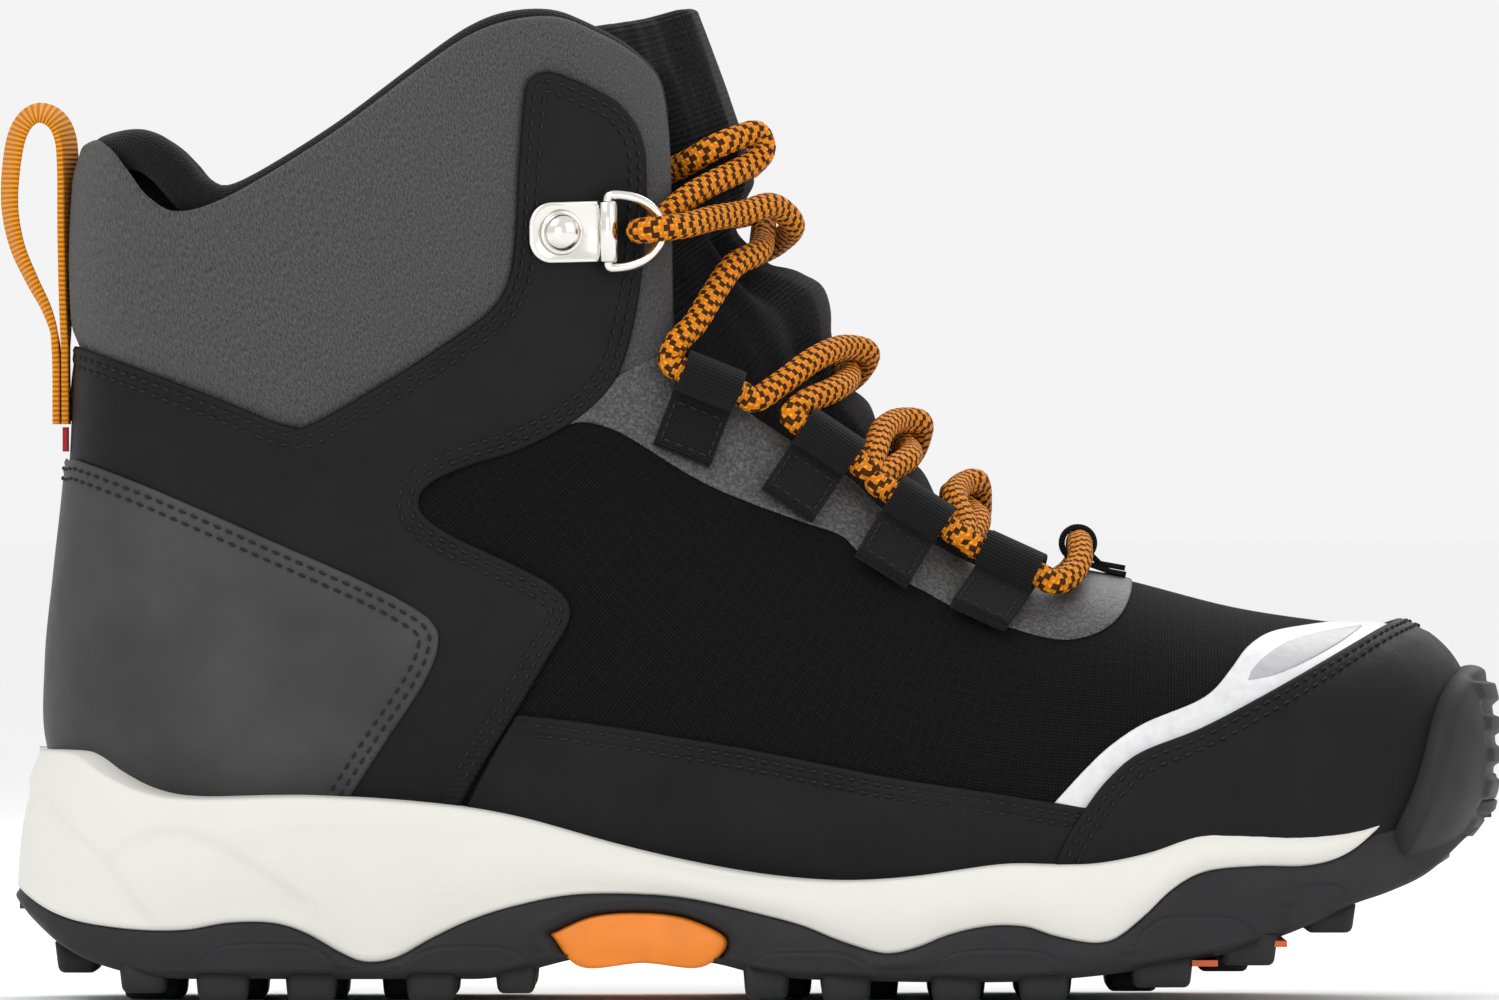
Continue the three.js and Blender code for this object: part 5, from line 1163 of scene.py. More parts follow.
LACE_TAIL = [
    (127.4, 36.2, 151.2), (124.0, 36.6, 150.8), (122.3, 34.0, 150.7), (122.7, 31.0, 150.8),
    (124.6, 28.9, 151.2), (127.6, 27.2, 153.8), (131.5, 23.5, 157.2), (136.5, 18.5, 160.2),
    (141.0, 13.5, 162.4), (144.6, 9.5, 164.6), (146.6, 7.5, 167.3), (145.4, 7.5, 170.2),
    (141.2, 10.6, 169.2), (137.0, 13.5, 167.4), (133.2, 13.4, 165.2), (129.6, 10.6, 163.4),
    (124.5, 9.6, 161.6), (119.0, 10.4, 160.0), (113.0, 12.6, 158.5),
]
LATERAL, MEDIAL = -1, 1
LOOP_LENGTH = 12.0
MEETING_GAP = 0.3  # between the ends of two cord pieces inside a loop
LACE_STEP = 0.55  # along the finished lace
LACE_SIDES = 20


def on_side(points, sign):
    """Points given outwards, on one side of the boot."""
    return [(x, sign * y, z) for x, y, z in points]


def raised(point, lift, share):
    """A point moved by a share of a lift."""
    return tuple(p + q * share for p, q in zip(point, lift))


def between(a, b, share):
    """The point at a share of the way from a to b."""
    return tuple(p + (q - p) * share for p, q in zip(a, b))


def crossing(n, sign, over):
    """Over the tongue from the lower end of loop n to the upper end of the next loop on the other side."""
    turn = LACE_CROSSINGS[n]
    up = on_side(turn["climb"], sign)
    down = on_side(turn["fall"], -sign)
    share = 1.0 if over else 0.0
    up[-1] = raised(up[-1], turn["lift"], share * 0.45)
    down[0] = raised(down[0], turn["lift"], share * 0.45)
    return [*up, raised(turn["cross"], turn["lift"], share), *down]


def lace_route():
    """The middle stretch, from the first loop on the inner side to the first loop on the outer side."""
    def through(n, sign):
        return on_side(LACE_IN_LOOPS[n], sign)

    def meeting(sign):
        upper, lower = through(0, sign)
        return between(between(upper, lower, 0.5), lower, MEETING_GAP / LOOP_LENGTH)

    return [
        meeting(MEDIAL), through(0, MEDIAL)[1], *crossing(0, MEDIAL, False), *through(1, LATERAL),
        *crossing(1, LATERAL, True), *through(2, MEDIAL), *crossing(2, MEDIAL, False), *through(3, LATERAL),
        *on_side(LACE_FRONT, LATERAL), LACE_FRONT_MIDDLE, *on_side(LACE_FRONT, MEDIAL)[::-1],
        *through(3, MEDIAL)[::-1], *crossing(2, LATERAL, True)[::-1], *through(2, LATERAL)[::-1],
        *crossing(1, MEDIAL, False)[::-1], *through(1, MEDIAL)[::-1], *crossing(0, LATERAL, True)[::-1],
        through(0, LATERAL)[1], meeting(LATERAL),
    ]


def tail_route(sign):
    """From the first loop on one side to the ring on the other (sign), and on to the end inside the boot."""
    over = 1.0 if sign == LATERAL else 0.0
    upper, lower = on_side(LACE_IN_LOOPS[0], -sign)
    to_top = on_side(LACE_TO_TOP, -sign)
    to_top[-1] = raised(to_top[-1], LACE_TOP_LIFT, over * 0.7)
    to_ring = on_side(LACE_TO_RING, sign)
    to_ring[0] = raised(to_ring[0], LACE_TOP_LIFT, over * 0.35)
    first = between(between(upper, lower, 0.5), upper, MEETING_GAP / LOOP_LENGTH)
    return [first, upper, *to_top, raised(LACE_TOP_CROSS, LACE_TOP_LIFT, over), *to_ring,
            *on_side(LACE_TAIL, sign)]


def rounded_route(points):
    """A smooth line through the route's points, spaced by the square root of their distances.

    Each span is the Barry-Goldman form of the centripetal Catmull-Rom spline, for all spans at once.
    """
    p = np.array(points, dtype=float)
    p = np.concatenate([[2 * p[0] - p[1]], p, [2 * p[-1] - p[-2]]])
    knots = np.concatenate([[0.0], np.cumsum(np.linalg.norm(np.diff(p, axis=0), axis=1) ** 0.5)])
    a, b, c, d = p[:-3], p[1:-2], p[2:-1], p[3:]
    ta, tb, tc, td = (k[:, None, None] for k in (knots[:-3], knots[1:-2], knots[2:-1], knots[3:]))
    a, b, c, d = (q[:, None, :] for q in (a, b, c, d))
    t = tb + (tc - tb) * np.linspace(0, 1, 24, endpoint=False)[None, :, None]

    def mixed(p, q, tp, tq):
        return (tq - t) / (tq - tp) * p + (t - tp) / (tq - tp) * q

    ab, bc, cd = mixed(a, b, ta, tb), mixed(b, c, tb, tc), mixed(c, d, tc, td)
    line = mixed(mixed(ab, bc, ta, tc), mixed(bc, cd, tb, td), tb, tc).reshape(-1, 3)
    return respaced(np.concatenate([line, p[-2:-1]]), LACE_STEP)


class BuildLaces(bpy.types.Operator):
    """The round lace in the three stretches that meet inside the first loops, and its two aglets"""

    bl_idname = "boot.laces"
    bl_label = "Laces"

    def execute(self, context):
        lace, path = self.cord("lace_middle", lace_route())
        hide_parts("lace")
        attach(lace, "root")
        self.declare(lace, path, "object", "taut", ())
        for side, sign in (("lateral", LATERAL), ("medial", MEDIAL)):
            tail, path = self.cord(f"lace_end_{side}", tail_route(sign))
            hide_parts(f"lace_tail_{side}")
            aglet = self.aglet(side, path)
            start, end = (to_row([130.0, sign * y, 152.0]).tolist() for y in (22.0, 30.0))
            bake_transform(tail)
            self.declare(tail, path, "fitting", "loose", (aglet,))
        return {"FINISHED"}

    def cord(self, name, route):
        """A round tube along the route, its yarns standing out in the braid's lozenges."""
        path = rounded_route(route)
        radius = sizes().lace_diameter / MM / 2
        run = measured(path)
        turn = np.linspace(0, 2 * math.pi, LACE_SIDES, endpoint=False)
        ends = np.clip(np.minimum(run, run[-1] - run) / 0.8, 0.3, 1) ** 0.5
        yarns = 1 + 0.028 * np.sin(run[:, None] * 2 * math.pi / 2.1 + 4 * turn) * np.sin(
            run[:, None] * 2 * math.pi / 2.1 - 4 * turn)
        reach = radius * ends[:, None] * yarns
        profile = np.stack([reach * np.cos(turn), reach * np.sin(turn)], axis=-1)
        points = carried(path, profile, (0.3, 0.1, 1.0)).reshape(-1, 3)
        around = np.broadcast_to(np.linspace(0, 1, LACE_SIDES, endpoint=False), (len(path), LACE_SIDES))
        along = np.broadcast_to(run[:, None], around.shape)
        uv = np.stack([along, around], axis=-1).reshape(-1, 2)
        obj = build(name, points, tube_faces(len(path), LACE_SIDES), FINISHES["lace"], uv=uv,
                    body=None)
        self.close_uv(obj)
        return obj, to_row(path)

    def close_uv(self, obj):
        """Lets the last strip of the tube read up to 1 round it, not back to 0."""
        mesh = obj.data
        flat = np.empty(2 * len(mesh.loops), dtype=np.float32)
        layer = mesh.uv_layers[0].data
        layer.foreach_get("uv", flat)
        around = flat[1::2].reshape(-1)
        quads = 4 * (len(mesh.loops) // 4)
        strip = around[: quads - quads % (4 * LACE_SIDES)].reshape(-1, 4)
        wraps = (strip.max(axis=1) - strip.min(axis=1)) > 0.5
        strip[wraps] = np.where(strip[wraps] < 0.5, strip[wraps] + 1, strip[wraps])
        flat[1::2][: strip.size] = strip.ravel()
        layer.foreach_set("uv", flat)

    def declare(self, obj, path, far_end, lay, with_pieces):
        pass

    def aglet(self, side, path):
        """A crimped tip: a tube that swells at its mouth, narrows on its way and rounds off at its end."""
        step = path[-1] - path[-4]
        step /= np.linalg.norm(step)
        start = path[-1] / MM
        length = 20.0
        way = np.array([0, 0.2, 0.5, 1.5, 10, 18.5, 19.5, 19.9, 20.0]) / 20.0
        reach = np.array([1.6, 2.1, 2.15, 2.05, 1.95, 1.85, 1.6, 1.1, 0.3])
        line = start + step * (MEETING_GAP + way[:, None] * length)
        points = carried(line, circle(1.0, 20)[None] * reach[:, None, None], (0.3, 0.1, 1.0)).reshape(-1, 3)
        obj = build(f"aglet_tip_{side}", points - SHIFT, tube_faces(len(way), 20), FINISHES["aglet"],
                    straight=False)
        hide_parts(f"aglet_{side}")
        return obj


# ---------------------------------------------------------------- collar, lining, tongue and insole
COLLAR_ROLL = 4.2  # radius of the padded roll at the collar's edge
KEEL = 1.0


def crest_line():
    """The crest of the collar's roll, from the heel to the front edge on the inner side."""
    line = traced(LINING_TOP + [(130.0, 138), (130.1, 128)])
    start = np.argmax(line[:, 1] < 0.997)
    line = line[start:]
    line[0, 1] = KEEL
    return line


def roll_at(x):
    """How far x is into the collar's front edge, from 0 to 1, and the radius of the roll there."""
    front = np.clip((x - 112) / 8, 0, 1)
    return front, COLLAR_ROLL - 1.4 * front


class BuildCollar(bpy.types.Operator):
    """The padded knit collar, the lining that rolls over its top, and the linings inside the boot"""

    bl_idname = "boot.collar"
    bl_label = "Collar"

    def execute(self, context):
        both_sides(self.knit)
        self.roll()
        both_sides(self.inner)
        both_sides(self.foot)
        return {"FINISHED"}

    def knit(self, side, mapped):
        thick = sizes().base_thickness / MM
        top = traced(COLLAR_TOP)
        top = top[np.argmax(top[:, 1] < 0.997):]
        top[0, 1] = KEEL
        seam = traced(COLLAR_SEAM)
        seam = seam[: np.argmax(seam[:, 1] > 0.997) or None]
        seam[-1, 1] = KEEL
        loop = mapped(np.concatenate([top, seam[1:]]))
        crest = on_form(*mapped(crest_line()).T)
        edge = traced(QUARTER_TOP + FINGER_TOP + QUARTER_FRONT)
        covered = mapped(np.concatenate([edge, [[8.0, 0.5], [8.0, KEEL]]]))
        strap = on_form(*mapped(traced(QUARTER_TOP + FINGER_TOP + QUARTER_FRONT[:6])).T)
        puff = sizes().collar_puff / MM

        def relief(u, v, points, reach):
            """Swells away from the strap's seam, and falls as a quarter circle to the roll's crest."""
            seam_gap = distance_to(points, strap)
            crest_gap = distance_to(points, crest)
            swell = 0.5 + (puff - 0.5) * (1 - np.exp(-seam_gap / 5.0)) * np.clip(crest_gap / 9, 0, 1)
            under = inside(np.stack([u, v], axis=-1).reshape(-1, 2), covered).reshape(np.shape(u))
            swell = np.where(under, -0.5, swell - 0.6 * np.exp(-seam_gap / 1.2))
            front, radius = roll_at(points[:, 0])
            short = np.clip(radius - crest_gap, 0, radius)
            return swell * (1 - 0.75 * front) + np.sqrt(np.maximum(radius**2 - short**2, 0)) - radius

        made = panel(f"collar_knit_{side}", loop, FINISHES["collar"], -thick, thick,
                     spacing=1.5, rows=(0.4, 1.0), relief=relief)
        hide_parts(f"collar_{side}")

    def roll(self):
        """The lining over the collar's crest: an arc of a circle carried along the crest line."""
        half = respaced_uv(crest_line(), 1.6)
        line = np.concatenate([round_keel(half[1:])[::-1], half])
        u, v = line.T
        crest = on_form(u, v)
        n = normal_at(u, v)
        t = np.gradient(smooth_rows(crest, 5), axis=0)
        up = np.cross(n, t)
        up /= np.linalg.norm(up, axis=1, keepdims=True)
        away = crest - [70.0, 0.0, 130.0]
        up *= np.sign((up * away * [1, 0, 1]).sum(1, keepdims=True))
        columns = 34
        angle = np.radians(np.linspace(-75, 205, columns))[None, :, None]
        radius = roll_at(crest[:, 0])[1][:, None, None]
        points = (crest[:, None] + n[:, None] * radius * (np.cos(angle) - 1.12)
                  + up[:, None] * radius * (np.sin(angle) - 1))
        run = measured(crest)
        uv = np.stack(np.broadcast_arrays(run[:, None], 4.0 * angle[..., 0]), axis=-1).reshape(-1, 2)
        made = build("lining_roll", points.reshape(-1, 3), grid_faces(len(line), columns),
                     FINISHES["lining"], uv=uv)
        thicken(made, 0.8)
        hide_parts("collar_foam")

    def inner(self, side, mapped):
        crest = crest_line()
        turn = 1 if inside(inset(crest, 6.0, 1)[::8], crest_loop(crest)).mean() > 0.5 else -1
        edge = respaced_uv(inset(crest, COLLAR_ROLL - 1.7, turn), 1.5)
        loop = np.concatenate([edge, [[13.6, edge[-1, 1]], [12.4, 0.5], [12.2, KEEL], [edge[0, 0], KEEL]]])
        made = panel(f"lining_upper_{side}", mapped(loop), FINISHES["lining"],
                     offset=-9.6, thickness=0.9, spacing=3.0)
        if side == "medial":
            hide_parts("collar_lining")

    def foot(self, side, mapped):
        loop = np.concatenate([traced([(130, 126), (143, 114.5), (163.5, 101), (180.5, 88), (200, 80)]),
                               [[6.0, 0.003], [1.2, 0.003], [1.2, 0.99], [13.8, 0.99], [14.6, 0.5]]])
        made = panel(f"lining_lower_{side}", mapped(loop), FINISHES["lining"],
                     offset=-3.9, thickness=0.9, spacing=4.0)
        if side == "medial":
            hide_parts("foot_lining")


def crest_loop(crest):
    """The collar's whole area under its crest, for telling which side is inside."""
    return np.concatenate([crest, [[12.0, 0.1], [12.0, KEEL]]])


TONGUE_MIDDLE = [(7.15, -5.3), (7.7, -2.6), (12.2, -2.6), (12.9, -5.6), (13.8, -5.6), (14.8, 1.2), (16, 2.2)]
TONGUE_PUFFS = [(6.75, 0), (6.95, -0.2), (7.25, 0.8), (7.7, 1.6), (8.1, 1.2), (8.45, 0.3), (8.9, 1.7),
                (9.35, 0.4), (9.95, 2.1), (10.55, 0.6), (11.1, 2.4), (11.8, 3.7), (12.4, 2.9), (12.9, 1.2),
                (13.3, 0.3), (14, 0), (15, 0.5), (17, 0.3), (20, 0)]


def eased(x, points):
    """Values met at places along x, joined by half waves."""
    at, value = np.array(points, dtype=float).T
    i = np.clip(np.searchsorted(at, x) - 1, 0, len(at) - 2)
    f = np.clip((x - at[i]) / (at[i + 1] - at[i]), 0, 1)
    return value[i] + (value[i + 1] - value[i]) * (f * f * (3 - 2 * f))


def tongue_face(s, u):
    """How far the tongue's face stands off the form at a distance s from the ridge of section u.

    It sinks under the linings towards its edges, is pressed down by the lace along the middle, and lies low
    where the lace's ends are tucked in past its edges.
    """
    middle = eased(u, TONGUE_MIDDLE)

    def fall(*steps):
        total = steps[0][1] + 0 * s
        for (a, low), (b, high) in zip(steps[:-1], steps[1:]):
            share = np.clip((s - a) / (b - a), 0, 1)
            total = total + (high - low) * share * share * (3 - 2 * share)
        return total

    low = fall((0, middle), (12, middle - 0.6), (17, -5.8), (36, -6.2))
    high = fall((0, middle), (7, middle - 0.6), (12, np.minimum(middle, 0) - 4.6), (17, -6.4), (22, -8),
                (30, -9.5), (36, -9.9))
    tucked = fall((0, middle), (7, middle - 0.8), (10, -2.6), (12, -4.2), (18, -14.8))
    tuck = eased(u, [(13.8, 0), (14.8, 1), (17.6, 1), (18.6, 0)])
    collar = eased(u, [(10.2, 0), (11.2, 1)])
    edge = low + (high - low) * collar
    return edge + (tucked - edge) * tuck


class BuildTongue(bpy.types.Operator):
    """The padded, rib-knit tongue, pressed in by the lace and puffed between its crossings"""

    bl_idname = "boot.tongue"
    bl_label = "Tongue"

    def execute(self, context):
        rows, half = 230, 34
        u = np.linspace(6.75, 20.0, rows)[:, None]
        side = np.linspace(-1, 1, 2 * half + 1)[None, :]
        reach = eased(u, [(6.7, 23), (9, 30), (11, 36), (13.8, 36), (14.6, 19), (17.8, 19), (18.8, 32)])
        s = np.abs(side) * reach
        girth = np.interp(u, U_ROWS, GIRTHS)
        v = side * reach / girth
        puff = sizes().tongue_puff / MM * eased(u, TONGUE_PUFFS) * np.exp(-((s / 17.0) ** 2))
        folds = 0.5 * np.sin(9.0 * u + 0.6 * side) * np.exp(-(((u - 12.6) / 0.8) ** 2))
        folds = folds * np.exp(-((s / 22.0) ** 2))
        outer_offset = tongue_face(s, u) + puff + folds
        rim = np.sqrt(np.clip(1 - np.clip((u - 19.72) / 0.28, 0, 1) ** 2, 0.02, 1))
        thick = 7.0 * (1 - s / 70) * eased(u, [(6.7, 0.4), (9, 1)])
        middle = outer_offset - thick / 2
        u, v = np.broadcast_arrays(u, v)
        outer = on_form(u, v, middle + thick / 2 * rim)
        inner = on_form(u, v, middle - thick / 2 * rim)
        ring = np.concatenate([outer, inner[:, ::-1]], axis=1)
        columns = ring.shape[1]
        faces = grid_faces(rows, columns, wrap=True).tolist()
        last = (rows - 1) * columns
        for j in range(columns // 2 - 1):
            k = columns - 1 - j
            faces.append([j + 1, j, k, k - 1])
            faces.append([last + j, last + j + 1, last + k - 1, last + k])
        along = measured(outer[:, half])[:, None]
        across = side * reach
        uv = np.stack([np.broadcast_to(along, across.shape), across], axis=-1)
        uv = np.concatenate([uv, uv[:, ::-1]], axis=1).reshape(-1, 2)
        tongue = build("tongue_pad", ring.reshape(-1, 3), faces, FINISHES["tongue"], uv=uv)
        face_outwards(tongue)
        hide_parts("tongue")
        return {"FINISHED"}


def face_outwards(obj):
    """Turns a closed mesh's faces out if its volume comes out negative."""
    mesh = obj.data
    mesh.calc_loop_triangles()
    points = np.empty(3 * len(mesh.vertices), dtype=np.float32)
    mesh.vertices.foreach_get("co", points)
    corners = np.empty(3 * len(mesh.loop_triangles), dtype=np.int32)
    mesh.loop_triangles.foreach_get("vertices", corners)
    a, b, c = points.reshape(-1, 3)[corners.reshape(-1, 3)].astype(float).transpose(1, 0, 2)
    if (a * np.cross(b, c)).sum() < 0:
        mesh.flip_normals()


class BuildInsole(bpy.types.Operator):
    """The footbed inside the boot, and the finishes of the pieces that the boot keeps hidden"""

    bl_idname = "boot.insole"
    bl_label = "Insole"

    HIDDEN = {"insole_board": "board", "heel_counter": "stiffener", "toe_puff": "stiffener", "sock": "sock",
              "rivet_washer_lateral": "nickel", "rivet_washer_medial": "nickel", "heel_label": "label"}

    def execute(self, context):
        half = np.array([[1.4, 0.9], [3, 0.74], [6, 0.72], [9, 0.74], [12, 0.78], [13.6, 0.86],
                         [14.3, 0.93], [14.5, 1.0]])
        half = smooth_line(half, 12)
        loop = np.concatenate([half, round_keel(half[:-1])[::-1], [[1.4, 1.0]]])

        def dish(u, v, points, reach):
            """A slight hollow under the heel and a rise in the arch."""
            arch = 0.8 * np.exp(-(((u - 9.5) / 2.0) ** 2)) * (v < 1)
            return arch - 0.6 * np.exp(-(((u - 12.8) / 0.8) ** 2))

        made = panel("footbed_top", loop, FINISHES["footbed"], offset=-10.2, thickness=4.0,
                     spacing=3.0, relief=dish)
        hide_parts("footbed")
        for node, finish in self.HIDDEN.items():
            set_finish(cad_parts[node], FINISHES[finish])
        return {"FINISHED"}


def set_finish(obj, material):
    """Puts a finish in every material slot of a carried-over piece."""
    if not obj.material_slots:
        obj.data.materials.append(material)
    for place in obj.material_slots:
        place.material = material


# ---------------------------------------------------------------- webbing loops, rings and heel pull
def side_frame(x, z, sign, offset, ax, az):
    """Origin and axes on the form's side at (x, z): the first along (ax, az) as drawn, the third out."""
    step = 0.5

    def width(x, z):
        uv = side_uv(np.array([x]), np.array([z]))
        return on_form(uv[:, 0], uv[:, 1])[0, 1]

    slope_x = (width(x + step, z) - width(x - step, z)) / (2 * step)
    slope_z = (width(x, z + step) - width(x, z - step)) / (2 * step)
    out = np.array([-slope_x, sign, -slope_z])
    out /= np.linalg.norm(out)
    first = np.array([ax, sign * (ax * slope_x + az * slope_z), az])
    first /= np.linalg.norm(first)
    origin = np.array([x, sign * width(x, z), z]) + out * offset
    origin[1] += swing(origin[0])
    return origin, first, np.cross(out, first), out


def in_frame(axes, points):
    """Points given along a frame's three axes, in the pattern's leaning frame."""
    origin, first, second, out = axes
    points = np.asarray(points)
    return origin + points[..., 0:1] * first + points[..., 1:2] * second + points[..., 2:3] * out


WEBBING_LOOPS = [((133.9, 116.0), (12.5, -5)), ((155.9, 103.9), (10.5, -7)), ((173.3, 90.5), (9.5, -6)),
                 ((192.3, 79.5), (11, -5))]
WEBBING_THICK = 1.2
TUNNEL_OUT = 4.3  # outer radius of a loop round the lace
LOOP_TAB = 11.0


def rounded_band(width, thick, corner=0.35):
    """A band's section: a flat rectangle whose four corners are quarter circles."""
    quarter = np.linspace(0, math.pi / 2, 4)
    corners = []
    for turn, (sx, sy) in enumerate(((1, 1), (-1, 1), (-1, -1), (1, -1))):
        angle = quarter + turn * math.pi / 2
        corners.append(np.stack([sx * (width / 2 - corner) + corner * np.cos(angle),
                                 sy * (thick / 2 - corner) + corner * np.sin(angle)], axis=-1))
    return np.concatenate(corners)


class BuildWebbing(bpy.types.Operator):
    """Nine loops of ribbed webbing, each folded round the lace; the eight on the sides are sewn down in a box
    of stitches
    """

    bl_idname = "boot.webbing"
    bl_label = "Webbing loops"

    def execute(self, context):
        for side, sign in (("lateral", LATERAL), ("medial", MEDIAL)):
            for number, ((x, z), (ax, az)) in enumerate(WEBBING_LOOPS, start=1):
                axes = side_frame(x, z, sign, 1.3, -sign * ax, -sign * az)
                self.loop(f"{side}_{number}", axes, LOOP_TAB)
        ridge = np.array([6.5])
        zero = np.array([0.0])
        origin = on_form(ridge, zero)[0]
        out = normal_at(ridge, zero)[0]
        origin = origin + out * 1.1 + [0, swing(origin[0]), 0]
        first = np.array([0.0, 1.0, 0.0])
        self.loop("front", (origin, first, np.cross(out, first), out), LOOP_TAB * 0.55)
        return {"FINISHED"}

    def loop(self, name, axes, tab):
        """The band's middle line runs along its tab, round the lace and back over the tab."""
        middle = (TUNNEL_OUT if tab == LOOP_TAB else 3.8) - WEBBING_THICK / 2
        low = WEBBING_THICK / 2 - (0 if tab == LOOP_TAB else 0.7)
        turn = np.radians(np.linspace(-90, 212, 44))
        curve = np.stack([TUNNEL_OUT + middle * np.cos(turn), TUNNEL_OUT + middle * np.sin(turn)], axis=-1)
        back = [[-0.6, low + 1.2], [-2.2, low + 1.2], [-tab + 0.4, low + 1.2]]
        line = respaced(np.concatenate([[[-tab, low], [-tab / 2, low]], curve, back]), 0.4)
        path = np.stack([np.zeros(len(line)), line[:, 0], line[:, 1]], axis=-1)
        section = rounded_band(LOOP_LENGTH, WEBBING_THICK - 0.1)
        points = carried(path, section, (1.0, 0.0, 0.0))
        run = measured(line)
        uv = np.stack(np.broadcast_arrays(section[None, :, 0], run[:, None]), axis=-1)
        made = build(f"webbing_{name}", in_frame(axes, points.reshape(-1, 3)),
                     tube_faces(len(line), len(section)), FINISHES["tape"], uv=uv.reshape(-1, 2),
                     straight=False)
        face_outwards(made)
        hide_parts(f"lace_loop_{name}")
        if tab == LOOP_TAB:
            self.box_stitches(name, axes, tab)

    def box_stitches(self, name, axes, tab):
        """A rectangle of stitches near the tab's edge."""
        long, low, high = LOOP_LENGTH / 2 - 1.1, -tab + 1.3, -1.6
        corners = [(-long, low), (long, low), (long, high), (-long, high), (-long, low)]
        rows = [np.array(corners[i:i + 2]) for i in range(4)]
        centres, along = [], []
        for a, b in rows:
            count = max(2, int(round(np.linalg.norm(b - a) / 2.2)))
            share = (np.arange(count) + 0.5)[:, None] / count
            centres.append(a + (b - a) * share)
            along.append(np.broadcast_to((b - a) / np.linalg.norm(b - a), (count, 2)))
        flat = np.concatenate(centres)
        ahead = np.concatenate(along)
        lift = np.full((len(flat), 1), 2 * WEBBING_THICK - 0.02)
        _, first, second, out = axes
        at = in_frame(axes, np.concatenate([flat, lift], axis=1))
        along3 = ahead[:, 0:1] * first + ahead[:, 1:2] * second
        points = stitch_points(at, along3, np.broadcast_to(out, at.shape))
        build(f"webbing_stitches_{name}", points.reshape(-1, 3), bead_faces(len(flat)), FINISHES["thread"],
              straight=False)


RIVET_AT = (106.5, 150.5)
PLATE_WIDTH, PLATE_LENGTH, PLATE_THICK = 12.0, 15.0, 1.0
PLATE_BACK = -6.5
BAR_AT = PLATE_LENGTH + PLATE_BACK + 0.5
BAR_UP = 2.05
RING_WIRE, RING_WIDTH, RING_REACH = 2.0, 16.4, 11.6
RING_TILT = math.radians(12)
RIVET_RADIUS = 4.3


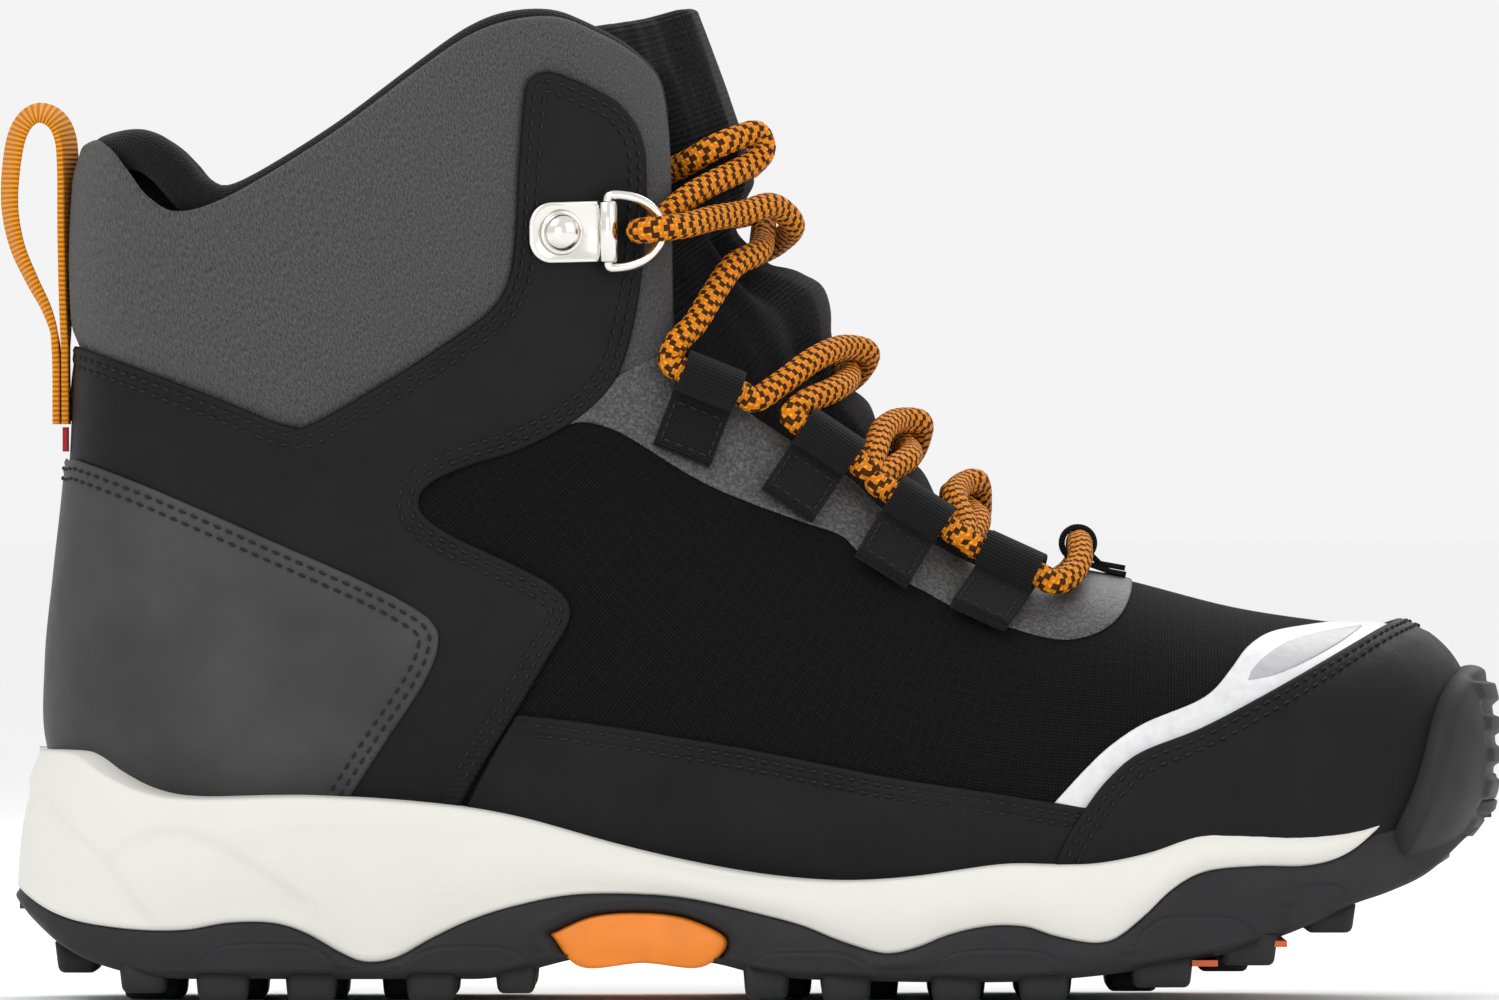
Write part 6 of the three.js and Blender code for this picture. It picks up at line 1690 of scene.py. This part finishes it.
class BuildRings(bpy.types.Operator):
    """On each side a nickel plate with its knuckle, a domed rivet, and the D ring that swings there"""

    bl_idname = "boot.rings"
    bl_label = "Lace rings"

    def execute(self, context):
        for side, sign in (("lateral", LATERAL), ("medial", MEDIAL)):
            axes = side_frame(*RIVET_AT, sign, CAP_AT, 1, 0.03)
            self.plate(side, axes)
            self.rivet(side, axes)
            self.ring(side, axes)
        return {"FINISHED"}

    def add(self, name, points, faces, axes, body, node):
        made = build(name, in_frame(axes, points), faces, FINISHES["nickel"],
                     straight=False, body=body)
        face_outwards(made)
        if node:
            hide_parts(node)

    def plate(self, side, axes):
        """A plate rounded about the rivet: its outline stacked at a few heights, drawn in at the edges."""
        half = PLATE_WIDTH / 2
        corner = 4.6
        arc = np.radians(np.linspace(0, 90, 14))
        upper = np.stack([PLATE_BACK + corner - corner * np.sin(arc),
                          half - corner + corner * np.cos(arc)], axis=-1)
        lower = upper[::-1] * [1, -1]
        front = np.array([[BAR_AT, -half], [BAR_AT, half]])
        outline = np.concatenate([upper, lower, front])
        middle = np.array([1.5, 0.0])
        rows = []
        for drawn, height in ((0.35, 0.0), (0.0, 0.25), (0.0, 0.7), (0.12, 0.88), (0.4, 1.0), (1.3, 1.0),
                              (1.7, 0.82)):
            reach = np.linalg.norm(outline - middle, axis=1, keepdims=True)
            flat = outline - (outline - middle) / reach * drawn
            rows.append(np.concatenate([flat, np.full((len(flat), 1), height * PLATE_THICK)], axis=1))
        points = np.concatenate(rows)
        self.add(f"plate_{side}", points, tube_faces(len(rows), len(outline)), axes, "root",
                 f"ring_plate_{side}")
        way = np.array([-6.0, -6.0, -5.7, 5.7, 6.0, 6.0])
        reach = np.array([1.35, 1.75, 2.05, 2.05, 1.75, 1.35])
        ring = circle(1.0, 40)
        points = np.stack([BAR_AT + reach[:, None] * ring[None, :, 0], np.broadcast_to(way[:, None], (6, 40)),
                           BAR_UP + reach[:, None] * ring[None, :, 1]], axis=-1).reshape(-1, 3)
        self.add(f"knuckle_{side}", points, tube_faces(6, 40), axes, "root", None)

    def rivet(self, side, axes):
        """A flat collar and a dome, an ellipse spun round the shank's axis."""
        seat = PLATE_THICK + 0.02
        turn = np.linspace(0, math.pi / 2, 14)[:-1]
        dome = np.stack([(RIVET_RADIUS - 0.55) * np.cos(turn), seat + 0.45 + 2.3 * np.sin(turn)], axis=-1)
        profile = np.concatenate([[[0.02, seat - 1.2], [2.0, seat - 1.2], [2.0, seat],
                                   [RIVET_RADIUS - 0.15, seat], [RIVET_RADIUS, seat + 0.15],
                                   [RIVET_RADIUS, seat + 0.3], [RIVET_RADIUS - 0.2, seat + 0.45],
                                   [RIVET_RADIUS - 0.5, seat + 0.42]], dome, [[0.02, seat + 2.75]]])
        made = turned(f"rivet_head_{side}", profile, FINISHES["nickel"], lambda p: in_frame(axes, p))
        face_outwards(made)
        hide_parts(f"rivet_{side}")

    def ring(self, side, axes):
        """A D of round wire: a straight bar and a bow whose reach is a power of a cosine."""
        wire = RING_WIRE / 2
        half = RING_WIDTH / 2 - wire
        reach = RING_REACH - wire
        angle = np.linspace(-math.pi / 2, math.pi / 2, 61)
        bow = np.stack([reach * np.abs(np.cos(angle)) ** 0.8, half * np.sin(angle)], axis=-1)
        bar = np.stack([np.zeros(19), np.linspace(half, -half, 21)[1:-1]], axis=-1)
        path = smooth_closed(respaced(np.concatenate([bow, bar, bow[:1]]), 0.5)[:-1], 3)
        tangent = np.roll(path, -1, axis=0) - np.roll(path, 1, axis=0)
        tangent /= np.linalg.norm(tangent, axis=1, keepdims=True)
        side_way = np.stack([tangent[:, 1], -tangent[:, 0]], axis=-1)
        turn = np.linspace(0, 2 * math.pi, 20, endpoint=False)
        flat = path[:, None, :] + wire * np.cos(turn)[None, :, None] * side_way[:, None, :]
        up = np.broadcast_to(wire * np.sin(turn)[None, :, None], (*flat.shape[:2], 1))
        points = np.concatenate([flat, up], axis=-1).reshape(-1, 3)
        tilt_cos, tilt_sin = math.cos(RING_TILT), math.sin(RING_TILT)
        points = np.stack([points[:, 0] * tilt_cos - points[:, 2] * tilt_sin, points[:, 1],
                           points[:, 0] * tilt_sin + points[:, 2] * tilt_cos], axis=-1) + [BAR_AT, 0, BAR_UP]
        count = len(path)
        faces = grid_faces(count, 20, wrap=True)
        i = np.arange(20)
        j = (i + 1) % 20
        last = (count - 1) * 20
        closing = np.stack([last + i, last + j, j, i], axis=-1)
        self.add(f"ring_{side}", points, np.concatenate([faces, closing]), axes, f"ring_{side}",
                 f"lace_ring_{side}")


def smooth_closed(path, rounds):
    """A closed line whose corners are eased by averaging each point with its two neighbours."""
    for _ in range(rounds):
        path = 0.25 * np.roll(path, 1, axis=0) + 0.5 * path + 0.25 * np.roll(path, -1, axis=0)
    return path


PULL_LINE = [(7.4, 113), (7.2, 128), (5.6, 135), (2.4, 141.5), (-0.6, 148.5), (-2.0, 157), (-1.2, 167),
             (0.6, 172.2), (3.6, 174.4), (7.0, 173.2), (9.0, 169.5), (9.5, 163), (9.3, 150), (9.1, 130),
             (9.2, 113)]
PULL_WIDTH, PULL_THICK = 12.0, 1.5


class BuildHeelPull(bpy.types.Operator):
    """The orange webbing loop at the heel, which twists a little so that its face shows at the top"""

    bl_idname = "boot.heel_pull"
    bl_label = "Heel pull"

    def execute(self, context):
        line = respaced(smooth_line(PULL_LINE, 8), 0.6)
        path = np.stack([line[:, 0], np.zeros(len(line)), line[:, 1]], axis=-1)
        section = rounded_band(PULL_WIDTH, PULL_THICK)
        run = measured(line)
        share = run / run[-1]
        twist = 0.24 * np.sin(math.pi * np.clip((share - 0.12) / 0.76, 0, 1)) ** 0.8
        points = carried(path, section, (0.0, 1.0, 0.0), twist)
        uv = np.stack(np.broadcast_arrays(section[None, :, 0], run[:, None]), axis=-1).reshape(-1, 2)
        made = build("pull_loop", points.reshape(-1, 3), tube_faces(len(line), len(section)),
                     FINISHES["pull"], uv=uv)
        face_outwards(made)
        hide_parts("heel_pull")
        return {"FINISHED"}


# ---------------------------------------------------------------- sole
SOLE_WIDTH = [(0.2, 4), (1.2, 10.5), (3, 16.5), (8, 25), (16, 31.5), (28, 36), (45, 38.5), (70, 39),
              (95, 38.5), (123, 40), (152, 45), (190, 51.5), (209, 53), (224, 52), (238, 49.5),
              (252, 45.5), (262, 40.5), (270, 34.5), (278, 27), (285, 17.5), (288.6, 10), (290, 4)]
SOLE_UNDER = [(0, 17.5), (3, 14.5), (8, 10.5), (16, 6.8), (28, 4.6), (45, 4.4), (82, 4.4), (95, 4.8),
              (110, 8.4), (123, 10), (137, 7.4), (152, 4.6), (190, 4), (209, 5), (224, 7), (238, 9.6),
              (252, 14), (262, 18.4), (270, 21), (278, 24.6), (285, 30.5), (291, 36)]
HEEL_RAKE, MIDSOLE_BULGE = 4.0, 1.6
ARCH_SHANK = [(105, 13.2), (113, 16.6), (122.5, 17.4), (132, 16.2), (139.5, 12), (134.5, 6.8), (123, 7.6),
              (111, 6.8)]
LUGS = [(8, 16, 5.2, 0, 0.62), (21, 30, 1.6, 0.5, 0.97), (21, 33, 0, 0, 0.36), (36, 46, 0, 0.56, 0.99),
        (38, 49, 0, 0, 0.4), (53.5, 63, 0, 0.52, 0.99), (54, 65, 0, 0, 0.4), (77, 86.5, 0, 0.56, 0.99),
        (72, 82, 0, 0, 0.42), (94.5, 102, 1.6, 0.5, 0.97), (143, 151.5, 0.6, 0.56, 0.99),
        (146, 156, 0.4, 0, 0.4), (158, 167.5, 0, 0.52, 0.99), (162, 173, 0, 0, 0.38),
        (179.5, 189, 0, 0.56, 0.99), (179, 190, 0, 0, 0.4), (196.5, 206, 0.4, 0.52, 0.99),
        (196, 207, 0.4, 0, 0.38), (218.5, 230, 3.0, 0.6, 0.98), (214, 224, 1.6, 0, 0.4),
        (236, 246.5, 7.2, 0.5, 0.98), (232, 242, 5.4, 0, 0.36), (252.5, 262, 13.4, 0, 0.9)]
EYEBROWS = [(34, 65, 12.0), (75, 103.5, 11.5), (141, 169.5, 10.4), (177.5, 208, 11.0), (217, 245, 17.5),
            (248, 262, 23.5)]
FOAM_CREASES = [([(1, 42), (16.8, 28), (29, 13)], (-4, 0, 26, 32), 0.5, 1.3),
                ([(16, 27), (28, 33.7), (41, 30), (59, 19)], (15, 19, 54, 62), 0.45, 1.2),
                ([(40, 30), (62, 34.7), (101, 33.2), (128, 27)], (38, 46, 104, 132), 0.55, 3.4)]
BUMPER_EDGE = [(283.5, 65), (279.5, 61.5), (276.5, 56), (274, 47), (271.5, 40), (266, 30)]


def window(x, a, b, c, d):
    """Rises from 0 at a to 1 at b, and falls from 1 at c to 0 at d."""
    return np.clip((x - a) / (b - a), 0, 1) * np.clip((d - x) / (d - c), 0, 1)


def sole_plan(spacing=1.3):
    """The sole's outline from above: the half on one side and its mirror image, with outward normals."""
    half = np.array([(0.0, 0.0)] + SOLE_WIDTH + [(290.4, 0.0)])
    whole = np.concatenate([half[1:4][::-1] * [1, -1], half, half[-4:-1][::-1] * [1, -1]])
    line = smooth_line(whole, 12)
    line = line[36:-36]
    line = respaced(line, spacing)
    line[0, 1] = line[-1, 1] = 0.0
    loop = np.concatenate([line, line[-2:0:-1] * [1, -1]])
    ahead = np.roll(loop, -1, axis=0) - np.roll(loop, 1, axis=0)
    normal = np.stack([-ahead[:, 1], ahead[:, 0]], axis=-1)
    normal /= np.linalg.norm(normal, axis=1, keepdims=True)
    middle = loop - [145.0, 0.0]
    if (normal * middle).sum() < 0:
        normal = -normal
    return loop, normal


def ladder(count, start, flip):
    """Faces across a mirrored loop of points, joining each point to its mirror image."""
    faces = []
    for i in range(count // 2):
        face = list(dict.fromkeys([start + i, start + i + 1, start + (count - i - 1) % count,
                                   start + (count - i) % count]))
        faces.append(face[::-1] if flip else face)
    return faces


def wall_faces(rows, count):
    """Faces of rows of so many mirrored points, closed below and above."""
    faces = grid_faces(rows, count, wrap=True).tolist()
    return faces + ladder(count, 0, True) + ladder(count, (rows - 1) * count, False)


class BuildMidsole(bpy.types.Operator):
    """The foam midsole: its wall follows the sole's outline, with a soft bulge and shallow sculpted facets"""

    bl_idname = "boot.midsole"
    bl_label = "Midsole"

    def execute(self, context):
        loop, normal = sole_plan()
        x = loop[:, 0]
        top = height_on(FEATHER, x)
        wall = np.minimum(height_on(RUBBER_TOP, x), top - 1.0)
        wall = np.minimum(wall, rubber_top(x))
        edge_x = np.linspace(6, 288, 240)
        edge = on_form(*side_uv(edge_x, height_on(FEATHER, edge_x)).T)
        edge = np.concatenate([edge, edge[::-1] * [1, -1, 1]]) * [1, 1, 0]
        flat = np.concatenate([loop, np.zeros((len(loop), 1))], axis=1) + [HEEL_RAKE, 0, 0] * np.maximum(
            0, 1 - x / 60)[:, None]
        gap = np.clip(distance_to(flat, edge), 0.5, 9.0)
        share = np.linspace(0, 1, 40) ** 0.9
        bulge = MIDSOLE_BULGE * np.sin(math.pi * np.clip(share * 0.86 + 0.1, 0, 1)) ** 0.8
        rows = [(-9.0, wall - 3.0), (-6.0, wall - 3.0), (-1.4, wall - 0.5), (-0.75, wall + 0.05)]
        for t, out in zip(share, bulge):
            z = wall + 0.35 + (top - wall - 1.35) * t
            rows.append((out - 0.25 + self.sculpted(x, z) * window(t, -0.01, 0.12, 0.8, 1.0), z))
        lip = [(-0.15, -0.62), (-0.45, -0.25), (-0.9, 0.0)]
        rows += [(bulge[-1] - 0.25 + a, top + b) for a, b in lip]
        rows += [(-0.55 * gap - 0.6, top + 0.25), (-gap - 0.3, top + 0.45), (-gap - 1.4, top + 0.3)]
        keel = np.interp(x, *keel_line())
        rows += [(-gap - 1.8, top - 2.5), (-gap - 6.0, np.minimum(keel + 1, top - 3)),
                 (-gap - 9.0, np.minimum(keel - 1.5, top - 4))]
        sunk = 7.0 * window(x, 268.0, 270.0, 400, 500)
        points = []
        for out, z in rows:
            out = np.broadcast_to(out, x.shape) - sunk
            across = np.minimum(-out, 0.96 * np.abs(loop[:, 1]) + 0.02) * (out < 0)
            place = loop + normal * np.where(out < 0, 0, out)[:, None]
            inward = normal * across[:, None]
            lean = HEEL_RAKE * np.maximum(0, 1 - x / 60) * np.clip((z - wall) / (top - wall), 0, 1)
            flat = place - inward
            drawn = np.where(flat[:, 0] > 268, 268 + (flat[:, 0] - 268) * 0.3, flat[:, 0])
            points.append(np.stack([drawn + lean, flat[:, 1], np.broadcast_to(z, x.shape)], axis=-1))
        faces = wall_faces(len(rows), len(loop))
        made = build("midsole_foam", np.concatenate(points), faces, FINISHES["foam"])
        face_outwards(made)
        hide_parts("midsole")
        return {"FINISHED"}

    def sculpted(self, x, z):
        """Each crease is a soft step between two facets: a hyperbolic tangent of the height over its line."""
        relief = 0 * x
        for line, (a, b, c, d), depth, soft in FOAM_CREASES:
            crease = smooth_line(line)
            over = z - np.interp(x, crease[:, 0], crease[:, 1])
            step = depth * np.tanh(over / soft) * window(x, a, b, c, d)
            relief = relief + step * np.exp(-np.abs(over) / 14)
        fine = 0.1 * np.sin(2 * math.pi * z / 1.5) * window(x, 46, 54, 78, 92) * window(z, 18, 21, 28, 31)
        return relief + fine


def rubber_top(x):
    """The top of the rubber wall, which runs under the toe bumper's lower edge."""
    toe = np.interp(x, [268.5, 272, 278, 285, 291], [60, 39.5, 42, 44, 45])
    return np.minimum(height_on(RUBBER_TOP, x), toe)


def toe_teeth(z):
    """The bumper's horizontal teeth: a steepened sine of the height."""
    return np.clip(np.sin(2 * math.pi * z / 5.2) * 2.2 + 0.4, -1, 1)


def keel_line():
    """x and height of the form's underside."""
    u = np.linspace(2.0, 12.6, 120)
    keel = on_form(u, np.ones_like(u))
    order = np.argsort(keel[:, 0])
    return keel[order, 0], keel[order, 2]


class BuildOutsole(bpy.types.Operator):
    """The rubber: a wall with raised brows over its lugs, the lugs, and the ribbed bumper over the toe"""

    bl_idname = "boot.outsole"
    bl_label = "Outsole"

    def execute(self, context):
        self.wall()
        self.lugs()
        self.bumper()
        self.shank()
        for node in ("tread_inlay_rear", "tread_inlay_front"):
            set_finish(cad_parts[node], FINISHES["inlay"])
        return {"FINISHED"}

    def wall(self):
        loop, normal = sole_plan(1.0)
        x = loop[:, 0]
        top = rubber_top(x)
        under = np.interp(x, *smooth_line(SOLE_UNDER).T)
        rows = [(-7.0, under), (-3.2, under), (-1.3, under + 0.35), (-0.4, under + 1.1)]
        for t in np.linspace(0, 1, 30):
            z = under + 1.8 + (top - under - 2.5) * t
            teeth = 0.7 * toe_teeth(z) * np.clip((19 - np.abs(loop[:, 1])) / 2, 0, 1) * (x > 200)
            rows.append((0.15 + 0.5 * math.sin(math.pi * t) + self.brows(x, z) - self.arch(x, z) + teeth, z))
        rows += [(-0.1, top - 0.28), (-0.6, top - 0.02), (-1.3, top), (-5.0, top), (-6.5, top - 1.5)]
        points = []
        for out, z in rows:
            out = np.broadcast_to(out, x.shape)
            out = np.maximum(out, -0.96 * np.abs(loop[:, 1]) - 0.02)
            flat = loop + normal * out[:, None]
            points.append(np.stack([flat[:, 0], flat[:, 1], np.broadcast_to(z, x.shape)], axis=-1))
        faces = wall_faces(len(rows), len(loop))
        made = build("outsole_wall", np.concatenate(points), faces, FINISHES["rubber"])
        face_outwards(made)
        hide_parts("outsole")

    def brows(self, x, z):
        """Over each pair of lugs the wall stands out under an arch with a rounded edge."""
        relief = 0 * x
        for x0, x1, top in EYEBROWS:
            across = np.abs(2 * (x - (x0 + x1) / 2) / (x1 - x0))
            low = np.interp((x0 + x1) / 2, *np.array(SOLE_UNDER).T)
            arch = low + (top - low) * (1 - np.minimum(across, 1.2) ** 4)
            edge = np.clip((arch - z) / 0.9, 0, 1)
            rim = np.exp(-(((arch - z - 1.1) / 0.8) ** 2)) * (across < 1.05)
            relief = np.maximum(relief, 1.5 * edge * edge * (3 - 2 * edge) + 0.25 * rim)
        return relief

    def arch(self, x, z):
        """The wall's recess round the arch shank, with a raised lip."""
        outline = smooth_line(ARCH_SHANK + ARCH_SHANK[:1], 8)
        at = np.stack([x, np.broadcast_to(z, x.shape)], axis=-1)
        gap = distance_to(np.concatenate([at, 0 * at[:, :1]], axis=1),
                          np.concatenate([outline, 0 * outline[:, :1]], axis=1))
        gap = np.where(inside(at, outline), -gap, gap)
        return 2.6 * np.clip(1.2 - gap / 0.8, 0, 1) - 0.5 * np.exp(-(((gap - 2.6) / 1.1) ** 2))

    def lugs(self):
        """Rounded blocks in one mesh: each is its outline stacked up, drawn in towards its face."""
        corner = 1.9
        turn = np.radians(np.linspace(0, 90, 6))
        points, faces = [], []
        for x0, x1, face, from_share, to_share in LUGS:
            middle = (x0 + x1) / 2
            width = np.interp(middle, *np.array(SOLE_WIDTH).T)
            root = np.interp(middle, *np.array(SOLE_UNDER).T) + 2.6
            spans = [(from_share, to_share), (-to_share, -from_share)]
            if from_share == 0:
                spans = [(-to_share, to_share)]
            for a, b in spans:
                y0, y1 = a * width, b * width
                quarters = []
                for n, (px, py) in enumerate(((x1, y1), (x0, y1), (x0, y0), (x1, y0))):
                    sx, sy = (1 if px == x1 else -1), (1 if py == y1 else -1)
                    angle = turn + n * math.pi / 2
                    quarters.append(np.stack([px - sx * corner + corner * np.cos(angle),
                                              py - sy * corner + corner * np.sin(angle)], axis=-1))
                outline = np.concatenate(quarters)
                centre = outline.mean(axis=0)
                start = sum(len(p) for p in points)
                for drawn, z in ((-0.5, root), (0.0, face + 1.9), (0.15, face + 1.0), (0.5, face + 0.35),
                                 (1.1, face)):
                    away = outline - centre
                    half = np.array([(x1 - x0) / 2, (y1 - y0) / 2])
                    flat = centre + away * (1 - drawn / half)
                    points.append(np.concatenate([flat, np.full((len(flat), 1), z)], axis=1))
                block = tube_faces(5, len(outline))
                faces += [[start + k for k in f][::-1] for f in block]
        made = build("outsole_lugs", np.concatenate(points), faces, FINISHES["rubber"])
        face_outwards(made)

    def bumper(self):
        """A cap of rubber over the toe: rings round the toe's tip, out to an edge that curves away."""
        edge = side_uv(*smooth_line(BUMPER_EDGE, 8).T)
        order = np.argsort(edge[:, 1])
        columns, rows = 220, 64
        v = np.linspace(-1, 1, columns, endpoint=False)
        reach = np.interp(np.abs(v), edge[order, 1], edge[order, 0])
        share = np.linspace(0.004, 1, rows) ** 0.8
        u = reach[None, :] * share[:, None]
        v = np.broadcast_to(v[None, :], u.shape)
        skin = on_form(u, v)
        lip = np.linalg.norm(skin - skin[-1:], axis=-1)
        rounded = np.sqrt(np.clip(1 - (1 - np.clip(lip / 3.0, 0, 1)) ** 2, 0, 1))
        n = normal_at(u, v)
        ribs = toe_teeth(skin[..., 2])
        front = np.clip((19 - np.abs(skin[..., 1])) / 2, 0, 1) * window(skin[..., 2], 24, 27, 60, 62)
        offset = 1.6 + 4.9 * rounded + 0.8 * ribs * front * np.clip((n[..., 0] - 0.2) / 0.3, 0, 1)
        outer = on_form(u, v, offset)
        inner = on_form(u, v, np.minimum(offset - 0.9, 1.8 + 0 * offset))
        points = np.concatenate([outer.reshape(-1, 3), inner.reshape(-1, 3)])
        size = rows * columns
        shell = grid_faces(rows, columns, wrap=True)
        faces = shell.tolist() + (shell[:, ::-1] + size).tolist()
        j = np.arange(columns)
        k = (j + 1) % columns
        last = size - columns
        faces += np.stack([last + j, last + k, size + last + k, size + last + j], axis=-1).tolist()
        faces += [list(range(columns))[::-1], list(range(size, size + columns))]
        made = build("outsole_bumper", points, faces, FINISHES["rubber"])
        face_outwards(made)

    def shank(self):
        """The arch shank: its outline carried across the boot, drawn in a little at both ends."""
        outline = smooth_line(ARCH_SHANK + ARCH_SHANK[:1], 8)[:-1]
        centre = outline.mean(axis=0)
        half = np.interp(outline[:, 0], *np.array(SOLE_WIDTH).T)
        rows = []
        for drawn, out in ((1.2, -0.4), (0.4, -0.6), (0.0, -1.2)):
            flat = centre + (outline - centre) * (1 - drawn / 8)
            rows.append(np.stack([flat[:, 0], half + out, flat[:, 1]], axis=-1))
        rows += [row * [1, -1, 1] for row in rows[::-1]]
        made = build("arch_shank_bar", np.concatenate(rows), tube_faces(6, len(outline)), FINISHES["shank"])
        face_outwards(made)
        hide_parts("arch_shank")


# ---------------------------------------------------------------- the add-on's panel and running order
ORDER = (BuildStage, BuildLaces, BuildVamp, BuildOverlays, BuildCollar, BuildTongue, BuildInsole,
         BuildWebbing, BuildRings, BuildHeelPull, BuildMidsole, BuildOutsole)


class BootPanel(bpy.types.Panel):
    """The boot's sizes, colours and pieces, in the 3D view's sidebar"""

    bl_idname = "VIEW3D_PT_boot"
    bl_label = "Hiking boot"
    bl_space_type = "VIEW_3D"
    bl_region_type = "UI"
    bl_category = "Boot"

    def draw(self, context):
        for group in (context.scene.boot_sizes, context.scene.boot_colours):
            box = self.layout.box()
            for name in group.bl_rna.properties.keys():
                if name not in ("rna_type", "name"):
                    box.prop(group, name)
        for made in ORDER:
            self.layout.operator(made.bl_idname)


CLASSES = (BootSizes, BootColours, *ORDER, BootPanel)


def register():
    """Registers the classes and hangs the two property groups on the scene."""
    for each in CLASSES:
        bpy.utils.register_class(each)
    bpy.types.Scene.boot_sizes = PointerProperty(type=BootSizes)
    bpy.types.Scene.boot_colours = PointerProperty(type=BootColours)


def unregister():
    """Takes the property groups off the scene and unregisters the classes."""
    del bpy.types.Scene.boot_colours
    del bpy.types.Scene.boot_sizes
    for each in reversed(CLASSES):
        bpy.utils.unregister_class(each)


def main():
    """Builds the whole boot."""
    register()
    make_finishes(bpy.context.scene.boot_colours)
    for made in ORDER:
        group, name = made.bl_idname.split(".")
        getattr(getattr(bpy.ops, group), name)()
    bpy.context.view_layer.update()


if __name__ == "__main__":
    main()
